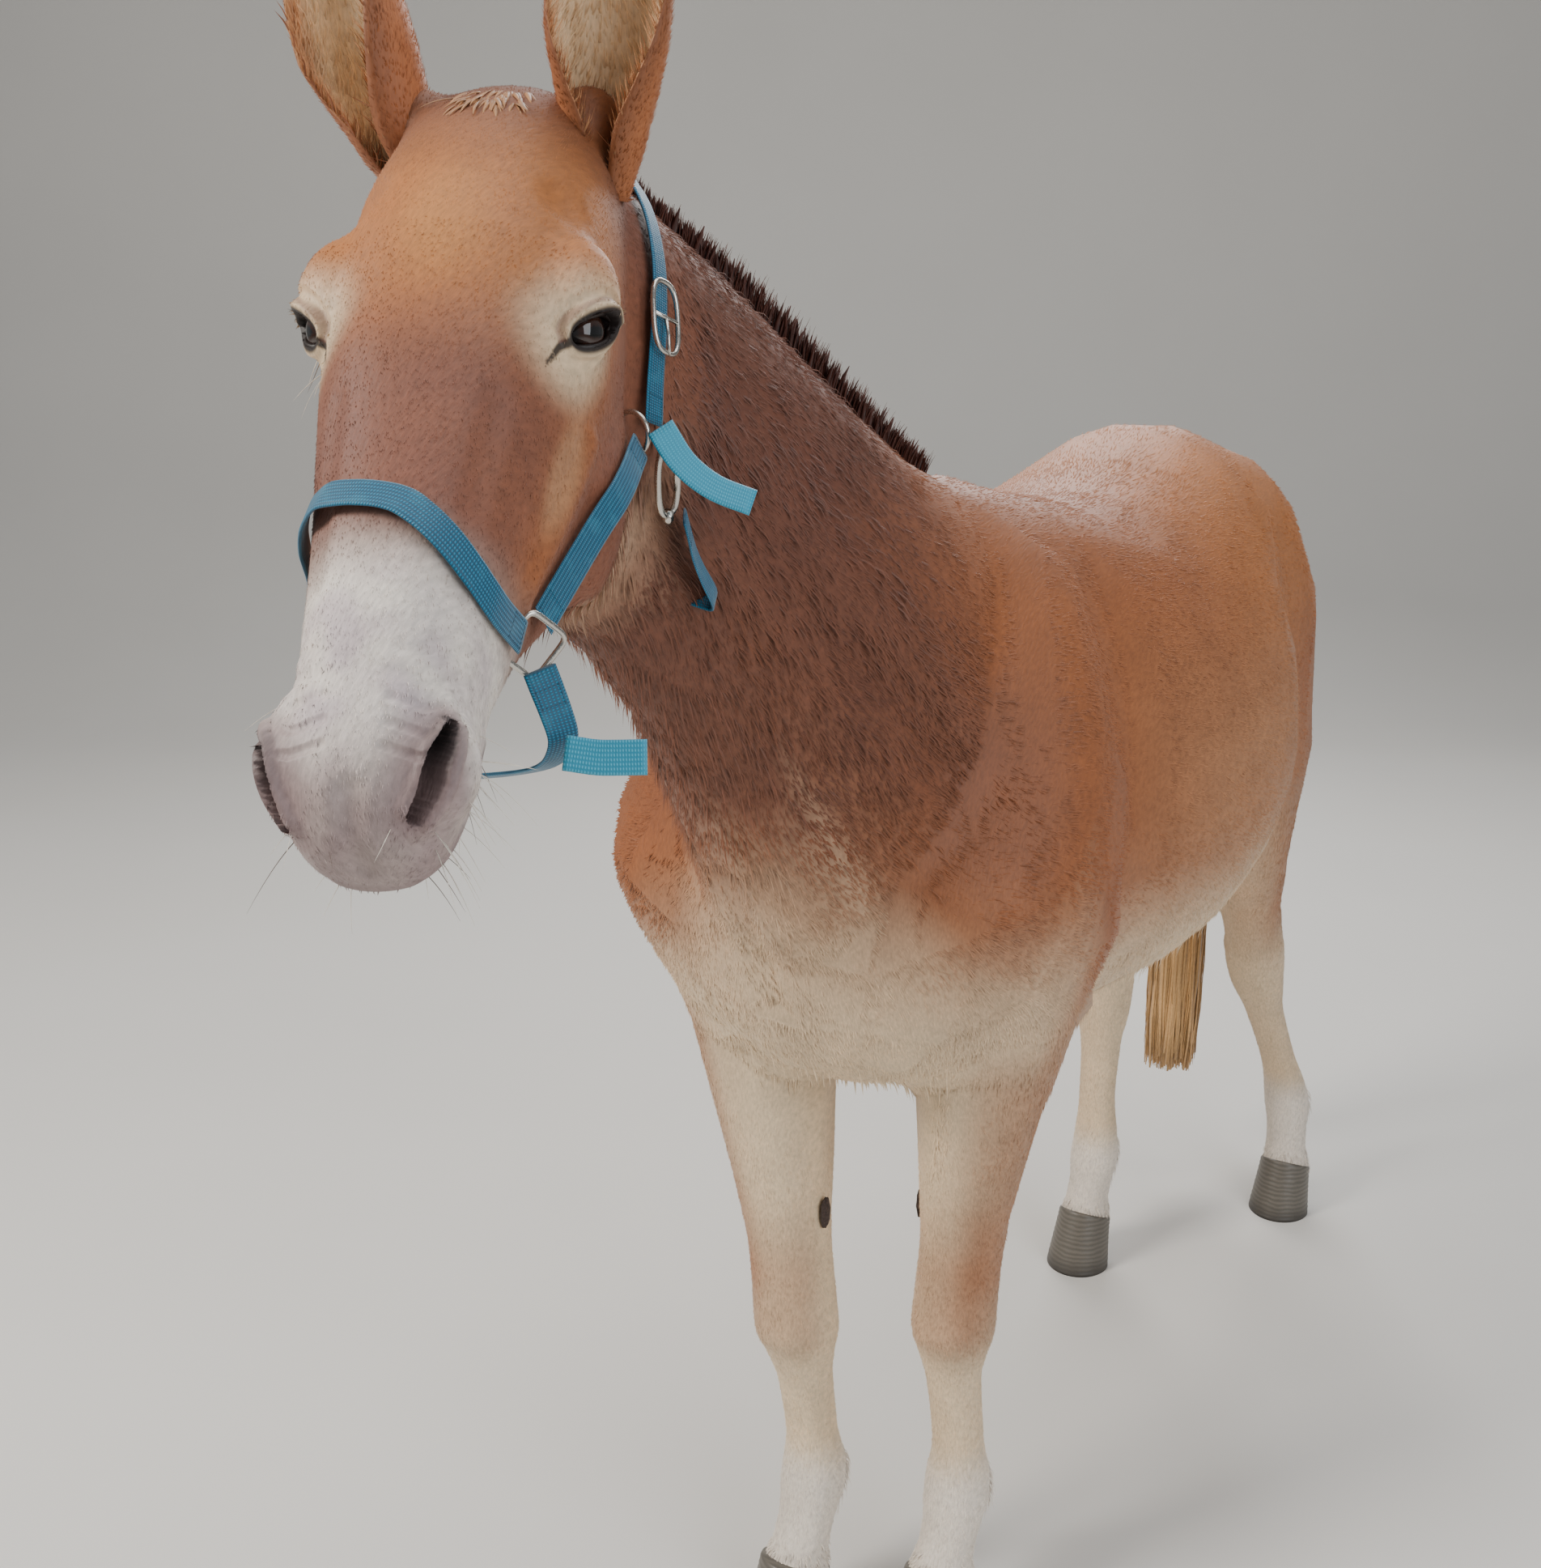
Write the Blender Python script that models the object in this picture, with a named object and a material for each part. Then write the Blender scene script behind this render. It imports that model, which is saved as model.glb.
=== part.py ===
"""A life-size mule, standing at ease and looking towards its left, in a nylon headcollar.

Metres. +Z is up, the mule faces -Y and its left side is +X. Its four hooves stand on z = 0.
"""

import math

import bmesh
import bpy
import numpy as np
from mathutils import Matrix, Vector
from mathutils.bvhtree import BVHTree

# Driving dimensions of the animal.
WITHERS_HEIGHT = 1.50
HEAD_PITCH = -44.0
HEAD_YAW = 27.0
POLL = (-0.040, -1.132, 1.855)
GAP = 0.0003

# How finely the flesh is fused, smoothed and then thinned to facets.
CORE_VOXEL = 0.014
CORE_SMOOTHING_ROUNDS = 24
VOXEL = 0.009
SMOOTHING_ROUNDS = 10
BODY_TRIANGLES = 4300
HEAD_VOXEL = 0.004
HEAD_SMOOTHING_ROUNDS = 10
HEAD_TRIANGLES = 3100
RING_SIDES = 36
STEPS_PER_STATION = 5


def clear_scene():
    for obj in list(bpy.data.objects):
        bpy.data.objects.remove(obj)


def axes_of(pitch, yaw):
    """Side, up and forward directions of a section: pitch 0 looks along -Y and -90 looks down."""
    p, w = math.radians(pitch), math.radians(yaw)
    side = Vector((math.cos(w), math.sin(w), 0))
    up = Vector((-math.sin(w) * math.sin(p), math.cos(w) * math.sin(p), math.cos(p)))
    forward = Vector((math.sin(w) * math.cos(p), -math.cos(w) * math.cos(p), math.sin(p)))
    return side, up, forward


def eased(knots, values, at):
    """Values at the places `at`, on a smooth curve through the knots that never overshoots them."""
    knots, values = np.asarray(knots, float), np.asarray(values, float)
    step = np.diff(knots)
    rise = np.diff(values, axis=0) / step[:, None]
    slope = np.zeros_like(values)
    before, after = rise[:-1], rise[1:]
    same = before * after > 0
    total = np.where(same, before + after, 1)
    slope[1:-1] = np.where(same, 2 * before * after / total, 0)
    slope[0], slope[-1] = rise[0], rise[-1]
    spot = np.clip(np.searchsorted(knots, at, side="right") - 1, 0, len(step) - 1)
    t = ((at - knots[spot]) / step[spot])[:, None]
    h = step[spot][:, None]
    return (
        values[spot] * (1 + 2 * t) * (1 - t) ** 2
        + slope[spot] * h * t * (1 - t) ** 2
        + values[spot + 1] * t * t * (3 - 2 * t)
        + slope[spot + 1] * h * t * t * (t - 1)
    )


def mesh_object(name, points, faces):
    mesh = bpy.data.meshes.new(name)
    mesh.from_pydata([tuple(p) for p in points], [], [tuple(f) for f in faces])
    mesh.update()
    obj = bpy.data.objects.new(name, mesh)
    bpy.context.scene.collection.objects.link(obj)
    return obj


def tube_faces(rings, sides):
    """Quads between successive rings of points, and a cap on each end."""
    faces = []
    for r in range(rings - 1):
        for s in range(sides):
            n = (s + 1) % sides
            faces.append((r * sides + s, r * sides + n, (r + 1) * sides + n, (r + 1) * sides + s))
    faces.append(tuple(reversed(range(sides))))
    faces.append(tuple((rings - 1) * sides + s for s in range(sides)))
    return faces


def loft(name, stations, sides=RING_SIDES, steps=STEPS_PER_STATION):
    """A closed body through sections. A station is its centre x, y, z, its pitch and yaw, then
    half width, rise, drop, and the roundness of its upper and lower half, where 2 is an ellipse."""
    table = np.array(stations, float)
    reach = np.r_[0, np.cumsum(np.linalg.norm(np.diff(table[:, :3], axis=0), axis=1))]
    at = np.concatenate([np.linspace(a, b, steps, endpoint=False) for a, b in zip(reach, reach[1:])])
    rows = eased(reach, table, np.r_[at, reach[-1]])
    points = []
    for x, y, z, pitch, yaw, half_width, rise, drop, upper, lower in rows:
        side, up, _ = axes_of(pitch, yaw)
        for k in range(sides):
            angle = 2 * math.pi * k / sides
            c, s = math.cos(angle), math.sin(angle)
            power = 2 / (upper if s >= 0 else lower)
            out = half_width * math.copysign(abs(c) ** power, c)
            high = (rise if s >= 0 else drop) * math.copysign(abs(s) ** power, s)
            points.append(Vector((x, y, z)) + side * out + up * high)
    obj = mesh_object(name, points, tube_faces(len(rows), sides))
    tidy(obj.data)
    return obj


def tidy(mesh):
    """Faces of a closed mesh turned outwards."""
    bm = bmesh.new()
    bm.from_mesh(mesh)
    bmesh.ops.recalc_face_normals(bm, faces=bm.faces)
    bm.to_mesh(mesh)
    bm.free()


def blob(name, centre, radii, pitch=0.0, yaw=0.0):
    """An ellipsoid with half sizes to its side, up and forward."""
    bm = bmesh.new()
    bmesh.ops.create_icosphere(bm, subdivisions=4, radius=1)
    side, up, forward = axes_of(pitch, yaw)
    turn = Matrix((side * radii[0], up * radii[1], forward * radii[2])).transposed()
    for v in bm.verts:
        v.co = Vector(centre) + turn @ v.co
    bmesh.ops.recalc_face_normals(bm, faces=bm.faces)
    obj = mesh_object(name, [], [])
    bm.to_mesh(obj.data)
    bm.free()
    return obj


# Trunk sections from the breast to the buttocks: y, mid height, half width, rise, drop, roundness up, down.
TRUNK_SIDEWAYS = -0.030
TRUNK = (
    (-0.735, 1.030, 0.060, 0.070, 0.070, 2.0, 2.0),
    (-0.705, 1.020, 0.140, 0.150, 0.130, 2.0, 2.0),
    (-0.640, 1.010, 0.228, 0.270, 0.200, 2.0, 2.1),
    (-0.540, 1.020, 0.252, 0.380, 0.240, 1.9, 2.2),
    (-0.400, 1.050, 0.265, 0.445, 0.285, 1.7, 2.2),
    (-0.220, 1.060, 0.300, 0.405, 0.315, 1.8, 2.2),
    (0.000, 1.050, 0.335, 0.385, 0.320, 2.0, 2.2),
    (0.180, 1.060, 0.330, 0.400, 0.310, 2.1, 2.2),
    (0.330, 1.100, 0.287, 0.405, 0.280, 2.1, 2.1),
    (0.460, 1.160, 0.235, 0.345, 0.250, 2.0, 2.0),
    (0.600, 1.180, 0.195, 0.290, 0.215, 2.0, 2.0),
    (0.700, 1.180, 0.140, 0.220, 0.170, 2.0, 2.0),
    (0.765, 1.170, 0.080, 0.150, 0.110, 2.0, 2.0),
)

# Neck sections from the shoulders to the poll: the crest's x, y, height, then pitch, half width, depth.
NECK = (
    (-0.015, -0.300, 1.470, 33, 0.170, 0.640),
    (-0.015, -0.420, 1.495, 34, 0.165, 0.600),
    (-0.018, -0.550, 1.545, 35, 0.145, 0.500),
    (-0.025, -0.680, 1.620, 35, 0.120, 0.425),
    (-0.033, -0.800, 1.695, 33, 0.104, 0.390),
    (-0.040, -0.920, 1.762, 30, 0.094, 0.370),
    (-0.044, -1.020, 1.808, 26, 0.090, 0.345),
    (-0.044, -1.090, 1.822, 20, 0.080, 0.290),
)

# Foreleg sections from the shoulder blade to inside the hoof: height, x, y, half width, front, back.
FORELEG = (
    (1.430, 0.070, -0.370, 0.050, 0.060, 0.070),
    (1.320, 0.112, -0.420, 0.092, 0.110, 0.150),
    (1.180, 0.154, -0.470, 0.114, 0.165, 0.175),
    (1.050, 0.170, -0.510, 0.116, 0.195, 0.170),
    (0.960, 0.168, -0.500, 0.112, 0.165, 0.165),
    (0.880, 0.155, -0.485, 0.099, 0.130, 0.134),
    (0.800, 0.143, -0.485, 0.087, 0.107, 0.102),
    (0.700, 0.131, -0.490, 0.074, 0.088, 0.081),
    (0.600, 0.122, -0.495, 0.062, 0.070, 0.066),
    (0.530, 0.116, -0.500, 0.055, 0.060, 0.056),
    (0.470, 0.112, -0.502, 0.056, 0.060, 0.053),
    (0.425, 0.110, -0.504, 0.057, 0.060, 0.056),
    (0.385, 0.108, -0.504, 0.047, 0.047, 0.048),
    (0.340, 0.106, -0.504, 0.038, 0.036, 0.044),
    (0.260, 0.104, -0.504, 0.036, 0.033, 0.043),
    (0.210, 0.102, -0.505, 0.044, 0.041, 0.051),
    (0.180, 0.102, -0.508, 0.046, 0.043, 0.054),
    (0.145, 0.102, -0.520, 0.040, 0.040, 0.043),
    (0.110, 0.102, -0.538, 0.040, 0.042, 0.042),
    (0.085, 0.102, -0.550, 0.047, 0.050, 0.047),
    (0.045, 0.102, -0.562, 0.050, 0.056, 0.048),
)

# Hind leg sections from the croup to inside the hoof: height, x, y, half width, front, back.
HIND_LEG = (
    (1.460, 0.090, 0.500, 0.050, 0.060, 0.060),
    (1.410, 0.110, 0.500, 0.085, 0.150, 0.130),
    (1.320, 0.124, 0.510, 0.104, 0.205, 0.190),
    (1.200, 0.138, 0.530, 0.113, 0.230, 0.235),
    (1.050, 0.138, 0.535, 0.110, 0.235, 0.250),
    (0.930, 0.140, 0.525, 0.106, 0.200, 0.220),
    (0.840, 0.135, 0.550, 0.090, 0.165, 0.160),
    (0.740, 0.130, 0.610, 0.072, 0.125, 0.115),
    (0.650, 0.125, 0.668, 0.057, 0.085, 0.085),
    (0.580, 0.123, 0.702, 0.050, 0.074, 0.094),
    (0.530, 0.122, 0.715, 0.054, 0.070, 0.085),
    (0.470, 0.120, 0.715, 0.050, 0.058, 0.063),
    (0.400, 0.120, 0.710, 0.038, 0.038, 0.048),
    (0.300, 0.120, 0.700, 0.035, 0.034, 0.044),
    (0.225, 0.120, 0.700, 0.042, 0.040, 0.050),
    (0.190, 0.120, 0.698, 0.045, 0.044, 0.054),
    (0.150, 0.120, 0.683, 0.040, 0.040, 0.045),
    (0.115, 0.120, 0.663, 0.040, 0.042, 0.043),
    (0.085, 0.120, 0.650, 0.047, 0.050, 0.047),
    (0.045, 0.120, 0.638, 0.050, 0.056, 0.048),
)

# How far each leg's joints stand off from the plain stance, as height, sideways, back.
STANCE = {
    "foreleg_left": ((1.10, -0.018, 0), (0.43, -0.025, 0.040), (0.19, 0, 0.030), (0.0, 0, 0.030)),
    "foreleg_right": ((1.10, -0.056, 0), (0.43, 0.020, -0.060), (0.19, 0.030, -0.045), (0.0, 0.030, -0.045)),
    "hind_leg_left": (
        (1.20, -0.040, 0), (0.90, -0.02, 0.03), (0.55, -0.010, 0.045), (0.19, 0.048, 0.185), (0.0, 0.084, 0.185),
    ),
    "hind_leg_right": (
        (1.20, -0.030, 0), (0.90, -0.005, -0.09), (0.55, 0.030, -0.190), (0.19, 0.047, -0.220), (0.0, 0.043, -0.165),
    ),
}

# Head sections from behind the poll to the lips: along, centre above the face line, half width, rise, drop.
HEAD_SCALE = 1.04
HEAD = (
    (-0.060, -0.085, 0.050, 0.030, 0.060, 2.0, 2.0),
    (-0.020, -0.095, 0.078, 0.068, 0.100, 2.2, 2.0),
    (0.030, -0.105, 0.092, 0.098, 0.130, 2.3, 2.1),
    (0.110, -0.110, 0.099, 0.125, 0.150, 2.5, 2.4),
    (0.190, -0.110, 0.101, 0.135, 0.160, 2.6, 2.6),
    (0.270, -0.110, 0.095, 0.134, 0.156, 2.6, 2.6),
    (0.350, -0.095, 0.082, 0.115, 0.139, 2.5, 2.5),
    (0.430, -0.073, 0.067, 0.088, 0.108, 2.4, 2.2),
    (0.510, -0.066, 0.058, 0.074, 0.074, 2.4, 2.2),
    (0.570, -0.066, 0.057, 0.066, 0.058, 2.3, 2.2),
    (0.610, -0.068, 0.050, 0.054, 0.046, 2.2, 2.1),
    (0.632, -0.072, 0.032, 0.032, 0.028, 2.0, 2.0),
)

# The eye's place, the way it looks and the way its opening runs, in the head's own directions.
EYE = (0.222, 0.083, -0.042)
EYE_OUT = (0.40, 0.82, 0.40)
EYE_LONG = (-0.70, 0.60, -0.38)
EYE_RADIUS = 0.0225
EYE_OPENING = (0.0250, 0.0108)

MOUTH_ABOVE = -0.098

# Halter sizes.
WEBBING_WIDTH = 0.025
WEBBING_THICKNESS = 0.0028
RING_WIRE = 0.0045


def stance_shift(leg, height):
    """Sideways and backward shift of a leg's centre at one height."""
    rows = sorted(STANCE[leg])
    knots = [row[0] for row in rows]
    shift = eased(knots, [row[1:] for row in rows], np.array([min(max(height, knots[0]), knots[-1])]))
    return shift[0]


def leg_loft(leg, sections):
    mirror = 1 if leg.endswith("left") else -1
    stations = []
    for height, x, y, half_width, front, back in sections:
        sideways, backward = stance_shift(leg, height)
        place = (mirror * x + sideways, y + backward, height)
        stations.append((*place, -90, 0, half_width, front, back, 2.1, 2.1))
    return loft(leg, stations, sides=28)


def trunk_loft():
    return loft("trunk", [(TRUNK_SIDEWAYS, y, z, 0, 0, w, rise, drop, a, b) for y, z, w, rise, drop, a, b in TRUNK])


def neck_loft():
    stations = []
    for x, y, z, pitch, half_width, depth in NECK:
        place = Vector((x, y, z)) - axes_of(pitch, 0)[1] * depth / 2
        stations.append((*place, pitch, 0, half_width, depth / 2, depth / 2, 1.9, 2.1))
    return loft("neck", stations)


HEAD_AXES = axes_of(HEAD_PITCH, HEAD_YAW)


def on_head(along, side, above):
    """A point of the head: distance from the poll, to the mule's left, and above the face line."""
    left, up, forward = HEAD_AXES
    return Vector(POLL) + (forward * along + left * side + up * above) * HEAD_SCALE


def head_blob(name, along, side, above, radii):
    return blob(name, on_head(along, side, above), [r * HEAD_SCALE for r in radii], HEAD_PITCH, HEAD_YAW)


def head_lofts():
    stations = []
    for along, above, *sizes, a, b in HEAD:
        sizes = [size * HEAD_SCALE for size in sizes]
        stations.append((*on_head(along, 0, above), HEAD_PITCH, HEAD_YAW, *sizes, a, b))
    made = [loft("skull", stations)]
    for mirror in (1, -1):
        made.append(head_blob("orbit", 0.200, mirror * 0.082, -0.038, (0.034, 0.040, 0.054)))
        made.append(head_blob("ear_base", -0.012, mirror * 0.066, -0.064, (0.030, 0.040, 0.032)))
        made.append(head_blob("cheek", 0.235, mirror * 0.064, -0.180, (0.040, 0.095, 0.110)))
        made.append(head_blob("nostril", 0.573, mirror * 0.037, -0.048, (0.031, 0.038, 0.040)))
    made.append(head_blob("upper_lip", 0.597, 0, -0.075, (0.046, 0.042, 0.040)))
    made.append(head_blob("chin", 0.560, 0, -0.128, (0.036, 0.024, 0.048)))
    return made


def joined(name, pieces):
    """One object that holds the meshes of all the pieces, which are removed."""
    bm = bmesh.new()
    for piece in pieces:
        bm.from_mesh(piece.data)
        bpy.data.objects.remove(piece)
    obj = mesh_object(name, [], [])
    bm.to_mesh(obj.data)
    bm.free()
    return obj


def settle(obj):
    """The object's modifiers applied."""
    bpy.context.view_layer.update()
    graph = bpy.context.evaluated_depsgraph_get()
    mesh = bpy.data.meshes.new_from_object(obj.evaluated_get(graph))
    obj.modifiers.clear()
    obj.data = mesh


def modified(obj, kind, name="step", **settings):
    """The object with one modifier applied."""
    modifier = obj.modifiers.new(name, kind)
    for key, value in settings.items():
        setattr(modifier, key, value)
    settle(obj)
    return obj


def fused(obj, voxel, rounds):
    name = obj.name
    modified(obj, "REMESH", mode="VOXEL", voxel_size=voxel)
    modified(obj, "SMOOTH", factor=0.5, iterations=rounds)
    return largest(islands(obj, name), name)


def triangle_count(obj):
    return sum(len(f.vertices) - 2 for f in obj.data.polygons)


def thin(obj, triangles):
    ratio = min(1, triangles / triangle_count(obj))
    return modified(obj, "DECIMATE", ratio=ratio, use_collapse_triangulate=True)


def less(obj, cutter, keep_cutter=False):
    """The object with the cutter's body taken out of it."""
    before = obj.data.copy()
    for solver in ("MANIFOLD", "EXACT"):
        obj.data = before.copy()
        modified(obj, "BOOLEAN", operation="DIFFERENCE", object=cutter, solver=solver)
        if len(obj.data.vertices) and closed(obj):
            break
    if not keep_cutter:
        bpy.data.objects.remove(cutter)
    return obj


def copied(obj, name):
    twin = bpy.data.objects.new(name, obj.data.copy())
    bpy.context.scene.collection.objects.link(twin)
    return twin


def half_space(centre, normal, reach=(2.0, 2.0, 2.0)):
    """A big block whose one face passes through the centre, lying on the side the normal points to."""
    z = Vector(normal).normalized()
    x = z.orthogonal().normalized()
    y = z.cross(x)
    points = []
    for k in (0, 1):
        for i, j in ((-1, -1), (1, -1), (1, 1), (-1, 1)):
            points.append(Vector(centre) + x * i * reach[0] + y * j * reach[1] + z * k * reach[2])
    obj = mesh_object("block", points, tube_faces(2, 4))
    tidy(obj.data)
    return obj


def slab(centre, normal, reach):
    """A plate as thick as the gap between two nodes, with half sizes across and along."""
    z = Vector(normal).normalized()
    across = Vector((1, 0, 0))
    x = (across - z * across.dot(z)).normalized()
    y = z.cross(x)
    points = []
    for k in (-0.5, 0.5):
        for i, j in ((-1, -1), (1, -1), (1, 1), (-1, 1)):
            points.append(Vector(centre) + x * i * reach[0] + y * j * reach[1] + z * k * GAP)
    obj = mesh_object("slab", points, tube_faces(2, 4))
    tidy(obj.data)
    return obj


def islands(obj, name):
    """The separate closed bodies of an object, as objects of their own, largest first."""
    bm = bmesh.new()
    bm.from_mesh(obj.data)
    bm.verts.ensure_lookup_table()
    seen = set()
    groups = []
    for start in bm.verts:
        if start in seen:
            continue
        seen.add(start)
        group, queue = [], [start]
        while queue:
            v = queue.pop()
            group.append(v)
            for e in v.link_edges:
                w = e.other_vert(v)
                if w not in seen:
                    seen.add(w)
                    queue.append(w)
        groups.append(group)
    groups.sort(key=len, reverse=True)
    made = []
    for n, group in enumerate(groups):
        if len(group) < 8:
            continue
        index = {v: i for i, v in enumerate(group)}
        faces = {f for v in group for f in v.link_faces}
        made.append(mesh_object(f"{name}_{n}", [v.co for v in group], [[index[v] for v in f.verts] for f in faces]))
    bm.free()
    bpy.data.objects.remove(obj)
    return made


def largest(bodies, name):
    """The first of some bodies under the given name, with the others removed."""
    for body in bodies[1:]:
        bpy.data.objects.remove(body)
    bodies[0].name = name
    return bodies[0]


def middle(obj):
    """The middle of an object's bounding box."""
    points = np.array([v.co for v in obj.data.vertices])
    return (points.min(axis=0) + points.max(axis=0)) / 2


def brush(obj, strokes):
    """Presses in or raises a mesh along its normals. A stroke is a path of points, a radius and a height."""
    mesh = obj.data
    count = len(mesh.vertices)
    points = np.empty(count * 3)
    mesh.vertices.foreach_get("co", points)
    points = points.reshape(-1, 3)
    normals = np.empty(count * 3)
    mesh.vertices.foreach_get("normal", normals)
    normals = normals.reshape(-1, 3)
    for path, radius, height in strokes:
        path = [np.array(p, float) for p in path]
        if not path:
            continue
        if len(path) == 1:
            distance = np.linalg.norm(points - path[0], axis=1)
        else:
            distance = np.full(count, 9.0)
            for a, b in zip(path, path[1:]):
                run = b - a
                t = np.clip((points - a) @ run / (run @ run), 0, 1)
                distance = np.minimum(distance, np.linalg.norm(points - a - t[:, None] * run, axis=1))
        weight = np.clip(1 - (distance / radius) ** 2, 0, 1) ** 2
        points = points + normals * (weight * height)[:, None]
    mesh.vertices.foreach_set("co", points.ravel())
    mesh.update()


# Forms of the muscles and bones, as raised or pressed strokes. On the sides they are seen from the
# side: a path of y and height, then the radius and how far they stand out, or in where it is less than 0.
SIDE_STROKES = (
    (((-0.42, 1.43), (-0.56, 1.26), (-0.67, 1.10)), 0.060, -0.009),
    (((-0.36, 1.38), (-0.48, 1.22), (-0.58, 1.07)), 0.085, 0.009),
    (((-0.24, 1.36), (-0.31, 1.15), (-0.37, 0.95)), 0.075, -0.010),
    (((-0.38, 1.12), (-0.43, 1.00)), 0.090, 0.010),
    (((-0.395, 0.87),), 0.045, 0.010),
    (((-0.29, 0.96), (-0.27, 0.82)), 0.060, -0.008),
    (((0.34, 1.27), (0.38, 1.12)), 0.085, -0.016),
    (((0.365, 1.385),), 0.060, 0.012),
    (((0.28, 1.00), (0.38, 0.93)), 0.055, 0.008),
    (((0.66, 1.36), (0.69, 1.15), (0.655, 0.97), (0.62, 0.86)), 0.050, -0.009),
    (((0.50, 1.33), (0.58, 1.22)), 0.120, 0.009),
    (((-0.64, 1.20), (-0.80, 1.36), (-0.97, 1.53)), 0.045, -0.009),
)
# Along the middle of the body: points, radius, height.
MIDDLE_STROKES = (
    (((-0.03, -0.76, 1.12), (-0.03, -0.74, 0.92)), 0.036, -0.013),
    (((-0.03, 0.38, 1.50), (-0.03, 0.62, 1.46)), 0.050, -0.006),
)
# On the legs: height, to the side and back from the leg's middle; made on both sides of each leg.
FORELEG_STROKES = (
    (((0.360, 0.036, 0.012), (0.240, 0.036, 0.012)), 0.014, -0.004),
    (((0.740, 0.070, 0.020), (0.580, 0.055, 0.015)), 0.030, -0.005),
    (((0.425, 0.020, -0.060),), 0.030, 0.004),
    (((0.190, 0.008, 0.055),), 0.020, 0.005),
)
HIND_LEG_STROKES = (
    (((0.720, 0.060, 0.060), (0.640, 0.050, 0.045)), 0.030, -0.012),
    (((0.420, 0.036, 0.012), (0.260, 0.036, 0.012)), 0.014, -0.004),
    (((0.555, 0.055, -0.005),), 0.030, 0.004),
    (((0.190, 0.008, 0.055),), 0.020, 0.005),
)
# On both sides of the head, in its own directions.
HEAD_STROKES = (
    (((0.275, 0.100, -0.100), (0.340, 0.092, -0.095), (0.410, 0.074, -0.085)), 0.020, 0.005),
    (((0.300, 0.100, -0.140), (0.400, 0.075, -0.120)), 0.028, -0.004),
    (((0.330, 0.055, 0.005), (0.470, 0.048, -0.005)), 0.018, -0.003),
    (((0.128, 0.076, -0.005),), 0.030, -0.007),
    (((0.335, 0.080, -0.250), (0.345, 0.085, -0.185)), 0.022, -0.005),
    (((0.505, 0.000, -0.170),), 0.030, -0.008),
    (((0.545, 0.052, -0.020), (0.568, 0.066, -0.014), (0.602, 0.060, -0.020), (0.624, 0.046, -0.040)), 0.013, 0.005),
    (((0.605, 0.000, -0.020), (0.640, 0.000, -0.065)), 0.014, -0.003),
    (((0.505, 0.060, -0.108),), 0.016, -0.004),
)


def sculpt_body(body):
    """The muscles and bones that show under the skin of the trunk, neck and legs."""
    surface = surface_of([body])
    strokes = []
    for path, radius, height in SIDE_STROKES:
        for mirror in (1, -1):
            start = [Vector((1.5 * mirror, y, z)) for y, z in path]
            hits = [surface.ray_cast(p, Vector((-mirror, 0, 0)))[0] for p in start]
            strokes.append(([hit for hit in hits if hit], radius, height))
    for path, radius, height in MIDDLE_STROKES:
        strokes.append(([surface.find_nearest(Vector(p))[0] for p in path], radius, height))
    for leg in STANCE:
        for path, radius, height in FORELEG_STROKES if leg.startswith("fore") else HIND_LEG_STROKES:
            for mirror in (1, -1):
                places = [leg_centre(leg, z) + Vector((mirror * x, y, 0)) for z, x, y in path]
                strokes.append(([surface.find_nearest(p)[0] for p in places], radius, height))
    brush(body, strokes)


def sculpt_head(head):
    surface = surface_of([head])
    strokes = []
    for path, radius, height in HEAD_STROKES:
        for mirror in (1, -1):
            places = [on_head(along, mirror * side, above) for along, side, above in path]
            strokes.append(([surface.find_nearest(p)[0] for p in places], radius, height))
    brush(head, strokes)


def head_direction(along, side, above):
    left, up, forward = HEAD_AXES
    return (forward * along + left * side + up * above).normalized()


def eye_frame(mirror):
    """An eye's centre, then the directions along its opening, up across it, and out of it."""
    centre = on_head(EYE[0], mirror * EYE[1], EYE[2])
    out = head_direction(EYE_OUT[0], mirror * EYE_OUT[1], EYE_OUT[2])
    long = head_direction(EYE_LONG[0], mirror * EYE_LONG[1], EYE_LONG[2])
    long = (long - out * long.dot(out)).normalized()
    across = out.cross(long)
    if across.dot(head_direction(-0.3, 0, 1)) < 0:
        across = -across
    return centre, long, across, out


def ball(name, centre, radius, rings=10, sides=18, out=(0, 0, 1)):
    """A sphere with its poles along `out`."""
    out = Vector(out).normalized()
    x = out.orthogonal().normalized()
    y = out.cross(x)
    points = [Vector(centre) - out * radius]
    for r in range(1, rings):
        a = math.pi * r / rings
        for k in range(sides):
            b = 2 * math.pi * k / sides
            flat = (x * math.cos(b) + y * math.sin(b)) * math.sin(a)
            points.append(Vector(centre) + (flat - out * math.cos(a)) * radius)
    points.append(Vector(centre) + out * radius)
    faces = []
    for k in range(sides):
        n = (k + 1) % sides
        faces.append((0, 1 + n, 1 + k))
        for r in range(rings - 2):
            low, high = 1 + r * sides, 1 + (r + 1) * sides
            faces.append((low + k, low + n, high + n, high + k))
        top = 1 + (rings - 2) * sides
        faces.append((top + k, top + n, len(points) - 1))
    obj = mesh_object(name, points, faces)
    tidy(obj.data)
    return obj


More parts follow.
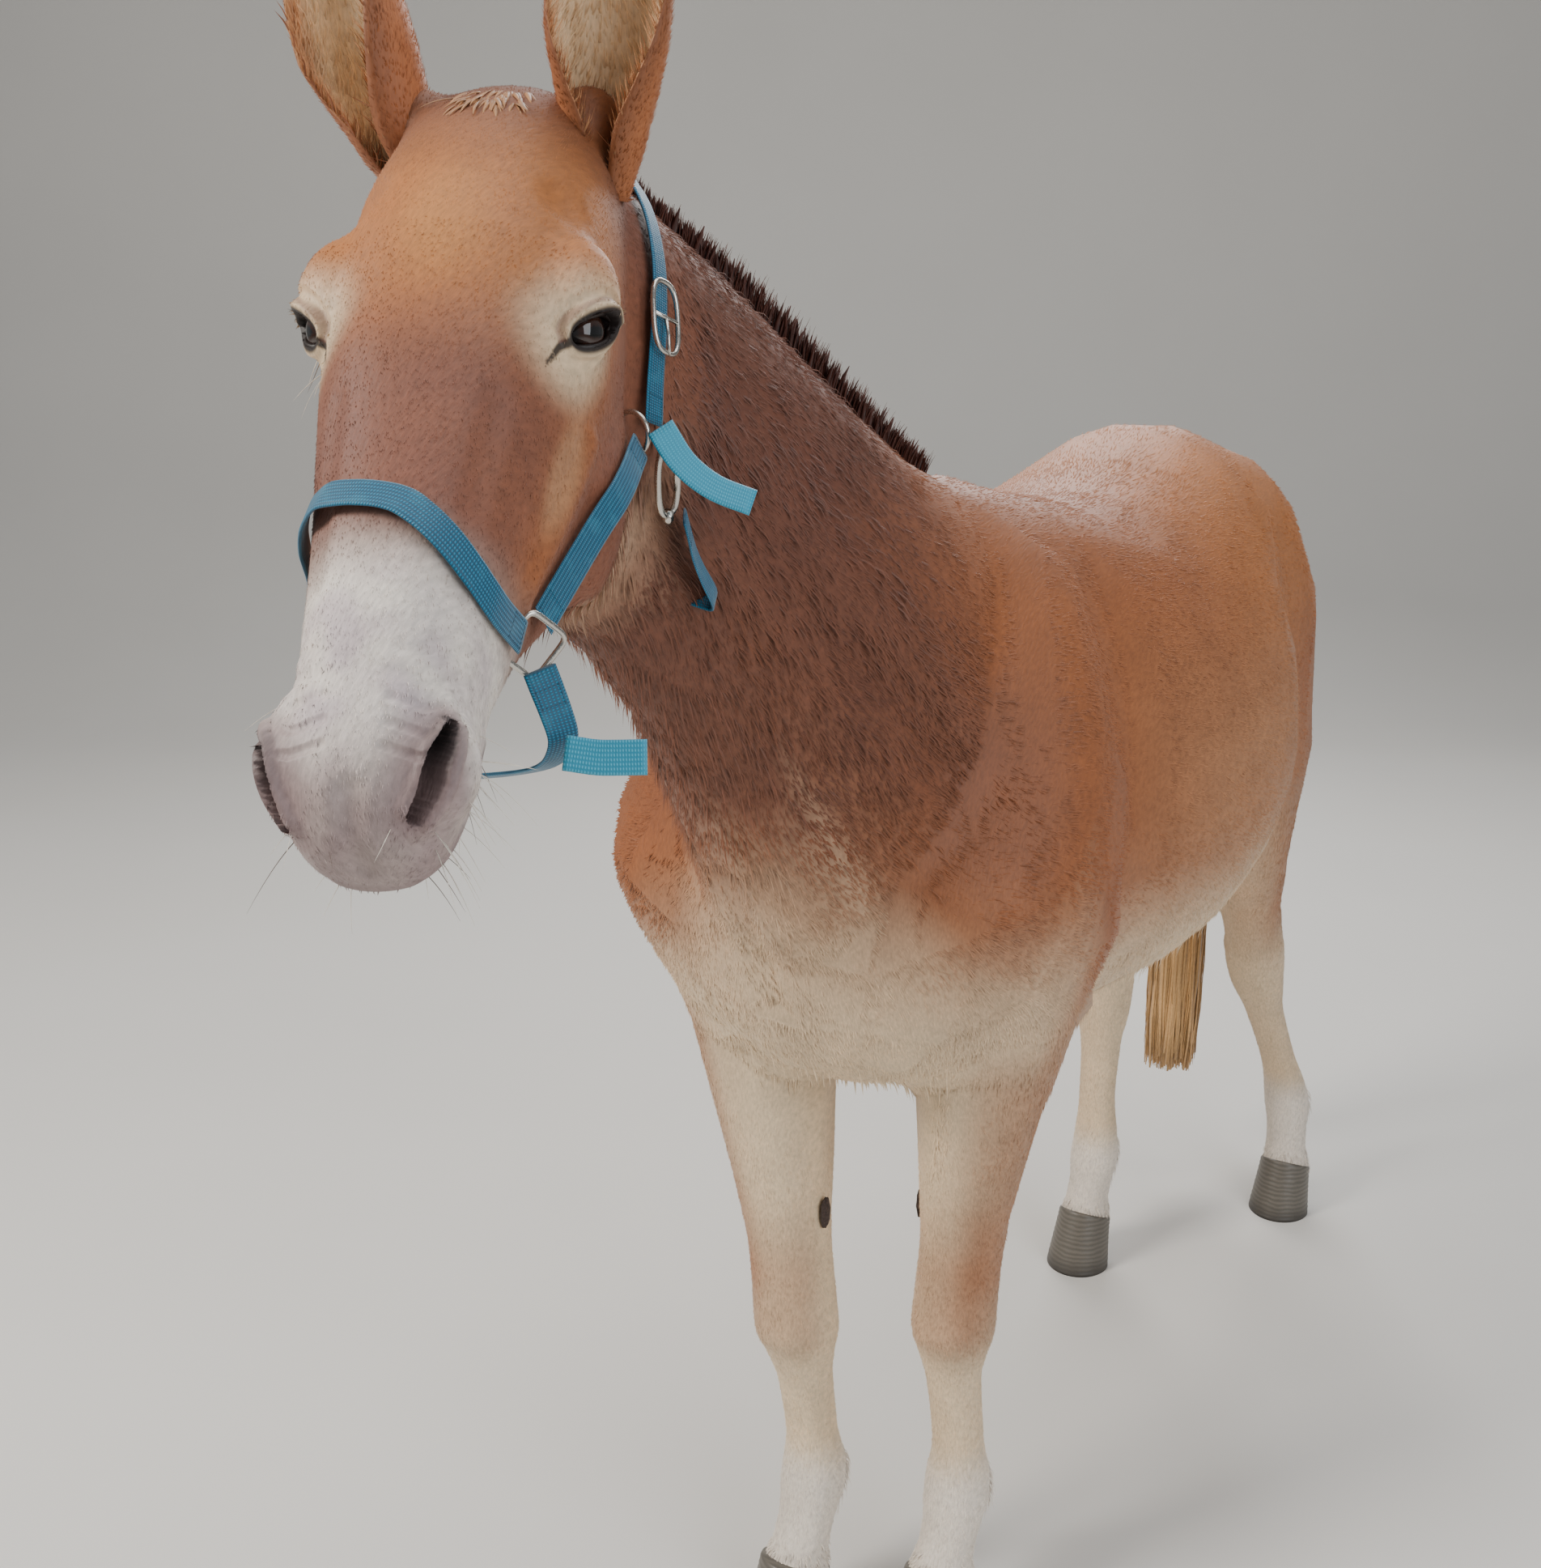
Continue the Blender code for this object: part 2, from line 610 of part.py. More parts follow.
def rod(name, path, radii, sides=12, flat=1.0, flat_way=None):
    """A round rod along a path; `flat` squeezes it across the direction `flat_way`."""
    points = []
    path = [Vector(p) for p in path]
    radii = radii if isinstance(radii, (list, tuple)) else [radii] * len(path)
    side = None
    for i, p in enumerate(path):
        tangent = (path[min(i + 1, len(path) - 1)] - path[max(i - 1, 0)]).normalized()
        if flat_way is not None:
            side = Vector(flat_way)
        elif side is None:
            side = tangent.orthogonal()
        side = (side - tangent * side.dot(tangent)).normalized()
        other = tangent.cross(side)
        for k in range(sides):
            a = 2 * math.pi * k / sides
            points.append(p + (side * math.cos(a) * flat + other * math.sin(a)) * radii[i])
    obj = mesh_object(name, points, tube_faces(len(path), sides))
    tidy(obj.data)
    return obj


def hoop(name, path, radius, sides=8, hint=(0, 0, 1)):
    """A closed ring of wire through a closed path."""
    path = [Vector(p) for p in path]
    count = len(path)
    points = []
    for i, p in enumerate(path):
        tangent = (path[(i + 1) % count] - path[i - 1]).normalized()
        side = Vector(hint)
        side = (side - tangent * side.dot(tangent)).normalized()
        other = tangent.cross(side)
        for k in range(sides):
            a = 2 * math.pi * k / sides
            points.append(p + (side * math.cos(a) + other * math.sin(a)) * radius)
    faces = []
    for i in range(count):
        j = (i + 1) % count
        for k in range(sides):
            n = (k + 1) % sides
            faces.append((i * sides + k, i * sides + n, j * sides + n, j * sides + k))
    obj = mesh_object(name, points, faces)
    tidy(obj.data)
    return obj


def eyelids(mirror):
    """The upper and the lower lid as two swept rolls that meet at the corners of the eye."""
    centre, long, across, out = eye_frame(mirror)
    made = []
    for name, sign, thick, lift in (("upper_lid", 1, 0.0075, 1.0), ("lower_lid", -1, 0.0055, 0.95)):
        path, radii = [], []
        for i in range(13):
            a = math.pi * (i / 12)
            x = math.cos(a) * (EYE_OPENING[0] + 0.002)
            y = sign * math.sin(a) ** 0.8 * (EYE_OPENING[1] + thick * 0.6) * lift
            depth = math.sqrt(max(0.0, (EYE_RADIUS + 0.001) ** 2 - min(x * x + y * y, (EYE_RADIUS * 0.98) ** 2)))
            path.append(centre + long * x + across * y + out * depth)
            radii.append(thick * (0.55 + 0.45 * math.sin(a)))
        made.append(rod(name, path, radii))
    return made


EAR_PROFILE = (
    (0.00, 0.030, 165), (0.10, 0.034, 160), (0.22, 0.042, 140), (0.36, 0.049, 120), (0.52, 0.050, 102),
    (0.66, 0.045, 90), (0.79, 0.035, 76), (0.89, 0.023, 62), (0.96, 0.012, 50), (1.00, 0.004, 45),
)


def ear(mirror, rows=11, columns=8):
    """A long cupped ear: a rolled sheet that opens forwards and ends in a point."""
    base, direction, opening = EARS[mirror]
    base = on_head(*base)
    direction = Vector(direction).normalized()
    opening = Vector(opening)
    opening = (opening - direction * opening.dot(direction)).normalized()
    side = direction.cross(opening)
    knots = [row[0] for row in EAR_PROFILE]
    at = np.linspace(0, 1, rows + 1)
    shape = eased(knots, [row[1:] for row in EAR_PROFILE], at)
    outer, inner = [], []
    for v, (half_width, curl) in zip(at, shape):
        curl = math.radians(curl)
        radius = half_width if curl > math.pi / 2 else half_width / math.sin(curl)
        thick = min(EAR_THICKNESS, radius * 0.5)
        lean = 0.035 * v * v - 0.020 * v
        back = base + direction * (EAR_LENGTH * v) + opening * lean - opening * 0.035 * (1 - 0.6 * v)
        for u in np.linspace(-1, 1, columns + 1):
            a = u * curl
            rim = min(1.0, (1 - abs(u)) * 5 + 0.45)
            for made, r in ((outer, radius), (inner, radius - thick * rim)):
                made.append(back + opening * (radius - r * math.cos(a)) + side * r * math.sin(a))
    count = columns + 1
    faces = []
    half = len(outer)
    for i in range(rows):
        for j in range(columns):
            a, b, c, d = i * count + j, i * count + j + 1, (i + 1) * count + j + 1, (i + 1) * count + j
            faces.append((a, b, c, d))
            faces.append((half + d, half + c, half + b, half + a))
        for j in (0, columns):
            a, b = i * count + j, (i + 1) * count + j
            faces.append((a, b, half + b, half + a))
    for i in (0, rows):
        for j in range(columns):
            a, b = i * count + j, i * count + j + 1
            faces.append((a, b, half + b, half + a))
    obj = mesh_object("ear_left" if mirror > 0 else "ear_right", outer + inner, faces)
    tidy(obj.data)
    return obj


def lock(name, path, widths, thickness, face):
    """A flat tapered lock of hair: a four-sided blade that ends in a point and faces `face`."""
    path = [Vector(p) for p in path]
    points, faces = [], []
    for i, (p, width) in enumerate(zip(path[:-1], widths)):
        tangent = (path[i + 1] - path[max(i - 1, 0)]).normalized()
        normal = Vector(face)
        normal = (normal - tangent * normal.dot(tangent)).normalized()
        across = tangent.cross(normal)
        thin_here = thickness * (0.4 + 0.6 * width / max(widths))
        points += [p + across * width / 2, p + normal * thin_here / 2, p - across * width / 2, p - normal * thin_here / 2]
    rings = len(path) - 1
    for r in range(rings - 1):
        for k in range(4):
            n = (k + 1) % 4
            faces.append((r * 4 + k, r * 4 + n, (r + 1) * 4 + n, (r + 1) * 4 + k))
    points.append(path[-1])
    last = (rings - 1) * 4
    for k in range(4):
        faces.append((last + k, last + (k + 1) % 4, len(points) - 1))
    faces.append((3, 2, 1, 0))
    obj = mesh_object(name, points, faces)
    tidy(obj.data)
    return obj


def fused_locks(core, locks):
    """One closed body made of a core and all its locks by a single union."""
    group = bpy.data.collections.new(core.name + "_locks")
    bpy.context.scene.collection.children.link(group)
    for piece in locks:
        group.objects.link(piece)
    for solver in ("MANIFOLD", "EXACT"):
        twin = copied(core, core.name + "_try")
        settings = dict(operation="UNION", operand_type="COLLECTION", collection=group, solver=solver)
        modified(twin, "BOOLEAN", **settings)
        bodies = islands(twin, core.name)
        if bodies and closed(bodies[0]):
            break
        for body in bodies:
            bpy.data.objects.remove(body)
    name = core.name
    for piece in locks + [core] + bodies[1:]:
        bpy.data.objects.remove(piece)
    bpy.data.collections.remove(group)
    bodies[0].name = name
    return bodies[0]


def closed(obj):
    bm = bmesh.new()
    bm.from_mesh(obj.data)
    whole = len(bm.edges) > 0 and all(len(e.link_faces) == 2 for e in bm.edges)
    bm.free()
    return whole


def grown(obj, name, distance):
    """A copy of an object, a little larger all round."""
    twin = copied(obj, name)
    return modified(twin, "DISPLACE", strength=distance, mid_level=0.0)


def surface_of(objects):
    """A search tree over several meshes."""
    points, faces = [], []
    for obj in objects:
        first = len(points)
        points += [v.co.copy() for v in obj.data.vertices]
        faces += [[first + i for i in p.vertices] for p in obj.data.polygons]
    return BVHTree.FromPolygons(points, faces)


def smooth_path(controls, steps):
    table = np.array([tuple(c) for c in controls], float)
    reach = np.r_[0, np.cumsum(np.linalg.norm(np.diff(table, axis=0), axis=1))]
    return [Vector(p) for p in eased(reach, table, np.linspace(0, reach[-1], steps))]


def strap_frames(controls, surface, inside, steps, lift, tilted, loose):
    """Where webbing lies: its middle line, the way across it and the way it faces, which is away from
    the point `inside`. It bridges hollows and clears the skin over its whole width. Where it is
    `tilted` it leans with the skin, and where it is `loose` it keeps the path's own height."""
    path = smooth_path(controls, steps)
    ways = [(p - inside).normalized() for p in path]
    acrosses, needs = [], []
    for i, (p, away) in enumerate(zip(path, ways)):
        tangent = (path[min(i + 1, steps - 1)] - path[max(i - 1, 0)]).normalized()
        across = tangent.cross(away).normalized()
        acrosses.append(across)
        rises = []
        for k in (-2, -1, 0, 1, 2):
            hit = surface.ray_cast(p + away * 0.15 + across * WEBBING_WIDTH * k / 4, -away)[0]
            rises.append((hit - p).dot(away) if hit else -0.05)
        low, high = max(rises[0], rises[1]), max(rises[3], rises[4])
        if not tilted:
            low = high = max(rises)
        extra = max(0.0, rises[2] - (low + high) / 2)
        pair = [low + extra + lift, high + extra + lift]
        needs.append([max(n, 0.0) for n in pair] if loose else pair)
    heights = [list(pair) for pair in needs]
    for _ in range(steps // 4 + 2):
        ends = [heights[0]] + heights + [heights[-1]]
        heights = [
            [max(n[k], (u[k] + 2 * v[k] + w[k]) / 4) for k in (0, 1)]
            for n, u, v, w in zip(needs, ends, ends[1:], ends[2:])
        ]
    frames = []
    for p, away, across, (low, high) in zip(path, ways, acrosses, heights):
        slant = (across * WEBBING_WIDTH + away * (high - low)).normalized()
        facing = (away - slant * away.dot(slant)).normalized()
        frames.append((p + away * (low + high) / 2, slant, facing))
    return frames


def strap(name, controls, surface, inside, steps=14, lift=0.0016, tilted=False, loose=False):
    """Webbing laid along a path."""
    points = []
    for p, across, away in strap_frames(controls, surface, inside, steps, lift, tilted, loose):
        for a, b in ((-1, 0), (1, 0), (1, 1), (-1, 1)):
            points.append(p + across * a * WEBBING_WIDTH / 2 + away * b * WEBBING_THICKNESS)
    obj = mesh_object(name, points, tube_faces(steps, 4))
    tidy(obj.data)
    return obj


CROWN_END = ((0.084, -1.086, 1.588), (0.100, -1.077, 1.560), (0.122, -1.064, 1.540), (0.148, -1.048, 1.528))
CHIN_END = ((0.168, -1.328, 1.384), (0.192, -1.3135, 1.3805), (0.217, -1.2985, 1.381))

# The two ends of the snap hook on the head.
SNAP = ((0.176, 0.127, -0.210), (0.200, 0.124, -0.266))

# The straps: their paths on the head, the point that they face away from, steps, and how they lie.
STRAPS = {
    "halter_noseband": (
        ((0.405, -0.080, -0.085), (0.408, -0.068, -0.032), (0.412, -0.038, 0.008), (0.420, 0.0, 0.018),
         (0.440, 0.035, 0.010), (0.462, 0.062, -0.030), (0.452, 0.072, -0.085)),
        (0.43, 0.0, -0.075), 22, 0.0016, True, False),
    "halter_chin_strap": (
        ((0.460, 0.078, -0.128), (0.482, 0.088, -0.152), (0.487, 0.066, -0.188), (0.482, 0.0, -0.208),
         (0.452, -0.056, -0.190), (0.420, -0.080, -0.128)),
        (0.36, 0.0, -0.150), 18, 0.0016, False, True),
    "halter_crown_strap": (
        ((0.158, 0.117, -0.194), (0.095, 0.115, -0.162), (0.030, 0.108, -0.138), (-0.036, 0.092, -0.116),
         (-0.088, 0.055, -0.086), (-0.108, 0.0, -0.062), (-0.088, -0.055, -0.086), (-0.036, -0.092, -0.116),
         (0.030, -0.108, -0.138), (0.095, -0.115, -0.162), (0.158, -0.117, -0.194)),
        (0.01, 0.0, -0.180), 30, 0.0024, False, False),
    "halter_throat_strap": (
        ((0.202, 0.116, -0.268), (0.210, 0.112, -0.300), (0.196, 0.080, -0.326), (0.184, 0.0, -0.336),
         (0.192, -0.080, -0.322), (0.200, -0.112, -0.285), (0.186, -0.116, -0.236)),
        (0.19, 0.0, -0.200), 22, 0.0020, False, True),
}
# The square rings where noseband, chin strap and cheek strap meet.
SQUARE_RINGS = {1: (0.447, 0.075, -0.103), -1: (0.407, -0.080, -0.105)}
for mirror, word in ((1, "left"), (-1, "right")):
    STRAPS["halter_cheek_strap_" + word] = (
        ((SQUARE_RINGS[mirror][0] - 0.022, mirror * 0.080, -0.112), (0.345, mirror * 0.100, -0.133), (0.260, mirror * 0.110, -0.158),
         (0.195, mirror * 0.115, -0.185)),
        (0.30, 0.0, -0.190), 12, 0.0016, False, False)
CALLOSITY_HEIGHT = 0.585

# The planes that part the flesh: where, which way they face, and half sizes across and along.
THROAT_CUT = ((-0.050, -1.030, 1.640), (0.10, -0.965, 0.25))
NECK_CUT = ((-0.020, -0.570, 1.230), (0.0, -0.80, 0.60), (0.42, 0.60))
ELBOW_HEIGHT = 0.745
KNEE_HEIGHT = 0.490
STIFLE_HEIGHT = 0.765
HOCK_HEIGHT = 0.590
CORONET = (0.088, 0.45)

# Each ear's base on the head, the way it points and the way it opens.
EAR_LENGTH = 0.290
EAR_THICKNESS = 0.006
EARS = {
    1: ((0.020, 0.078, -0.075), (0.10, 0.02, 1.0), (0.45, -0.90, 0.0)),
    -1: ((0.020, -0.078, -0.075), (-0.34, 0.06, 1.0), (-0.05, -1.0, 0.0)),
}


def leg_sections(leg):
    return FORELEG if leg.startswith("fore") else HIND_LEG


def leg_centre(leg, height):
    """The middle of a leg at one height."""
    table = np.array(leg_sections(leg), float)[::-1]
    x, y = eased(table[:, 0], table[:, 1:3], np.array([height]))[0]
    sideways, backward = stance_shift(leg, height)
    return Vector(((1 if leg.endswith("left") else -1) * x + sideways, y + backward, height))


def body_flesh():
    """Trunk, neck and legs in one skin."""
    core = [trunk_loft(), neck_loft()]
    core += [leg_loft(leg, leg_sections(leg)) for leg in STANCE]
    core = fused(joined("core", core), CORE_VOXEL, CORE_SMOOTHING_ROUNDS)
    pieces = [core, *head_lofts()]
    for leg in STANCE:
        limit = 0.86 if leg.startswith("fore") else 0.80
        pieces.append(leg_loft(leg, [row for row in leg_sections(leg) if row[0] < limit]))
    body = fused(joined("body", pieces), VOXEL, SMOOTHING_ROUNDS)
    sculpt_body(body)
    return body


def head_flesh():
    """Head and the top of the neck in one finer skin."""
    pieces = [neck_loft(), *head_lofts(), *eyelids(1), *eyelids(-1)]
    head = fused(joined("head", pieces), HEAD_VOXEL, HEAD_SMOOTHING_ROUNDS)
    sculpt_head(head)
    return head


def hoof(leg):
    """A hoof from the sloping coronet down to its flat sole."""
    centre = leg_centre(leg, CORONET[0])
    points = []
    rings = ((1.0, 0.0, 0.045, 0.048, 0.042), (0.55, 0.012, 0.049, 0.053, 0.043), (0.0, 0.026, 0.055, 0.059, 0.044))
    for level, forward, half_width, front, back in rings:
        for k in range(24):
            angle = 2 * math.pi * k / 24
            c, s = math.cos(angle), math.sin(angle)
            reach = front if s >= 0 else back
            x = centre.x + half_width * c
            y = centre.y - forward - reach * s
            top = CORONET[0] - GAP + (centre.y - y) * CORONET[1]
            points.append((x, y, max(0, top * level)))
    obj = mesh_object("hoof_" + leg, points, tube_faces(3, 24))
    tidy(obj.data)
    return obj


def carve_face(head):
    """Nostrils and the slit of the mouth."""
    for mirror in (1, -1):
        top = on_head(0.560, mirror * 0.050, -0.014)
        low = on_head(0.606, mirror * 0.040, -0.034)
        inward = head_direction(-0.55, -mirror * 0.75, -0.10)
        middle_point = (top + low) / 2 + inward * 0.004
        long = (low - top).normalized()
        out = -(inward - long * inward.dot(long)).normalized()
        across = long.cross(out)
        turn = Matrix((across * 0.0095, long * 0.029, out * 0.026)).transposed()
        cutter = ball("nostril_cut", (0, 0, 0), 1, 8, 14)
        for v in cutter.data.vertices:
            v.co = middle_point + turn @ v.co
        tidy(cutter.data)
        less(head, cutter)
    path = []
    for k in range(15):
        a = -math.pi / 2 + math.pi * k / 14
        along = 0.530 + 0.092 * math.cos(a) ** 0.85
        path.append(on_head(along, 0.058 * math.sin(a), MOUTH_ABOVE - 0.16 * (0.62 - along)))
    radii = [0.004 + 0.008 * math.cos(-math.pi / 2 + math.pi * k / 14) ** 0.5 for k in range(15)]
    less(head, rod("mouth_cut", path, radii, 8, 0.13, HEAD_AXES[1]))


def add_eyes(head):
    for mirror in (1, -1):
        centre, long, across, out = eye_frame(mirror)
        points = []
        for depth, scale in ((0.006, 0.92), (0.024, 1.0), (0.050, 1.5)):
            for k in range(20):
                a = 2 * math.pi * k / 20
                x = math.cos(a) * EYE_OPENING[0] * scale
                y = math.sin(a) * abs(math.sin(a)) ** 0.25 * EYE_OPENING[1] * scale
                points.append(centre + long * x + across * (y + 0.0015) + out * depth)
        opening = mesh_object("opening", points, tube_faces(3, 20))
        tidy(opening.data)
        less(head, opening)
        less(head, ball("socket", centre, EYE_RADIUS + 2 * GAP, 12, 24, out))
        ball("eye_left" if mirror > 0 else "eye_right", centre, EYE_RADIUS, 8, 16, out)


def crest_point(y):
    table = np.array([row[:3] for row in NECK], float)[::-1]
    x, z = eased(table[:, 1], table[:, [0, 2]], np.array([y]))[0]
    return Vector((x, y, z))


def roached_mane(surface):
    """Short hair along the crest: a low ridge, and two rows of broad locks that overlap and lean."""
    path, radii = [], []
    for i in range(14):
        y = -0.43 - 0.56 * i / 13
        spot = surface.ray_cast(crest_point(y) + Vector((0, 0, 0.3)), Vector((0, 0, -1)))[0]
        path.append(spot + Vector((0, 0, 0.003)))
        radii.append(0.014 + 0.016 * math.sin(math.pi * (i + 1) / 15))
    core = rod("mane", path, radii, 8, 0.55, (1, 0, 0))
    locks = []
    for i in range(15):
        t = i / 14
        y = -0.445 - 0.52 * t
        for row in (-1, 1):
            spot = surface.ray_cast(crest_point(y - 0.009 * row) + Vector((0, 0, 0.3)), Vector((0, 0, -1)))[0]
            spot = spot + Vector((row * 0.004, 0, -0.006))
            tall = 0.044 + 0.014 * math.sin(math.pi * min(1, t * 1.15)) + 0.003 * math.sin(i * 2.4 + row)
            sway = 0.004 * math.sin(i * 1.9)
            bend = 0.006 * math.sin(i * 3.1 + row)
            points = [
                spot,
                spot + Vector((row * 0.003 + sway, bend, tall * 0.45)),
                spot + Vector((row * 0.006 + sway, bend * 2 - 0.006, tall * 0.80)),
                spot + Vector((row * 0.011 + sway, bend * 3 - 0.014, tall)),
            ]
            locks.append(lock("lock", points, (0.046, 0.050, 0.034), 0.010, (1, 0.1 * row, 0)))
    return fused_locks(core, locks)


def poll_tuft(surface):
    """The pale short tuft between the ears."""
    base = on_head(-0.010, 0, 0.0)
    spot = surface.find_nearest(base)[0]
    _, up, forward = HEAD_AXES
    side = HEAD_AXES[0]
    core = ball("poll_tuft", (0, 0, 0), 1, 6, 11, up)
    turn = Matrix((side * 0.032, up * 0.014, forward * 0.026)).transposed() @ Matrix((side, up, forward))
    for v in core.data.vertices:
        v.co = spot - up * 0.004 + turn @ v.co
    locks = []
    for i in range(9):
        t = i / 8 - 0.5
        start = spot + side * t * 0.043 + up * (0.0013 + 0.0007 * i) - forward * 0.006 * math.sin(i * 2.1)
        way = (forward * (0.85 + 0.3 * math.sin(i * 1.7)) + side * t * 0.9 + up * 0.35).normalized()
        long = 0.046 + 0.010 * math.sin(i * 2.7)
        bend = side * 0.005 * math.sin(i * 1.3)
        mid = start + way * long * 0.45 + up * 0.009
        far = start + way * long * 0.80 + up * 0.006 + bend
        tip = start + way * long - up * 0.002 + bend * 2
        locks.append(lock("lock", [start, mid, far, tip], (0.021, 0.020, 0.012), 0.007, up))
    return fused_locks(core, locks)


TAIL = ((-0.030, 0.730, 1.330), (-0.031, 0.800, 1.300), (-0.035, 0.835, 1.200), (-0.045, 0.845, 1.050),
        (-0.055, 0.850, 0.900))
TAIL_FOOT = (-0.060, 0.850, 0)
TAIL_END = 0.235


def tail():
    """The haired dock, and long straight locks that end level."""
    path = smooth_path(TAIL, 12)
    radii = [0.024, 0.032, 0.036, 0.036, 0.034, 0.033, 0.033, 0.033, 0.032, 0.030, 0.026, 0.014]
    core = rod("tail", path, radii, 10)
    locks = []
    for i in range(16):
        angle = 2 * math.pi * i / 16
        ring = 0.55 + 0.35 * (i % 2)
        start = path[4 + (i * 5) % 6]
        out = Vector((math.cos(angle), math.sin(angle), 0))
        width = 0.042 + 0.006 * math.sin(i * 1.3)
        end_z = TAIL_END + 0.035 * math.sin(i * 2.2)
        foot = Vector(TAIL_FOOT)
        points = [
            start + out * 0.016,
            Vector((start.x, start.y, 0)) * 0.5 + foot * 0.5 + out * 0.040 * ring + Vector((0, 0, start.z * 0.62 + 0.12)),
            foot + out * 0.054 * ring + Vector((0, 0, 0.50)),
            foot + out * 0.050 * ring + Vector((0, 0, 0.33)),
            foot + out * 0.036 * ring + Vector((0, 0, end_z)),
        ]
        locks.append(lock("lock", points, (width * 0.9, width * 1.2, width * 1.1, width * 0.8), 0.014, out))
    inner = rod("heart", [path[9], path[11], (-0.059, 0.85, 0.60), (-0.060, 0.85, 0.30)], [0.026, 0.030, 0.030, 0.012], 8)
    return fused_locks(core, locks + [inner])


def clear_of(obj, rooms):
    """The object without what reaches into the given bodies, as one closed body."""
    name = obj.name
    for room in rooms:
        less(obj, room, keep_cutter=True)
    return largest(islands(obj, name), name)


def ring_path(centre, a, b, half_a, half_b, roundness, count):
    """A closed path round a centre: 2 is an ellipse and more is squarer."""
    path = []
    for k in range(count):
        t = 2 * math.pi * (k + 0.5) / count
        c, s = math.cos(t), math.sin(t)
        path.append(
            Vector(centre)
            + Vector(a) * half_a * math.copysign(abs(c) ** (2 / roundness), c)
            + Vector(b) * half_b * math.copysign(abs(s) ** (2 / roundness), s)
        )
    return path


def halter(surface):
    """Webbing, rings, buckle and snap of the headcollar."""
    left, up, forward = HEAD_AXES
    nose, cheek, crown = on_head(0.36, 0, -0.150), on_head(0.30, 0, -0.100), on_head(0.01, 0, -0.180)
    made = []
    for name, (rows, inside, steps, lift, tilted, loose) in STRAPS.items():
        controls = [on_head(*row) for row in rows]
        made.append(strap(name, controls, surface, on_head(*inside), steps, lift, tilted, loose))

    def on_skin(row, inside, lift):
        point = on_head(*row)
        away = (point - inside).normalized()
        spot = surface.ray_cast(point + away * 0.15, -away)[0] or point
        return spot + away * lift, away

    for mirror, word in ((1, "left"), (-1, "right")):
        for part, row, half, squareness in (
            ("square_ring_", SQUARE_RINGS[mirror], 0.019, 6),
            ("cheek_ring_", (0.172, mirror * 0.115, -0.195), 0.017, 2),
        ):
            inside, lift = (nose, 0.0140) if part == "square_ring_" else (cheek, 0.0060)
            spot, away = on_skin(row, inside, lift)
            a = (forward - away * forward.dot(away)).normalized()
            b = away.cross(a)
            if squareness > 2:
                a, b = (a + b).normalized(), (b - a).normalized()
            path = ring_path(spot, a, b, half, half, squareness, 16)
            made.append(hoop("halter_" + part + word, path, RING_WIRE / 2, 6, away))
    spot, away = on_skin((0.085, 0.115, -0.158), crown, 0.0110)
    along_strap = (on_head(0.150, 0.115, -0.190) - on_head(0.030, 0.105, -0.130)).normalized()
    across = away.cross(along_strap).normalized()
    path = ring_path(spot, along_strap, across, 0.030, 0.018, 3, 18)
    made.append(hoop("halter_ring_of_buckle", path, RING_WIRE / 2, 6, away))
    top, low = on_head(*SNAP[0]), on_head(*SNAP[1])
    down, way = (low - top).normalized(), head_direction(0.55, 0.75, 0.35)
    path = ring_path((top + low) / 2, down, way.cross(down).normalized(), (low - top).length / 2, 0.011, 2.5, 16)
    made.append(hoop("halter_ring_of_snap", path, 0.0030, 6, way))
    return made


def free_webbing(name, path, faces, width=WEBBING_WIDTH):
    """A loose end of webbing that stands off in the air."""
    points = []
    path = [Vector(p) for p in path]
    for i, p in enumerate(path):
        tangent = (path[min(i + 1, len(path) - 1)] - path[max(i - 1, 0)]).normalized()
        out = Vector(faces)
        out = (out - tangent * out.dot(tangent)).normalized()
        across = tangent.cross(out)
        for a, b in ((-1, -1), (1, -1), (1, 1), (-1, 1)):
            points.append(p + across * a * width / 2 + out * b * WEBBING_THICKNESS / 2)
    obj = mesh_object(name, points, tube_faces(len(path), 4))
    tidy(obj.data)
    return obj


def main():
    clear_scene()
    head = thin(head_flesh(), HEAD_TRIANGLES)
    body = thin(body_flesh(), BODY_TRIANGLES)
    tree = surface_of([head, body])
    centre, normal = THROAT_CUT
    normal = Vector(normal).normalized()
    less(body, half_space(Vector(centre) - normal * GAP / 2, normal))
    less(head, half_space(Vector(centre) + normal * GAP / 2, -normal))
    rooms = [grown(head, "head_room", GAP), grown(body, "body_room", GAP)]
    part_body(body)
    carve_face(head)
    add_eyes(head)
    largest(islands(head, "head"), "head")
    hair = [clear_of(piece, rooms) for piece in (roached_mane(tree), poll_tuft(tree), tail())]
    ears = [clear_of(ear(mirror), rooms) for mirror in (1, -1)]
    rooms += [grown(piece, "soft_room", GAP) for piece in hair + ears]
    pieces = halter(tree)
    pieces.append(free_webbing("halter_crown_end", CROWN_END, (0.5, -0.6, 0.6)))
    pieces.append(free_webbing("halter_chin_end", CHIN_END, (0.5, -0.8, 0.3)))
    pieces.sort(key=lambda piece: "ring" not in piece.name)
    for piece in pieces:
        piece = clear_of(piece, rooms)
        rooms.append(grown(piece, "halter_room", GAP))
    for side, leg in ((1, "foreleg_left"), (-1, "foreleg_right")):
        centre = leg_centre(leg, CALLOSITY_HEIGHT)
        place = centre + Vector((-side * 0.056, -0.008, 0))
        piece = ball("callosity_" + leg, (0, 0, 0), 1, 6, 10)
        for v in piece.data.vertices:
            v.co = place + Vector((v.co.x * 0.009, v.co.y * 0.011, v.co.z * 0.024))
        clear_of(piece, rooms[:2])
    for room in rooms:
        bpy.data.objects.remove(room)
    for obj in bpy.data.objects:
        finish(obj)
    stand_in_frame()


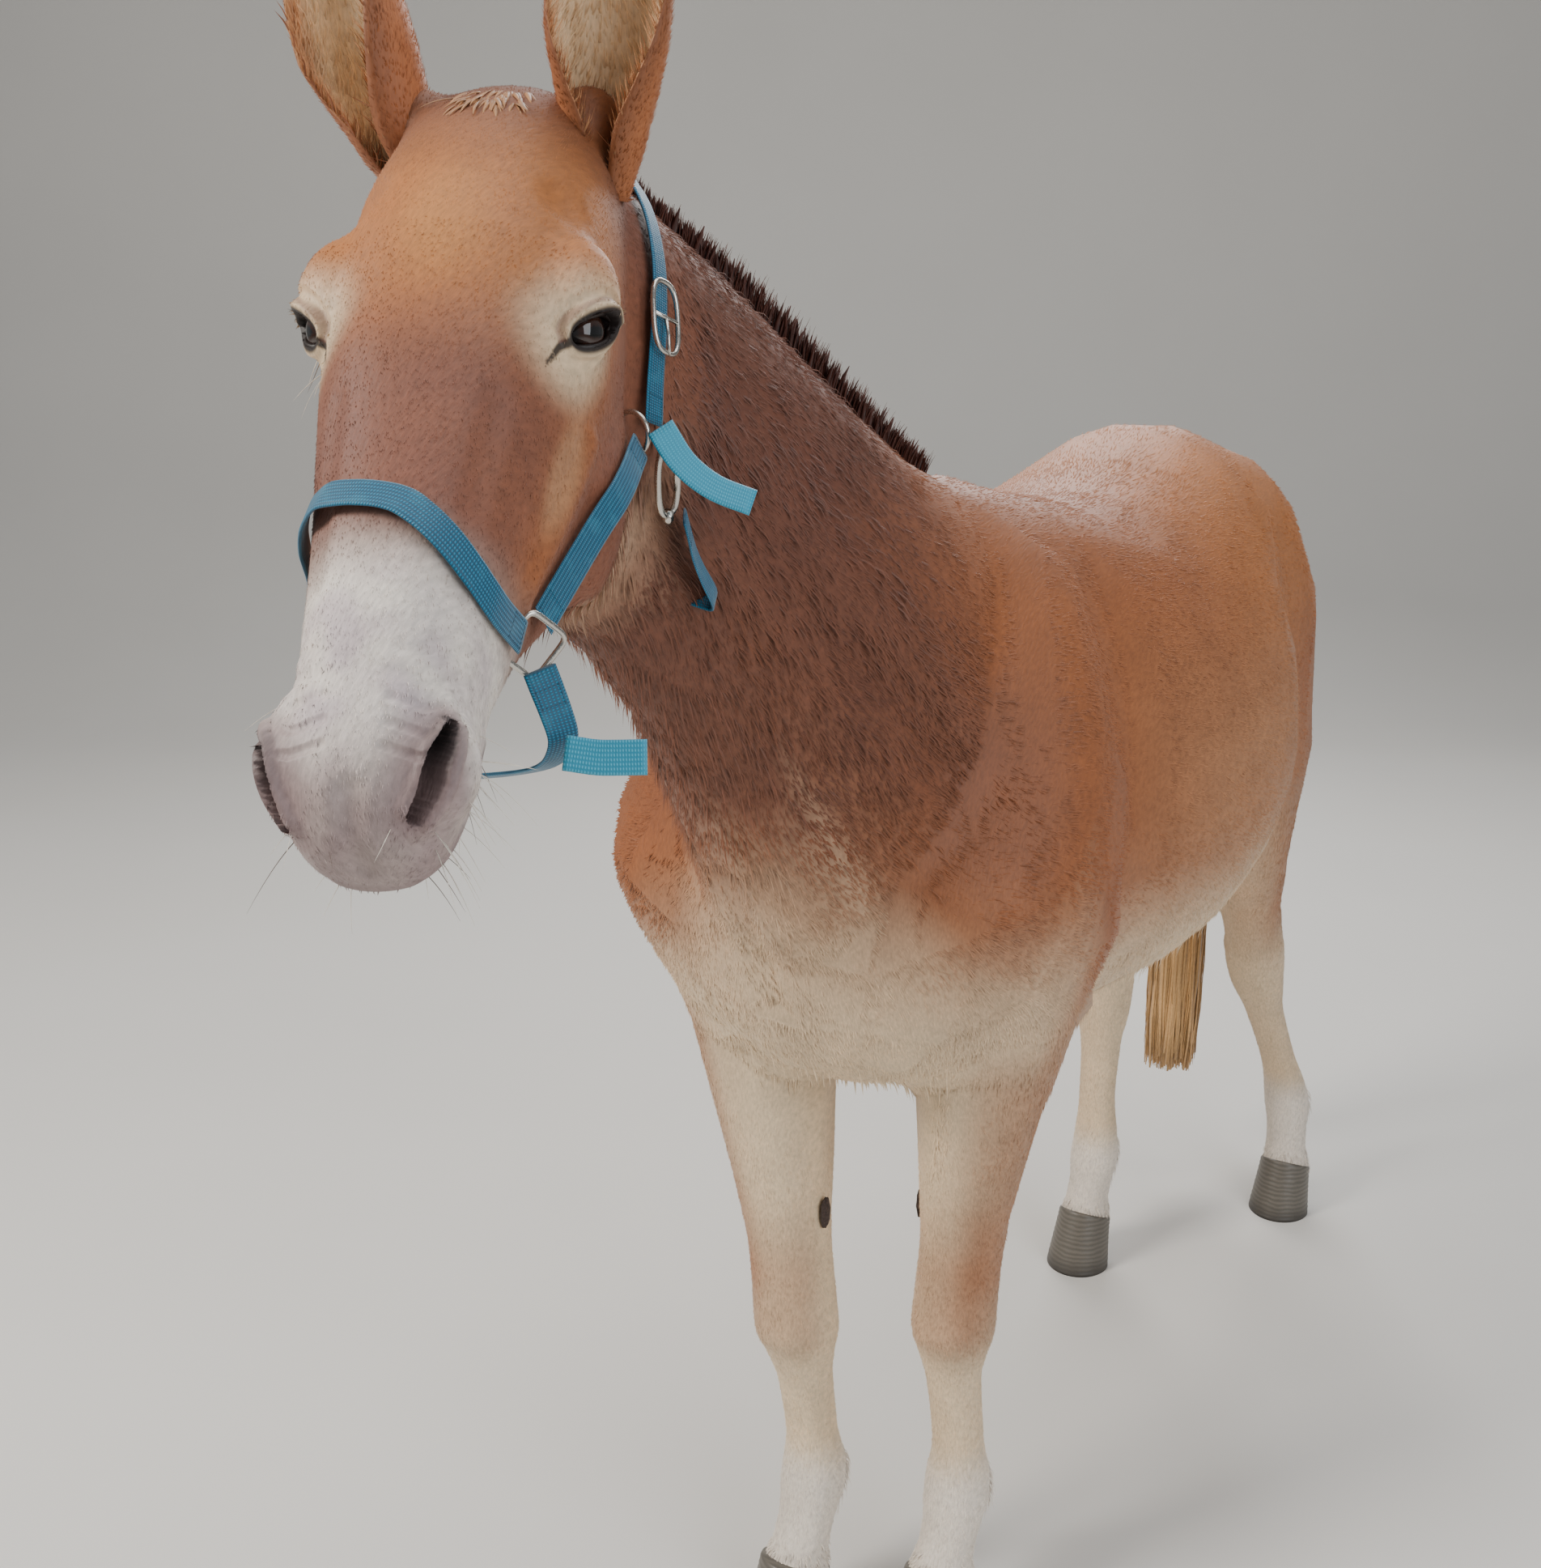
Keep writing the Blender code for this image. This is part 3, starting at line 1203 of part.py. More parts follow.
COLOURS = (
    ("hoof", (0.20, 0.18, 0.15), 0.55),
    ("eye", (0.02, 0.012, 0.008), 0.08),
    ("mane", (0.13, 0.05, 0.025), 0.80),
    ("poll", (0.62, 0.42, 0.25), 0.80),
    ("tail", (0.50, 0.31, 0.13), 0.80),
    ("callosity", (0.05, 0.035, 0.03), 0.70),
    ("halter_square", (0.62, 0.62, 0.62), 0.25),
    ("halter_cheek_ring", (0.62, 0.62, 0.62), 0.25),
    ("halter_ring", (0.62, 0.62, 0.62), 0.25),
    ("halter", (0.012, 0.30, 0.58), 0.60),
    ("", (0.46, 0.19, 0.075), 0.75),
)


def finish(obj):
    """The object's own material, by what the part is."""
    for start, colour, rough in COLOURS:
        if obj.name.startswith(start):
            break
    material = bpy.data.materials.new(obj.name)
    material.use_nodes = True
    shader = material.node_tree.nodes["Principled BSDF"]
    shader.inputs["Base Color"].default_value = (*colour, 1)
    shader.inputs["Roughness"].default_value = rough
    obj.data.materials.clear()
    obj.data.materials.append(material)


def stand_in_frame():
    """The whole animal moved so that the middle of its outline stands on the origin."""
    meshes = list(bpy.data.objects)
    points = np.concatenate([np.array([v.co for v in obj.data.vertices]) for obj in meshes])
    low, high = points.min(axis=0), points.max(axis=0)
    shift = Matrix.Translation((-(low[0] + high[0]) / 2, -(low[1] + high[1]) / 2, -low[2]))
    for obj in meshes:
        obj.data.transform(shift)


def part_body(body):
    less(body, slab(NECK_CUT[0], NECK_CUT[1], NECK_CUT[2]))
    for leg in STANCE:
        front = leg.startswith("fore")
        top = ELBOW_HEIGHT if front else STIFLE_HEIGHT
        low = KNEE_HEIGHT if front else HOCK_HEIGHT
        for height, reach in ((top, (0.110, 0.17)), (low, (0.10, 0.12))):
            less(body, slab(leg_centre(leg, height), (0, 0, 1), reach))
        centre = leg_centre(leg, CORONET[0])
        down = Vector((0, -CORONET[1], -1)).normalized()
        less(body, half_space(centre, down, (0.09, 0.09, 0.15)))
        hoof(leg)
    for piece in islands(body, "flesh"):
        name_piece(piece)


def name_piece(piece):
    x, y, z = middle(piece)
    tall = max(v.co.z for v in piece.data.vertices)
    if tall > 1.60:
        piece.name = "neck"
    elif tall > 1.40:
        piece.name = "trunk"
    else:
        side = "left" if x > 0 else "right"
        leg = "foreleg" if y < 0 else "hind_leg"
        limit = KNEE_HEIGHT if leg == "foreleg" else HOCK_HEIGHT
        piece.name = f"{leg}_{'upper' if tall > limit + 0.05 else 'lower'}_{side}"


main()
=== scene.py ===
"""Dresses the standing mule: its skin and coat, face, ears, hooves, hair and nylon headcollar."""

import math

import bmesh
import bpy
import numpy as np
from bpy.props import FloatProperty, IntProperty, PointerProperty
from mathutils import Matrix, Vector
from mathutils.bvhtree import BVHTree
from mathutils.kdtree import KDTree


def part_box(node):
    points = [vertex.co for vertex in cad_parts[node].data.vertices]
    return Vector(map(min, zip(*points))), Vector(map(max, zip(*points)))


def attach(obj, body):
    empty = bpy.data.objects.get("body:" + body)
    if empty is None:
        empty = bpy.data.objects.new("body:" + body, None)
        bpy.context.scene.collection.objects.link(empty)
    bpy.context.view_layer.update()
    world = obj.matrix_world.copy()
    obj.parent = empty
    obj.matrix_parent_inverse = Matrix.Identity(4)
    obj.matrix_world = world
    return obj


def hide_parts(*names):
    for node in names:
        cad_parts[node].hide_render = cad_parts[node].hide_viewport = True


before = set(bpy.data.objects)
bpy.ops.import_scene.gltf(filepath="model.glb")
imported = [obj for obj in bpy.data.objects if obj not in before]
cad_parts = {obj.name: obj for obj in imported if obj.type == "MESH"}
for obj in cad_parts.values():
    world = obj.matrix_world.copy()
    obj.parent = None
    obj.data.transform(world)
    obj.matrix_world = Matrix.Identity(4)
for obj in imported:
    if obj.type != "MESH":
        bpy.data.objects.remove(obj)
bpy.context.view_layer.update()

bl_info = {
    "name": "Standing mule",
    "version": (1, 0, 0),
    "blender": (4, 5, 0),
    "location": "3D View > Sidebar > Mule",
    "description": "Builds the skin, coat, hair, hooves, eyes and headcollar of a life-size standing mule",
    "category": "Object",
}

FLESH = ["head", "neck", "trunk"] + [
    f"{leg}_{part}_{side}"
    for leg in ("foreleg", "hind_leg") for part in ("upper", "lower") for side in ("left", "right")
]

# How the head is held, in degrees, and where its poll is.
HEAD_PITCH = -44.0
HEAD_YAW = 27.0
POLL = (-0.040, -1.132, 1.855)

# The clearance between the solids of the source.
GAP = 0.0003

# How finely the core of the flesh is fused and smoothed, and how finely a body is lofted.
CORE_VOXEL = 0.014
CORE_SMOOTHING_ROUNDS = 24
RING_SIDES = 36
LEG_SIDES = 28
STEPS_PER_STATION = 5


def axes_of(pitch, yaw):
    """Side, up and forward directions of a section: pitch 0 looks along -Y and -90 looks down."""
    p, w = math.radians(pitch), math.radians(yaw)
    side = Vector((math.cos(w), math.sin(w), 0))
    up = Vector((-math.sin(w) * math.sin(p), math.cos(w) * math.sin(p), math.cos(p)))
    forward = Vector((math.sin(w) * math.cos(p), -math.cos(w) * math.cos(p), math.sin(p)))
    return side, up, forward


def eased(knots, values, at):
    """Values at the places `at`, on a smooth curve through the knots that never overshoots them."""
    knots, values = np.asarray(knots, float), np.asarray(values, float)
    step = np.diff(knots)
    rise = np.diff(values, axis=0) / step[:, None]
    slope = np.zeros_like(values)
    before, after = rise[:-1], rise[1:]
    same = before * after > 0
    total = np.where(same, before + after, 1)
    slope[1:-1] = np.where(same, 2 * before * after / total, 0)
    slope[0], slope[-1] = rise[0], rise[-1]
    spot = np.clip(np.searchsorted(knots, at, side="right") - 1, 0, len(step) - 1)
    t = ((at - knots[spot]) / step[spot])[:, None]
    h = step[spot][:, None]
    return (
        values[spot] * (1 + 2 * t) * (1 - t) ** 2
        + slope[spot] * h * t * (1 - t) ** 2
        + values[spot + 1] * t * t * (3 - 2 * t)
        + slope[spot + 1] * h * t * t * (t - 1)
    )


def linked(name, data):
    """An object in the scene for a mesh, a curve, a light or a camera."""
    obj = bpy.data.objects.new(name, data)
    bpy.context.scene.collection.objects.link(obj)
    return obj


def mesh_object(name, points, faces):
    mesh = bpy.data.meshes.new(name)
    mesh.from_pydata([tuple(p) for p in points], [], [tuple(f) for f in faces])
    mesh.update()
    return linked(name, mesh)


def tidy(mesh):
    """Faces of a closed mesh turned outwards."""
    bm = bmesh.new()
    bm.from_mesh(mesh)
    bmesh.ops.recalc_face_normals(bm, faces=bm.faces)
    bm.to_mesh(mesh)
    bm.free()


def closed_body(name, points, faces):
    obj = mesh_object(name, points, faces)
    tidy(obj.data)
    return obj


def tube_faces(rings, sides, hoop=False):
    """Quads between successive rings of points, then a cap on each end, or for a hoop no caps."""
    faces = []
    for r in range(rings if hoop else rings - 1):
        after = (r + 1) % rings
        for s in range(sides):
            n = (s + 1) % sides
            faces.append((r * sides + s, r * sides + n, after * sides + n, after * sides + s))
    if not hoop:
        faces.append(tuple(reversed(range(sides))))
        faces.append(tuple((rings - 1) * sides + s for s in range(sides)))
    return faces


def loft(name, stations, sides=RING_SIDES, steps=STEPS_PER_STATION):
    """A closed body through sections. A station is its centre x, y, z, its pitch and yaw, then
    half width, rise, drop, and the roundness of its upper and lower half, where 2 is an ellipse."""
    table = np.array(stations, float)
    reach = np.r_[0, np.cumsum(np.linalg.norm(np.diff(table[:, :3], axis=0), axis=1))]
    at = np.concatenate([np.linspace(a, b, steps, endpoint=False) for a, b in zip(reach, reach[1:])])
    rows = eased(reach, table, np.r_[at, reach[-1]])
    points = []
    for x, y, z, pitch, yaw, half_width, rise, drop, upper, lower in rows:
        side, up, _ = axes_of(pitch, yaw)
        for k in range(sides):
            angle = 2 * math.pi * k / sides
            c, s = math.cos(angle), math.sin(angle)
            power = 2 / (upper if s >= 0 else lower)
            out = half_width * math.copysign(abs(c) ** power, c)
            high = (rise if s >= 0 else drop) * math.copysign(abs(s) ** power, s)
            points.append(Vector((x, y, z)) + side * out + up * high)
    return closed_body(name, points, tube_faces(len(rows), sides))


def blob(name, centre, radii, pitch=0.0, yaw=0.0):
    """An ellipsoid with half sizes to its side, up and forward."""
    bm = bmesh.new()
    bmesh.ops.create_icosphere(bm, subdivisions=4, radius=1)
    side, up, forward = axes_of(pitch, yaw)
    turn = Matrix((side * radii[0], up * radii[1], forward * radii[2])).transposed()
    for v in bm.verts:
        v.co = Vector(centre) + turn @ v.co
    bmesh.ops.recalc_face_normals(bm, faces=bm.faces)
    obj = mesh_object(name, [], [])
    bm.to_mesh(obj.data)
    bm.free()
    return obj


# The middle of the body stands this far to the mule's right.
TRUNK_SIDEWAYS = -0.030

# Trunk sections from the breast to the buttocks: y, mid height, half width, rise, drop, roundness up, down.
TRUNK = (
    (-0.735, 1.030, 0.060, 0.070, 0.070, 2.0, 2.0),
    (-0.705, 1.020, 0.140, 0.150, 0.130, 2.0, 2.0),
    (-0.640, 1.010, 0.228, 0.270, 0.200, 2.0, 2.1),
    (-0.540, 1.020, 0.252, 0.380, 0.240, 1.9, 2.2),
    (-0.400, 1.050, 0.265, 0.445, 0.285, 1.7, 2.2),
    (-0.220, 1.060, 0.300, 0.405, 0.315, 1.8, 2.2),
    (0.000, 1.050, 0.335, 0.385, 0.320, 2.0, 2.2),
    (0.180, 1.060, 0.330, 0.400, 0.310, 2.1, 2.2),
    (0.330, 1.100, 0.287, 0.405, 0.280, 2.1, 2.1),
    (0.460, 1.160, 0.235, 0.345, 0.250, 2.0, 2.0),
    (0.600, 1.180, 0.195, 0.290, 0.215, 2.0, 2.0),
    (0.700, 1.180, 0.140, 0.220, 0.170, 2.0, 2.0),
    (0.765, 1.170, 0.080, 0.150, 0.110, 2.0, 2.0),
)

# Neck sections from the shoulders to the poll: the crest's x, y, height, then pitch, half width, depth.
NECK = (
    (-0.015, -0.300, 1.470, 33, 0.170, 0.640),
    (-0.015, -0.420, 1.495, 34, 0.165, 0.600),
    (-0.018, -0.550, 1.545, 35, 0.145, 0.500),
    (-0.025, -0.680, 1.620, 35, 0.120, 0.425),
    (-0.033, -0.800, 1.695, 33, 0.104, 0.390),
    (-0.040, -0.920, 1.762, 30, 0.094, 0.370),
    (-0.044, -1.020, 1.808, 26, 0.090, 0.345),
    (-0.044, -1.090, 1.822, 20, 0.080, 0.290),
)

# Foreleg sections from the shoulder blade to inside the hoof: height, x, y, half width, front, back.
FORELEG = (
    (1.430, 0.070, -0.370, 0.050, 0.060, 0.070),
    (1.320, 0.112, -0.420, 0.092, 0.110, 0.150),
    (1.180, 0.154, -0.470, 0.114, 0.165, 0.175),
    (1.050, 0.170, -0.510, 0.116, 0.195, 0.170),
    (0.960, 0.168, -0.500, 0.112, 0.165, 0.165),
    (0.880, 0.155, -0.485, 0.099, 0.130, 0.134),
    (0.800, 0.143, -0.485, 0.087, 0.107, 0.102),
    (0.700, 0.131, -0.490, 0.074, 0.088, 0.081),
    (0.600, 0.122, -0.495, 0.062, 0.070, 0.066),
    (0.530, 0.116, -0.500, 0.055, 0.060, 0.056),
    (0.470, 0.112, -0.502, 0.056, 0.060, 0.053),
    (0.425, 0.110, -0.504, 0.057, 0.060, 0.056),
    (0.385, 0.108, -0.504, 0.047, 0.047, 0.048),
    (0.340, 0.106, -0.504, 0.038, 0.036, 0.044),
    (0.260, 0.104, -0.504, 0.036, 0.033, 0.043),
    (0.210, 0.102, -0.505, 0.044, 0.041, 0.051),
    (0.180, 0.102, -0.508, 0.046, 0.043, 0.054),
    (0.145, 0.102, -0.520, 0.040, 0.040, 0.043),
    (0.110, 0.102, -0.538, 0.040, 0.042, 0.042),
    (0.085, 0.102, -0.550, 0.047, 0.050, 0.047),
    (0.045, 0.102, -0.562, 0.050, 0.056, 0.048),
)

# Hind leg sections from the croup to inside the hoof: height, x, y, half width, front, back.
HIND_LEG = (
    (1.460, 0.090, 0.500, 0.050, 0.060, 0.060),
    (1.410, 0.110, 0.500, 0.085, 0.150, 0.130),
    (1.320, 0.124, 0.510, 0.104, 0.205, 0.190),
    (1.200, 0.138, 0.530, 0.113, 0.230, 0.235),
    (1.050, 0.138, 0.535, 0.110, 0.235, 0.250),
    (0.930, 0.140, 0.525, 0.106, 0.200, 0.220),
    (0.840, 0.135, 0.550, 0.090, 0.165, 0.160),
    (0.740, 0.130, 0.610, 0.072, 0.125, 0.115),
    (0.650, 0.125, 0.668, 0.057, 0.085, 0.085),
    (0.580, 0.123, 0.702, 0.050, 0.074, 0.094),
    (0.530, 0.122, 0.715, 0.054, 0.070, 0.085),
    (0.470, 0.120, 0.715, 0.050, 0.058, 0.063),
    (0.400, 0.120, 0.710, 0.038, 0.038, 0.048),
    (0.300, 0.120, 0.700, 0.035, 0.034, 0.044),
    (0.225, 0.120, 0.700, 0.042, 0.040, 0.050),
    (0.190, 0.120, 0.698, 0.045, 0.044, 0.054),
    (0.150, 0.120, 0.683, 0.040, 0.040, 0.045),
    (0.115, 0.120, 0.663, 0.040, 0.042, 0.043),
    (0.085, 0.120, 0.650, 0.047, 0.050, 0.047),
    (0.045, 0.120, 0.638, 0.050, 0.056, 0.048),
)

# How far each leg's joints stand off from the plain stance, as height, sideways, back.
STANCE = {
    "foreleg_left": ((1.10, -0.018, 0), (0.43, -0.025, 0.040), (0.19, 0, 0.030), (0.0, 0, 0.030)),
    "foreleg_right": ((1.10, -0.056, 0), (0.43, 0.020, -0.060), (0.19, 0.030, -0.045), (0.0, 0.030, -0.045)),
    "hind_leg_left": (
        (1.20, -0.040, 0), (0.90, -0.02, 0.03), (0.55, -0.010, 0.045),
        (0.19, 0.048, 0.185), (0.0, 0.084, 0.185),
    ),
    "hind_leg_right": (
        (1.20, -0.030, 0), (0.90, -0.005, -0.09), (0.55, 0.030, -0.190),
        (0.19, 0.047, -0.220), (0.0, 0.043, -0.165),
    ),
}

# How much larger the head is made than its measures here.
HEAD_SCALE = 1.04

# Head sections from behind the poll to the lips: along, centre above the face line, half width, rise,
# drop, and the roundness of the upper and lower half.
HEAD = (
    (-0.060, -0.085, 0.050, 0.030, 0.060, 2.0, 2.0),
    (-0.020, -0.095, 0.078, 0.068, 0.100, 2.2, 2.0),
    (0.030, -0.105, 0.092, 0.098, 0.130, 2.3, 2.1),
    (0.110, -0.110, 0.099, 0.125, 0.150, 2.5, 2.4),
    (0.190, -0.110, 0.101, 0.135, 0.160, 2.6, 2.6),
    (0.270, -0.110, 0.095, 0.134, 0.156, 2.6, 2.6),
    (0.350, -0.095, 0.082, 0.115, 0.139, 2.5, 2.5),
    (0.430, -0.073, 0.067, 0.088, 0.108, 2.4, 2.2),
    (0.510, -0.066, 0.058, 0.074, 0.074, 2.4, 2.2),
    (0.570, -0.066, 0.057, 0.066, 0.058, 2.3, 2.2),
    (0.610, -0.068, 0.050, 0.054, 0.046, 2.2, 2.1),
    (0.632, -0.072, 0.032, 0.032, 0.028, 2.0, 2.0),
)

# The eye's place, the way it looks and the way its opening runs, in the head's own directions.
EYE = (0.222, 0.083, -0.042)
EYE_OUT = (0.40, 0.82, 0.40)
EYE_LONG = (-0.70, 0.60, -0.38)
EYE_RADIUS = 0.0225
EYE_OPENING = (0.0250, 0.0108)

# How far the opening's middle lies above the eye's own, and the mouth line above the face line.
EYE_RAISED = 0.0015
MOUTH_ABOVE = -0.098

# Halter sizes.
WEBBING_WIDTH = 0.025
WEBBING_THICKNESS = 0.0028
RING_WIRE = 0.0045
CROWN_END = ((0.084, -1.086, 1.588), (0.100, -1.077, 1.560), (0.122, -1.064, 1.540), (0.148, -1.048, 1.528))
CHIN_END = ((0.168, -1.328, 1.384), (0.192, -1.3135, 1.3805), (0.217, -1.2985, 1.381))

# The two ends of the snap hook on the head.
SNAP = ((0.176, 0.127, -0.210), (0.200, 0.124, -0.266))

# The straps: their paths on the head, the point that they face away from, steps, lift off the skin, whether
# they lean with the skin, and whether they hang loose.
STRAPS = {
    "halter_noseband": (
        ((0.405, -0.080, -0.085), (0.408, -0.068, -0.032), (0.412, -0.038, 0.008), (0.420, 0.0, 0.018),
         (0.440, 0.035, 0.010), (0.462, 0.062, -0.030), (0.452, 0.072, -0.085)),
        (0.43, 0.0, -0.075), 22, 0.0016, True, False),
    "halter_chin_strap": (
        ((0.460, 0.078, -0.128), (0.482, 0.088, -0.152), (0.487, 0.066, -0.188), (0.482, 0.0, -0.208),
         (0.452, -0.056, -0.190), (0.420, -0.080, -0.128)),
        (0.36, 0.0, -0.150), 18, 0.0016, False, True),
    "halter_crown_strap": (
        ((0.158, 0.117, -0.194), (0.095, 0.115, -0.162), (0.030, 0.108, -0.138), (-0.036, 0.092, -0.116),
         (-0.088, 0.055, -0.086), (-0.108, 0.0, -0.062), (-0.088, -0.055, -0.086), (-0.036, -0.092, -0.116),
         (0.030, -0.108, -0.138), (0.095, -0.115, -0.162), (0.158, -0.117, -0.194)),
        (0.01, 0.0, -0.180), 30, 0.0024, False, False),
    "halter_throat_strap": (
        ((0.202, 0.116, -0.268), (0.210, 0.112, -0.300), (0.196, 0.080, -0.326), (0.184, 0.0, -0.336),
         (0.192, -0.080, -0.322), (0.200, -0.112, -0.285), (0.186, -0.116, -0.236)),
        (0.19, 0.0, -0.200), 22, 0.0020, False, True),
}

# The square rings where noseband, chin strap and cheek strap meet.
SQUARE_RINGS = {1: (0.447, 0.075, -0.103), -1: (0.407, -0.080, -0.105)}

for mirror, word in ((1, "left"), (-1, "right")):
    STRAPS["halter_cheek_strap_" + word] = (
        ((SQUARE_RINGS[mirror][0] - 0.022, mirror * 0.080, -0.112), (0.345, mirror * 0.100, -0.133),
         (0.260, mirror * 0.110, -0.158), (0.195, mirror * 0.115, -0.185)),
        (0.30, 0.0, -0.190), 12, 0.0016, False, False)

# The plane that parts the head from the neck: a point of it, and the way it faces.
THROAT_CUT = ((-0.050, -1.030, 1.640), (0.10, -0.965, 0.25))

# The coronet: its height at the leg's middle, and how steeply it rises to the front.
CORONET = (0.088, 0.45)

# A hoof's sections from the ground to the coronet: share of its height, then half width, reach to the
# front and the back, and how far forward it stands.
HOOF_HEIGHTS = (0.0, 0.55, 1.0)
HOOF_SECTIONS = ((0.055, 0.059, 0.044, 0.026), (0.049, 0.053, 0.043, 0.012), (0.045, 0.048, 0.042, 0.0))

EAR_LENGTH = 0.290
EAR_THICKNESS = 0.006

# How far an ear's narrowed foot goes down into the head, as a share of its length.
EAR_FOOT = 0.07

# Each ear's base on the head, the way it points and the way it opens.
EARS = {
    1: ((0.020, 0.078, -0.075), (0.10, 0.02, 1.0), (0.45, -0.90, 0.0)),
    -1: ((0.020, -0.078, -0.075), (-0.34, 0.06, 1.0), (-0.05, -1.0, 0.0)),
}

# From an ear's base to its tip: share of its length, half width, and degrees that each side curls round.
EAR_PROFILE = (
    (0.00, 0.030, 165), (0.10, 0.034, 160), (0.22, 0.042, 140), (0.36, 0.049, 120), (0.52, 0.050, 102),
    (0.66, 0.045, 90), (0.79, 0.035, 76), (0.89, 0.023, 62), (0.96, 0.012, 50), (1.00, 0.004, 45),
)

# The dock's path, the height that the locks are trimmed at, and the switch: heights, its x and its y.
TAIL = ((-0.030, 0.730, 1.330), (-0.031, 0.800, 1.300), (-0.035, 0.835, 1.200), (-0.045, 0.845, 1.050),
        (-0.055, 0.850, 0.900))
TAIL_END = 0.235
SWITCH_HEIGHTS = (0.2, 0.9, 1.05, 1.2, 1.3)
SWITCH_X = (-0.060, -0.055, -0.045, -0.035, -0.031)
SWITCH_Y = (0.850, 0.850, 0.845, 0.835, 0.800)
SWITCH_SPREAD = (0.22, 0.30, 0.50, 0.80, 1.10, 1.30), (0.046, 0.050, 0.052, 0.042, 0.034, 0.028)

# Forms of the muscles and bones, as raised or pressed strokes. On the sides they are seen from the
# side: a path of y and height, then the radius and how far they stand out, or in where it is less than 0.
SIDE_STROKES = (
    (((-0.42, 1.43), (-0.56, 1.26), (-0.67, 1.10)), 0.060, -0.009),
    (((-0.36, 1.38), (-0.48, 1.22), (-0.58, 1.07)), 0.085, 0.009),
    (((-0.24, 1.36), (-0.31, 1.15), (-0.37, 0.95)), 0.075, -0.010),
    (((-0.38, 1.12), (-0.43, 1.00)), 0.090, 0.010),
    (((-0.395, 0.87),), 0.045, 0.010),
    (((-0.29, 0.96), (-0.27, 0.82)), 0.060, -0.008),
    (((0.34, 1.27), (0.38, 1.12)), 0.085, -0.016),
    (((0.365, 1.385),), 0.060, 0.012),
    (((0.28, 1.00), (0.38, 0.93)), 0.055, 0.008),
    (((0.66, 1.36), (0.69, 1.15), (0.655, 0.97), (0.62, 0.86)), 0.050, -0.009),
    (((0.50, 1.33), (0.58, 1.22)), 0.120, 0.009),
    (((-0.64, 1.20), (-0.80, 1.36), (-0.97, 1.53)), 0.045, -0.009),
)

# Along the middle of the body: points, radius, height.
MIDDLE_STROKES = (
    (((-0.03, -0.76, 1.12), (-0.03, -0.74, 0.92)), 0.036, -0.013),
    (((-0.03, 0.38, 1.50), (-0.03, 0.62, 1.46)), 0.050, -0.006),
)

# On the legs: height, to the side and back from the leg's middle; made on both sides of each leg.
FORELEG_STROKES = (
    (((0.360, 0.036, 0.012), (0.240, 0.036, 0.012)), 0.014, -0.004),
    (((0.740, 0.070, 0.020), (0.580, 0.055, 0.015)), 0.030, -0.005),
    (((0.425, 0.020, -0.060),), 0.030, 0.004),
    (((0.190, 0.008, 0.055),), 0.020, 0.005),
)

HIND_LEG_STROKES = (
    (((0.720, 0.060, 0.060), (0.640, 0.050, 0.045)), 0.030, -0.012),
    (((0.420, 0.036, 0.012), (0.260, 0.036, 0.012)), 0.014, -0.004),
    (((0.555, 0.055, -0.005),), 0.030, 0.004),
    (((0.190, 0.008, 0.055),), 0.020, 0.005),
)

# On both sides of the head, in its own directions.
HEAD_STROKES = (
    (((0.275, 0.100, -0.100), (0.340, 0.092, -0.095), (0.410, 0.074, -0.085)), 0.020, 0.005),
    (((0.300, 0.100, -0.140), (0.400, 0.075, -0.120)), 0.028, -0.004),
    (((0.330, 0.055, 0.005), (0.470, 0.048, -0.005)), 0.018, -0.003),
    (((0.128, 0.076, -0.005),), 0.030, -0.007),
    (((0.335, 0.080, -0.250), (0.345, 0.085, -0.185)), 0.022, -0.005),
    (((0.505, 0.000, -0.170),), 0.030, -0.008),
    (((0.545, 0.052, -0.020), (0.568, 0.066, -0.014), (0.602, 0.060, -0.020), (0.624, 0.046, -0.040)),
     0.013, 0.005),
    (((0.605, 0.000, -0.020), (0.640, 0.000, -0.065)), 0.014, -0.003),
    (((0.505, 0.060, -0.108),), 0.016, -0.004),
)


def side_of(leg):
    return 1 if leg.endswith("left") else -1


def stance_shift(leg, height):
    """Sideways and backward shift of a leg's centre at one height."""
    rows = sorted(STANCE[leg])
    knots = [row[0] for row in rows]
    height = min(max(height, knots[0]), knots[-1])
    return eased(knots, [row[1:] for row in rows], np.array([height]))[0]


def leg_loft(leg, sections):
    stations = []
    for height, x, y, half_width, front, back in sections:
        sideways, backward = stance_shift(leg, height)
        place = (side_of(leg) * x + sideways, y + backward, height)
        stations.append((*place, -90, 0, half_width, front, back, 2.1, 2.1))
    return loft(leg, stations, sides=LEG_SIDES)


def trunk_loft():
    return loft("trunk", [(TRUNK_SIDEWAYS, y, z, 0, 0, *sizes) for y, z, *sizes in TRUNK])


def neck_loft():
    stations = []
    for x, y, z, pitch, half_width, depth in NECK:
        place = Vector((x, y, z)) - axes_of(pitch, 0)[1] * depth / 2
        stations.append((*place, pitch, 0, half_width, depth / 2, depth / 2, 1.9, 2.1))
    return loft("neck", stations)


HEAD_AXES = axes_of(HEAD_PITCH, HEAD_YAW)


def on_head(along, side, above):
    """A point of the head: distance from the poll, to the mule's left, and above the face line."""
    left, up, forward = HEAD_AXES
    return Vector(POLL) + (forward * along + left * side + up * above) * HEAD_SCALE


def head_blob(name, along, side, above, radii):
    return blob(name, on_head(along, side, above), [r * HEAD_SCALE for r in radii], HEAD_PITCH, HEAD_YAW)


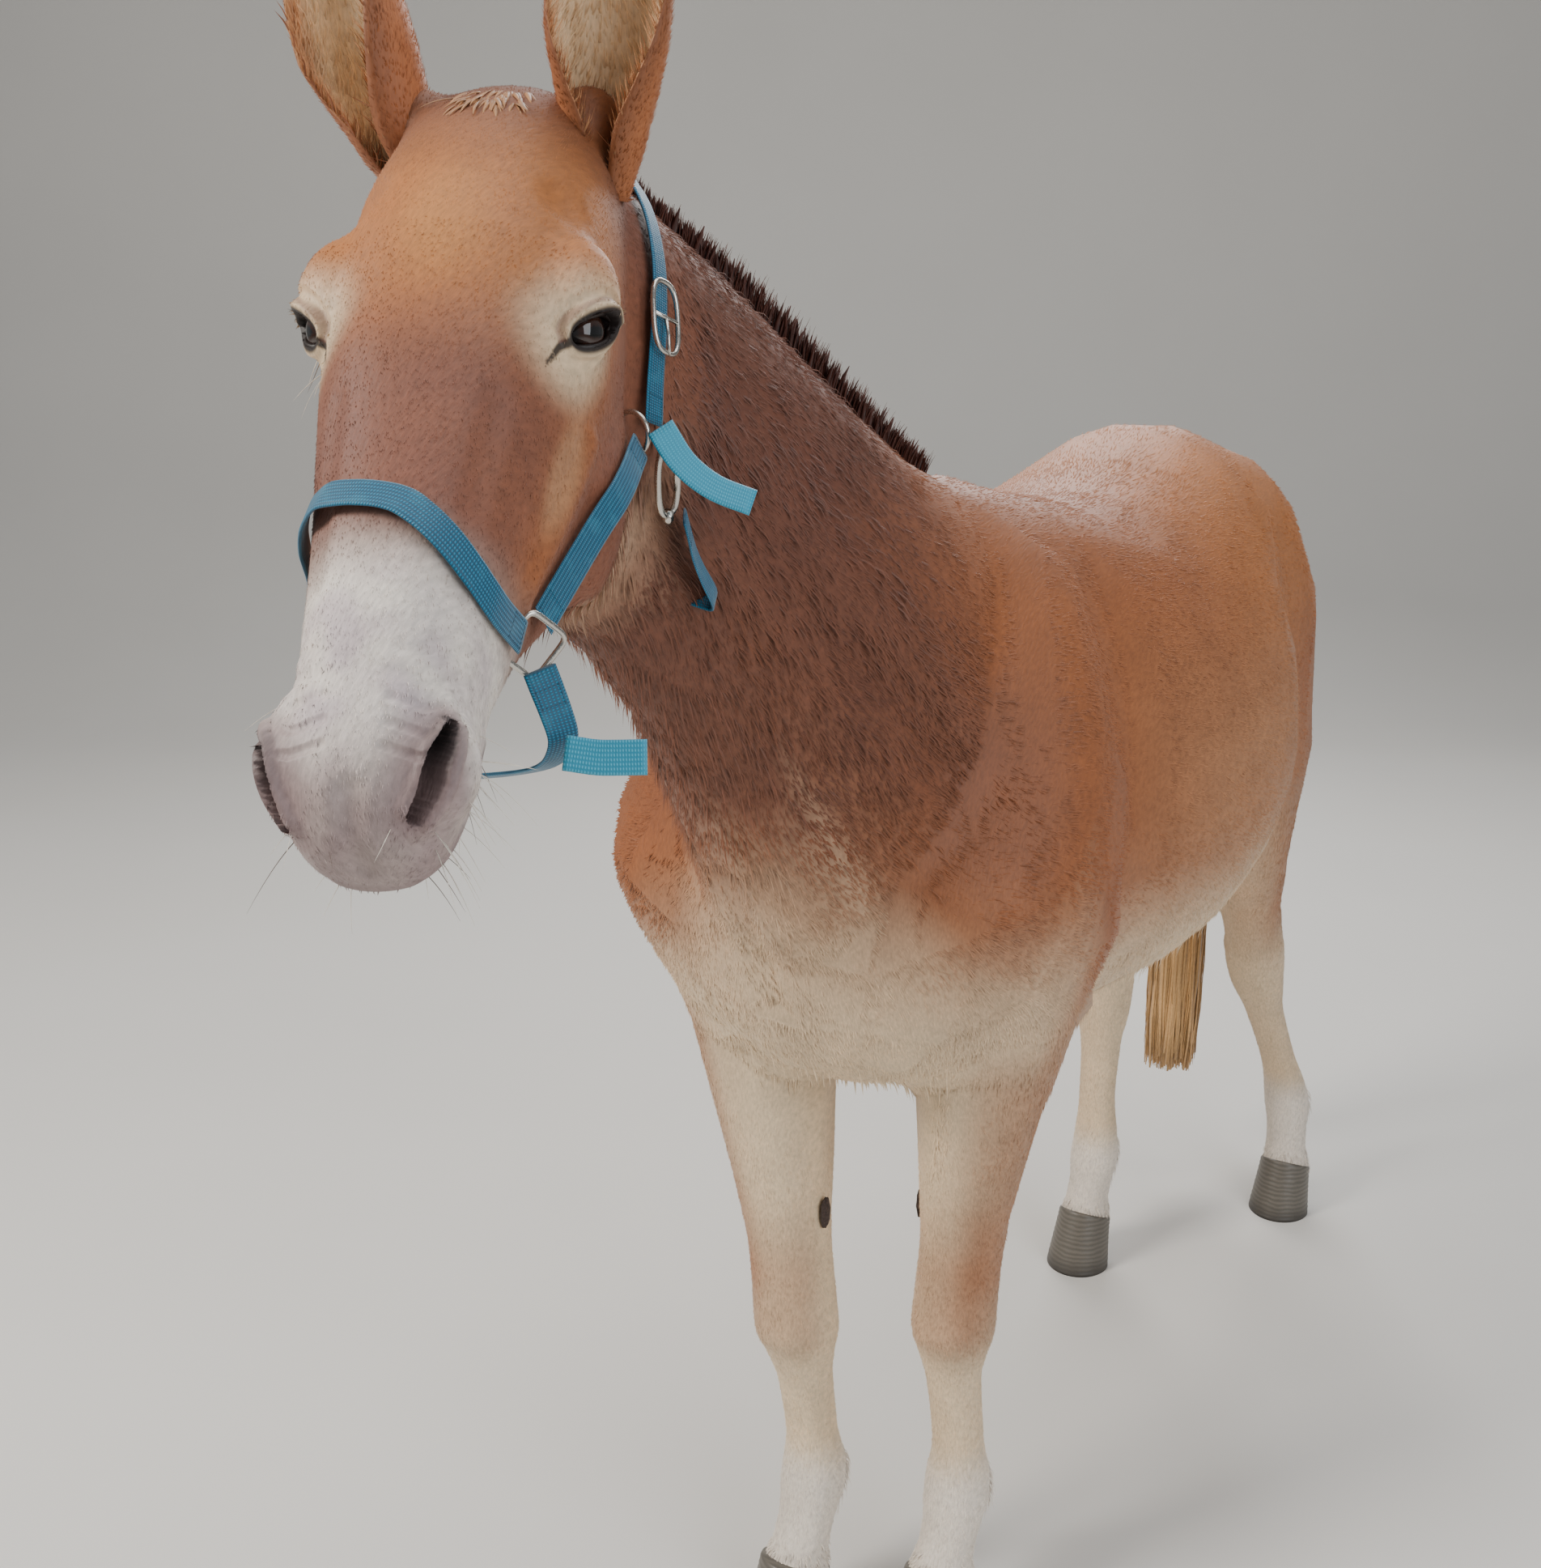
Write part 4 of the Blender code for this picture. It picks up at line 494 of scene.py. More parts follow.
def head_lofts():
    stations = []
    for along, above, *sizes, a, b in HEAD:
        sizes = [size * HEAD_SCALE for size in sizes]
        stations.append((*on_head(along, 0, above), HEAD_PITCH, HEAD_YAW, *sizes, a, b))
    made = [loft("skull", stations)]
    for mirror in (1, -1):
        made.append(head_blob("orbit", 0.200, mirror * 0.082, -0.038, (0.034, 0.040, 0.054)))
        made.append(head_blob("ear_base", -0.012, mirror * 0.066, -0.064, (0.030, 0.040, 0.032)))
        made.append(head_blob("cheek", 0.235, mirror * 0.064, -0.180, (0.040, 0.095, 0.110)))
        made.append(head_blob("nostril", 0.573, mirror * 0.037, -0.048, (0.031, 0.038, 0.040)))
    made.append(head_blob("upper_lip", 0.597, 0, -0.075, (0.046, 0.042, 0.040)))
    made.append(head_blob("chin", 0.560, 0, -0.128, (0.036, 0.024, 0.048)))
    return made


def joined(name, pieces):
    """One object that holds the meshes of all the pieces, which are removed."""
    bm = bmesh.new()
    for piece in pieces:
        bm.from_mesh(piece.data)
        bpy.data.objects.remove(piece)
    obj = mesh_object(name, [], [])
    bm.to_mesh(obj.data)
    bm.free()
    return obj


def modified(obj, kind, **settings):
    """Applies one modifier to the object."""
    modifier = obj.modifiers.new("step", kind)
    for key, value in settings.items():
        setattr(modifier, key, value)
    bpy.context.view_layer.update()
    mesh = bpy.data.meshes.new_from_object(obj.evaluated_get(bpy.context.evaluated_depsgraph_get()))
    obj.modifiers.clear()
    obj.data = mesh


def keep_largest(obj):
    """Removes all but the largest of an object's closed bodies."""
    bm = bmesh.new()
    bm.from_mesh(obj.data)
    seen, bodies = set(), []
    for start in bm.verts:
        if start in seen:
            continue
        seen.add(start)
        body, queue = [], [start]
        while queue:
            v = queue.pop()
            body.append(v)
            for e in v.link_edges:
                w = e.other_vert(v)
                if w not in seen:
                    seen.add(w)
                    queue.append(w)
        bodies.append(body)
    bodies.sort(key=len)
    bmesh.ops.delete(bm, geom=[v for body in bodies[:-1] for v in body], context="VERTS")
    bm.to_mesh(obj.data)
    bm.free()


def fused(obj, voxel, rounds):
    """The bodies in an object fused to one and smoothed."""
    modified(obj, "REMESH", mode="VOXEL", voxel_size=voxel)
    modified(obj, "SMOOTH", factor=0.5, iterations=rounds)
    keep_largest(obj)
    return obj


def arrays_of(obj):
    """Vertices, vertex normals and triangles of a mesh, with each corner's place on its unwrap."""
    mesh = obj.data
    mesh.calc_loop_triangles()
    vertices, triangles = len(mesh.vertices), len(mesh.loop_triangles)

    def read(source, what, count, kind=np.float32):
        values = np.empty(count, kind)
        source.foreach_get(what, values)
        return values

    points = read(mesh.vertices, "co", vertices * 3).reshape(-1, 3).astype(float)
    normals = read(mesh.vertices, "normal", vertices * 3).reshape(-1, 3).astype(float)
    corners = read(mesh.loop_triangles, "vertices", triangles * 3, np.int32).reshape(-1, 3)
    loops = read(mesh.loop_triangles, "loops", triangles * 3, np.int32)
    layer = mesh.uv_layers.get("OFBake")
    flat = read(layer.uv, "vector", len(mesh.loops) * 2) if layer else np.zeros(len(mesh.loops) * 2)
    return points, normals, corners, flat.reshape(-1, 2)[loops].reshape(-1, 3, 2)


def move_points(obj, points):
    obj.data.vertices.foreach_set("co", points.astype(np.float32).ravel())
    obj.data.update()


def brush(obj, strokes):
    """Presses in or raises a mesh along its normals. A stroke is a path of points, a radius and a height."""
    points, normals, _, _ = arrays_of(obj)
    for path, radius, height in strokes:
        path = [np.array(p, float) for p in path]
        if not path:
            continue
        distance = np.linalg.norm(points - path[0], axis=1)
        for a, b in zip(path, path[1:]):
            run = b - a
            t = np.clip((points - a) @ run / (run @ run), 0, 1)
            distance = np.minimum(distance, np.linalg.norm(points - a - t[:, None] * run, axis=1))
        weight = np.clip(1 - (distance / radius) ** 2, 0, 1) ** 2
        points = points + normals * (weight * height)[:, None]
    move_points(obj, points)


def sculpt_body(body):
    """The muscles and bones that show under the skin of the trunk, neck and legs."""
    surface = surface_of([body])
    strokes = []
    for path, radius, height in SIDE_STROKES:
        for mirror in (1, -1):
            start = [Vector((1.5 * mirror, y, z)) for y, z in path]
            hits = [surface.ray_cast(p, Vector((-mirror, 0, 0)))[0] for p in start]
            strokes.append(([hit for hit in hits if hit], radius, height))
    for path, radius, height in MIDDLE_STROKES:
        strokes.append(([surface.find_nearest(Vector(p))[0] for p in path], radius, height))
    for leg in STANCE:
        for path, radius, height in FORELEG_STROKES if leg.startswith("fore") else HIND_LEG_STROKES:
            for mirror in (1, -1):
                places = [leg_centre(leg, z) + Vector((mirror * x, y, 0)) for z, x, y in path]
                strokes.append(([surface.find_nearest(p)[0] for p in places], radius, height))
    brush(body, strokes)


def sculpt_head(head):
    surface = surface_of([head])
    strokes = []
    for path, radius, height in HEAD_STROKES:
        for mirror in (1, -1):
            places = [on_head(along, mirror * side, above) for along, side, above in path]
            strokes.append(([surface.find_nearest(p)[0] for p in places], radius, height))
    brush(head, strokes)


def head_direction(along, side, above):
    left, up, forward = HEAD_AXES
    return (forward * along + left * side + up * above).normalized()


def eye_frame(mirror):
    """An eye's centre, then the directions along its opening, up across it, and out of it."""
    centre = on_head(EYE[0], mirror * EYE[1], EYE[2])
    out = head_direction(EYE_OUT[0], mirror * EYE_OUT[1], EYE_OUT[2])
    long = head_direction(EYE_LONG[0], mirror * EYE_LONG[1], EYE_LONG[2])
    long = (long - out * long.dot(out)).normalized()
    across = out.cross(long)
    if across.dot(head_direction(-0.3, 0, 1)) < 0:
        across = -across
    return centre, long, across, out


def ball(name, centre, radius, rings=10, sides=18, out=(0, 0, 1)):
    """A sphere with its poles along `out`."""
    out = Vector(out).normalized()
    x = out.orthogonal().normalized()
    y = out.cross(x)
    points = [Vector(centre) - out * radius]
    for r in range(1, rings):
        a = math.pi * r / rings
        for k in range(sides):
            b = 2 * math.pi * k / sides
            flat = (x * math.cos(b) + y * math.sin(b)) * math.sin(a)
            points.append(Vector(centre) + (flat - out * math.cos(a)) * radius)
    points.append(Vector(centre) + out * radius)
    faces = []
    for k in range(sides):
        n = (k + 1) % sides
        faces.append((0, 1 + n, 1 + k))
        for r in range(rings - 2):
            low, high = 1 + r * sides, 1 + (r + 1) * sides
            faces.append((low + k, low + n, high + n, high + k))
        top = 1 + (rings - 2) * sides
        faces.append((top + k, top + n, len(points) - 1))
    return closed_body(name, points, faces)


def tangent_at(path, i):
    return (path[min(i + 1, len(path) - 1)] - path[max(i - 1, 0)]).normalized()


def wire(name, path, radii, sides=12, facing=None):
    """A round rod along a path, or a closed hoop through it that lies across the way `facing`."""
    path = [Vector(p) for p in path]
    radii = radii if isinstance(radii, (list, tuple)) else [radii] * len(path)
    points, side = [], None
    for i, p in enumerate(path):
        if facing is None:
            tangent = tangent_at(path, i)
            side = side or tangent.orthogonal()
        else:
            tangent = (path[(i + 1) % len(path)] - path[i - 1]).normalized()
            side = facing
        side = (side - tangent * side.dot(tangent)).normalized()
        other = tangent.cross(side)
        for k in range(sides):
            a = 2 * math.pi * k / sides
            points.append(p + (side * math.cos(a) + other * math.sin(a)) * radii[i])
    return closed_body(name, points, tube_faces(len(path), sides, facing is not None))


def strap_frames(controls, surface, inside, steps, lift, tilted, loose):
    """Where webbing lies: its middle line, the way across it and the way it faces, which is away from
    the point `inside`. It bridges hollows and clears the skin over its whole width. Where it is
    `tilted` it leans with the skin, and where it is `loose` it keeps the path's own height."""
    path = smooth_path(controls, steps)
    ways = [(p - inside).normalized() for p in path]
    acrosses, needs = [], []
    for i, (p, away) in enumerate(zip(path, ways)):
        across = tangent_at(path, i).cross(away).normalized()
        acrosses.append(across)
        rises = []
        for k in (-2, -1, 0, 1, 2):
            hit = surface.ray_cast(p + away * 0.15 + across * WEBBING_WIDTH * k / 4, -away)[0]
            rises.append((hit - p).dot(away) if hit else -0.05)
        low, high = max(rises[0], rises[1]), max(rises[3], rises[4])
        if not tilted:
            low = high = max(rises)
        extra = max(0.0, rises[2] - (low + high) / 2)
        pair = [low + extra + lift, high + extra + lift]
        needs.append([max(n, 0.0) for n in pair] if loose else pair)
    heights = [list(pair) for pair in needs]
    for _ in range(steps // 4 + 2):
        ends = [heights[0]] + heights + [heights[-1]]
        heights = [
            [max(n[k], (u[k] + 2 * v[k] + w[k]) / 4) for k in (0, 1)]
            for n, u, v, w in zip(needs, ends, ends[1:], ends[2:])
        ]
    frames = []
    for p, away, across, (low, high) in zip(path, ways, acrosses, heights):
        slant = (across * WEBBING_WIDTH + away * (high - low)).normalized()
        facing = (away - slant * away.dot(slant)).normalized()
        frames.append((p + away * (low + high) / 2, slant, facing))
    return frames


def surface_of(objects, move=Vector((0, 0, 0))):
    """A search tree over several meshes, moved by a step."""
    points, faces = [], []
    for obj in objects:
        first = len(points)
        points += [v.co + move for v in obj.data.vertices]
        faces += [[first + i for i in p.vertices] for p in obj.data.polygons]
    return BVHTree.FromPolygons(points, faces)


def smooth_path(controls, steps):
    table = np.array([tuple(c) for c in controls], float)
    reach = np.r_[0, np.cumsum(np.linalg.norm(np.diff(table, axis=0), axis=1))]
    return [Vector(p) for p in eased(reach, table, np.linspace(0, reach[-1], steps))]


def leg_sections(leg):
    return FORELEG if leg.startswith("fore") else HIND_LEG


def leg_centre(leg, height):
    """The middle of a leg at one height."""
    table = np.array(leg_sections(leg), float)[::-1]
    x, y = eased(table[:, 0], table[:, 1:3], np.array([height]))[0]
    sideways, backward = stance_shift(leg, height)
    return Vector((side_of(leg) * x + sideways, y + backward, height))


def ring_path(centre, a, b, half_a, half_b, roundness, count):
    """A closed path round a centre: 2 is an ellipse and more is squarer."""
    path = []
    for k in range(count):
        t = 2 * math.pi * (k + 0.5) / count
        c, s = math.cos(t), math.sin(t)
        path.append(
            Vector(centre)
            + Vector(a) * half_a * math.copysign(abs(c) ** (2 / roundness), c)
            + Vector(b) * half_b * math.copysign(abs(s) ** (2 / roundness), s)
        )
    return path


def frame_shift():
    """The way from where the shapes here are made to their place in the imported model."""
    low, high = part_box("eye_left")
    return (Vector(low) + Vector(high)) / 2 - eye_frame(1)[0]


SHIFT = frame_shift()

# What one piece leaves for the next: the skin's arrays and search tree, and both nostrils.
SHARED = {"nostrils": {}}


def linear(hex_colour):
    """An sRGB hex colour as linear red, green, blue."""
    values = [int(hex_colour.lstrip("#")[i : i + 2], 16) / 255 for i in (0, 2, 4)]
    return np.array([v / 12.92 if v <= 0.04045 else ((v + 0.055) / 1.055) ** 2.4 for v in values])


def over(colour, hex_colour, share):
    """A colour with a share of another one laid over it."""
    return colour * (1 - share) + linear(hex_colour) * share


def ramp(x, a, b):
    """Rises smoothly from 0 at a to 1 at b."""
    t = np.clip((x - a) / (b - a), 0, 1)
    return t * t * (3 - 2 * t)


def wobble(points, size):
    """A soft pattern between about -1 and 1, with patches of about the given size in metres."""
    p = points / size
    return (
        np.sin(p[:, 0] * 2.1 + 1.3 * np.sin(p[:, 1] * 1.7 + 0.5))
        + np.sin(p[:, 1] * 2.6 + 1.1 * np.sin(p[:, 2] * 1.9 + 2.1))
        + np.sin(p[:, 2] * 2.3 + 1.2 * np.sin(p[:, 0] * 2.2 + 4.0))
    ) / 3


def head_places(points):
    """Points in the head's own directions: distance from the poll, to its left, above the face line."""
    left, up, forward = (np.array(axis) for axis in HEAD_AXES)
    rel = (points - np.array(POLL)) / HEAD_SCALE
    return rel @ forward, rel @ left, rel @ up


def head_share(points):
    """1 on the head, 0 on the neck and body, with a soft step at the throat."""
    centre, normal = THROAT_CUT
    n = np.array(normal) / np.linalg.norm(normal)
    ahead = (points - np.array(centre)) @ n
    return ramp(ahead, -0.05, 0.03) * (points[:, 2] > 1.15)


def leg_places(points):
    """For each point its nearest leg: True for a foreleg, how far out from its middle, how far back, and
    how far off in all."""
    best = np.full(len(points), 9.0)
    fore = np.zeros(len(points), bool)
    outside = np.zeros(len(points))
    behind = np.zeros(len(points))
    heights = np.linspace(0.0, 1.3, 66)
    for leg in STANCE:
        centres = np.array([leg_centre(leg, h) for h in heights])
        cx = np.interp(points[:, 2], heights, centres[:, 0])
        cy = np.interp(points[:, 2], heights, centres[:, 1])
        distance = np.hypot(points[:, 0] - cx, points[:, 1] - cy)
        closer = distance < best
        best[closer] = distance[closer]
        fore[closer] = leg.startswith("fore")
        outside[closer] = (side_of(leg) * (points[:, 0] - cx))[closer]
        behind[closer] = (points[:, 1] - cy)[closer]
    return fore, outside, behind, best


SORREL = "#94562E"
# A deep purple-brown: the dark hair by the poll, and painted shade over the neck.
DEEP_SORREL_AND_NECK_SHADE = "#5A3429"
RED_TAN = "#AC6A34"
FADED_TAN = "#B0805A"
CREAM = "#DCC4A2"
WHITE_HAIR = "#E4DBD0"
NOSE_SKIN = "#8E7775"
NOSE_DARK = "#574848"
# Painted shade for the face: purple-brown on the nose's bridge, the lower head and the lid folds.
FACE_SHADE = "#71463A"
NOSE_SHADOW = "#120C0B"
LID_DARK = "#211612"


def markings(points, normals):
    """The coat's colour at each point, from the animal's parts: paler below, a mealy nose and pale legs. It
    also paints shade on the neck, the nose's bridge and lower head, the lid folds and the line between the
    lips.
    """
    count = len(points)
    x, y, z = points[:, 0] - TRUNK_SIDEWAYS, points[:, 1], points[:, 2]
    soft = wobble(points, 0.09) * 0.6 + wobble(points, 0.031) * 0.4
    colour = np.tile(linear(SORREL), (count, 1))

    def mix(hex_colour, weight):
        colour[:] = over(colour, hex_colour, np.clip(weight, 0, 1)[:, None])

    head = head_share(points)
    body = 1 - head
    # Painted shade: the neck is darkened as if in the head's shadow, most towards the crest.
    neck = body * ramp(y, -0.45, -0.70) * ramp(z, 1.05, 1.25)
    mix(DEEP_SORREL_AND_NECK_SHADE, neck * (0.66 + 0.14 * soft + 0.16 * ramp(z, 1.30, 1.55)))
    mix(RED_TAN, body * (1 - neck) * ramp(y, -0.10, 0.30) * ramp(z, 1.05, 1.35) * 0.75)
    barrel = body * ramp(y, -0.40, -0.10) * (1 - ramp(y, 0.30, 0.60))
    mix(FADED_TAN, barrel * ramp(-z, -1.36, -1.08) * (0.62 + 0.12 * soft))
    belly = body * ramp(y, -0.50, -0.35) * ramp(-normals[:, 2], 0.05, 0.65) * ramp(-z, -1.10, -0.95)
    mix(CREAM, belly * 0.9)
    depth = -z + 0.07 * soft + 0.06 * wobble(points, 0.25) - 0.4 * np.abs(x)
    mix(CREAM, body * ramp(-y, 0.46, 0.56) * ramp(depth, -1.20, -0.92) * 0.88)

    fore, outside, behind, off = leg_places(points)
    on_leg = body * (1 - ramp(off, 0.13, 0.30))
    low = on_leg * ramp(-z, -0.98, -0.82)
    front_leg = np.where(fore, low, 0)
    back_leg = np.where(fore, 0, low)
    inner = ramp(-outside + 0.006 * soft, -0.020, 0.030)
    mix(CREAM, front_leg * np.maximum(inner, 0.55) * 0.85)
    patch = ramp(outside, -0.005, 0.045) * ramp(z, 0.40, 0.52) * ramp(-z, -0.92, -0.80)
    mix(SORREL, front_leg * patch * (0.55 + 0.25 * soft))
    knee = ramp(-behind, 0.0, 0.05) * ramp(z, 0.36, 0.43) * ramp(-z, -0.66, -0.50)
    mix(SORREL, front_leg * knee * (0.42 + 0.2 * soft))
    thigh = on_leg * np.where(fore, 0, 1) * ramp(-z, -1.10, -0.85)
    mix(FADED_TAN, thigh * 0.5)
    mix(CREAM, thigh * ramp(-outside, -0.010, 0.050) * 0.85)
    mix(CREAM, back_leg * ramp(-z, -0.66, -0.50) * 0.88)
    mix(CREAM, front_leg * ramp(-z, -0.44, -0.36) * 0.88)
    mix(WHITE_HAIR, body * ramp(-z + 0.01 * soft, -0.27, -0.20) * 0.8)

    along, side, above = head_places(points)
    mix(RED_TAN, head * ramp(above, -0.12, -0.02) * (1 - ramp(along, 0.20, 0.32)) * (0.80 + 0.2 * soft))
    mix(DEEP_SORREL_AND_NECK_SHADE, head * ramp(-along + 0.02 * soft, -0.13, -0.01) * 0.62)
    blaze = 1 - ramp(np.hypot((along - 0.175) / 0.075, side / 0.045), 0.3, 1.1)
    mix("#B97C42", head * (above > -0.03) * blaze * (0.40 + 0.3 * soft))
    # Painted shade on the nose's bridge below the eyes, then on the lower half of the head.
    mix(FACE_SHADE, head * ramp(along, 0.22, 0.33) * ramp(above, -0.09, -0.02) * (0.72 + 0.2 * soft))
    mix(FACE_SHADE, head * ramp(-above, 0.07, 0.15) * (0.62 + 0.2 * soft))
    streak = 1 - ramp(np.hypot((along - 0.325) / 0.060, (above + 0.072) / 0.026), 0.4, 1.1)
    mix(FADED_TAN, head * streak * 0.75)
    mix(CREAM, head * ramp(-above, 0.215, 0.275) * 0.45)
    edge = along + 0.012 * soft + 0.10 * np.abs(side)
    mix("#A08A80", head * ramp(edge, 0.415, 0.455) * 0.60)
    mix(WHITE_HAIR, head * ramp(edge, 0.440, 0.492) * 0.90)
    blotch = np.clip(0.5 + 0.9 * wobble(points + 3.3, 0.017), 0, 1) * np.clip(0.6 + soft, 0, 1)
    mix("#A995A0", head * ramp(edge, 0.450, 0.520) * blotch * 0.62)
    for mirror in (1, -1):
        centre, long, across, out = (np.array(v) for v in eye_frame(mirror))
        rel = points - centre
        u, v = rel @ long, rel @ across
        near = head * (rel @ out > -0.035)
        ring = np.hypot((u + 0.008) / 0.072, (v + 0.002) / 0.056)
        mix(CREAM, near * (1 - ramp(ring + 0.10 * soft, 0.35, 1.12)) * 0.90)
        limit = EYE_OPENING[1] * np.sqrt(np.clip(1 - (u / (EYE_OPENING[0] * 1.06)) ** 2, 0, 1))
        rim = np.abs(v - EYE_RAISED) - limit
        mix(LID_DARK, near * (1 - ramp(rim, 0.0024, 0.0068)) * (1 - ramp(np.abs(u), 0.0262, 0.0310)))
        corner = u + EYE_OPENING[0]
        past = np.clip(-corner - 0.032, 0, 1) + np.clip(corner - 0.006, 0, 1)
        line = np.hypot(past, v - 0.0005 - 0.26 * corner) / np.interp(corner, (-0.032, 0.0), (0.35, 1.25))
        mix(LID_DARK, near * (1 - ramp(line, 0.0022, 0.0050)) * 0.95)
        # Painted shade in the fold above each upper lid.
        fold = np.abs(np.hypot(u / 0.0335, (v - EYE_RAISED) / 0.0205) - 1) * 0.022
        mix(FACE_SHADE, near * (v > 0) * (1 - ramp(fold, 0.0004, 0.0026)) * 0.60)
        spots, radii, inward = SHARED["nostrils"][mirror]
        flat = points[:, None, :] - spots[None]
        flat = flat - inward * (flat @ inward)[:, :, None]
        hole = (np.linalg.norm(flat, axis=2) / radii[None]).min(axis=1)
        faced = head * (along > 0.52) * (mirror * side > 0.004)
        mix(NOSE_SKIN, faced * (1 - ramp(hole, 2.0, 5.5)) * 0.80)
        mix(NOSE_DARK, faced * (1 - ramp(hole, 1.2, 2.6)) * 0.75)
        mix(NOSE_SHADOW, faced * (1 - ramp(hole, 1.0, 1.45)))
    mix(NOSE_SKIN, head * ramp(along + 0.014 * soft, 0.562, 0.615) * (0.80 + 0.2 * blotch))
    chin = head * ramp(along, 0.500, 0.560) * ramp(-above, 0.070, 0.115)
    mix(NOSE_DARK, chin * (0.55 + 0.3 * soft))
    lips = head * ramp(along, 0.520, 0.560) * (1 - ramp(np.abs(above - MOUTH_ABOVE + 0.010), 0.008, 0.028))
    mix(NOSE_SKIN, lips * 0.65)
    # Painted shade in the line between the lips.
    slit = 1 - ramp(np.abs(above - MOUTH_ABOVE), 0.001, 0.006)
    mix(NOSE_DARK, head * ramp(along, 0.510, 0.540) * slit * 0.7)
    shade = 1 + 0.07 * soft
    return np.clip(colour * shade[:, None], 0, 1)


def lie_of(points, normals):
    """The way the hair lies at each point, along the skin."""
    head = head_share(points)
    neck = (1 - head) * ramp(-points[:, 1], 0.45, 0.70) * ramp(points[:, 2], 1.05, 1.25)
    leg = (1 - head) * ramp(-points[:, 2], -1.00, -0.80)
    trunk = np.clip(1 - head - neck - leg, 0, 1)
    left, up, forward = (np.array(axis) for axis in HEAD_AXES)
    along, side, above = head_places(points)
    back = np.where((along < 0.175) & (above > -0.06), -1.0, 1.0)[:, None]
    on_face = forward * back * 0.9 - up * 0.35 * ramp(-above, 0.02, 0.10)[:, None]
    way = (
        trunk[:, None] * np.array([0, 1, -0.45])
        + neck[:, None] * np.array([0, 0.62, -0.80])
        + leg[:, None] * np.array([0, 0.12, -1.0])
        + head[:, None] * on_face
    )
    way = way + 0.22 * np.stack([wobble(points + k, 0.05) for k in (0.0, 7.7, 3.1)], axis=1)
    way = way - normals * np.sum(way * normals, axis=1)[:, None]
    return way / np.maximum(np.linalg.norm(way, axis=1), 1e-9)[:, None]


def mesh_from_arrays(name, points, triangles):
    mesh = bpy.data.meshes.new(name)
    mesh.vertices.add(len(points))
    mesh.vertices.foreach_set("co", np.ascontiguousarray(points, np.float32).ravel())
    mesh.loops.add(len(triangles) * 3)
    mesh.loops.foreach_set("vertex_index", np.ascontiguousarray(triangles, np.int32).ravel())
    mesh.polygons.add(len(triangles))
    mesh.polygons.foreach_set("loop_start", np.arange(0, len(triangles) * 3, 3, dtype=np.int32))
    mesh.polygons.foreach_set("loop_total", np.full(len(triangles), 3, np.int32))
    mesh.update(calc_edges=True)
    return linked(name, mesh)


def tint(obj, colours):
    """Stores a colour for each vertex as the piece's own attribute."""
    layer = obj.data.color_attributes.new("coat", "FLOAT_COLOR", "POINT")
    rgba = np.ones((len(colours), 4), np.float32)
    rgba[:, :3] = colours
    layer.data.foreach_set("color", rgba.ravel())


def roots_on(arrays, weights, count, seed):
    """Random places on a mesh, spread by area and by a weight for each vertex."""
    points, normals, triangles, places = arrays
    rng = np.random.default_rng(seed)
    a, b, c = (points[triangles[:, k]] for k in range(3))
    area = np.linalg.norm(np.cross(b - a, c - a), axis=1) * weights[triangles].mean(axis=1)
    picked = rng.choice(len(triangles), size=count, p=area / area.sum())
    r = np.sqrt(rng.random(count))
    s = rng.random(count)
    share = np.stack([1 - r, r * (1 - s), r * s], axis=1)[:, :, None]
    root = (points[triangles[picked]] * share).sum(axis=1)
    normal = (normals[triangles[picked]] * share).sum(axis=1)
    normal /= np.maximum(np.linalg.norm(normal, axis=1), 1e-9)[:, None]
    place = (places[picked] * share).sum(axis=1)
    return root, normal, place, rng


def repeated(name, shapes, faces, shade_and_wear, colours, places):
    """One mesh of many like forms: their points, the faces of one, how much lighter or darker each of its
    points is than the form's colour, and where its points lie on the unwrap."""
    count, each, _ = shapes.shape
    triangles = (faces[None] + (np.arange(count) * each)[:, None, None]).reshape(-1, 3)
    obj = mesh_from_arrays(name, shapes.reshape(-1, 3), triangles)
    tint(obj, np.clip((colours[:, None, :] * shade_and_wear[None, :, None]).reshape(-1, 3), 0, 1))
    layer = obj.data.uv_layers.new(name="OFBake")
    corners = np.clip(places.reshape(-1, 2)[triangles.ravel()], 0, 1)
    layer.uv.foreach_set("vector", corners.astype(np.float32).ravel())
    return obj


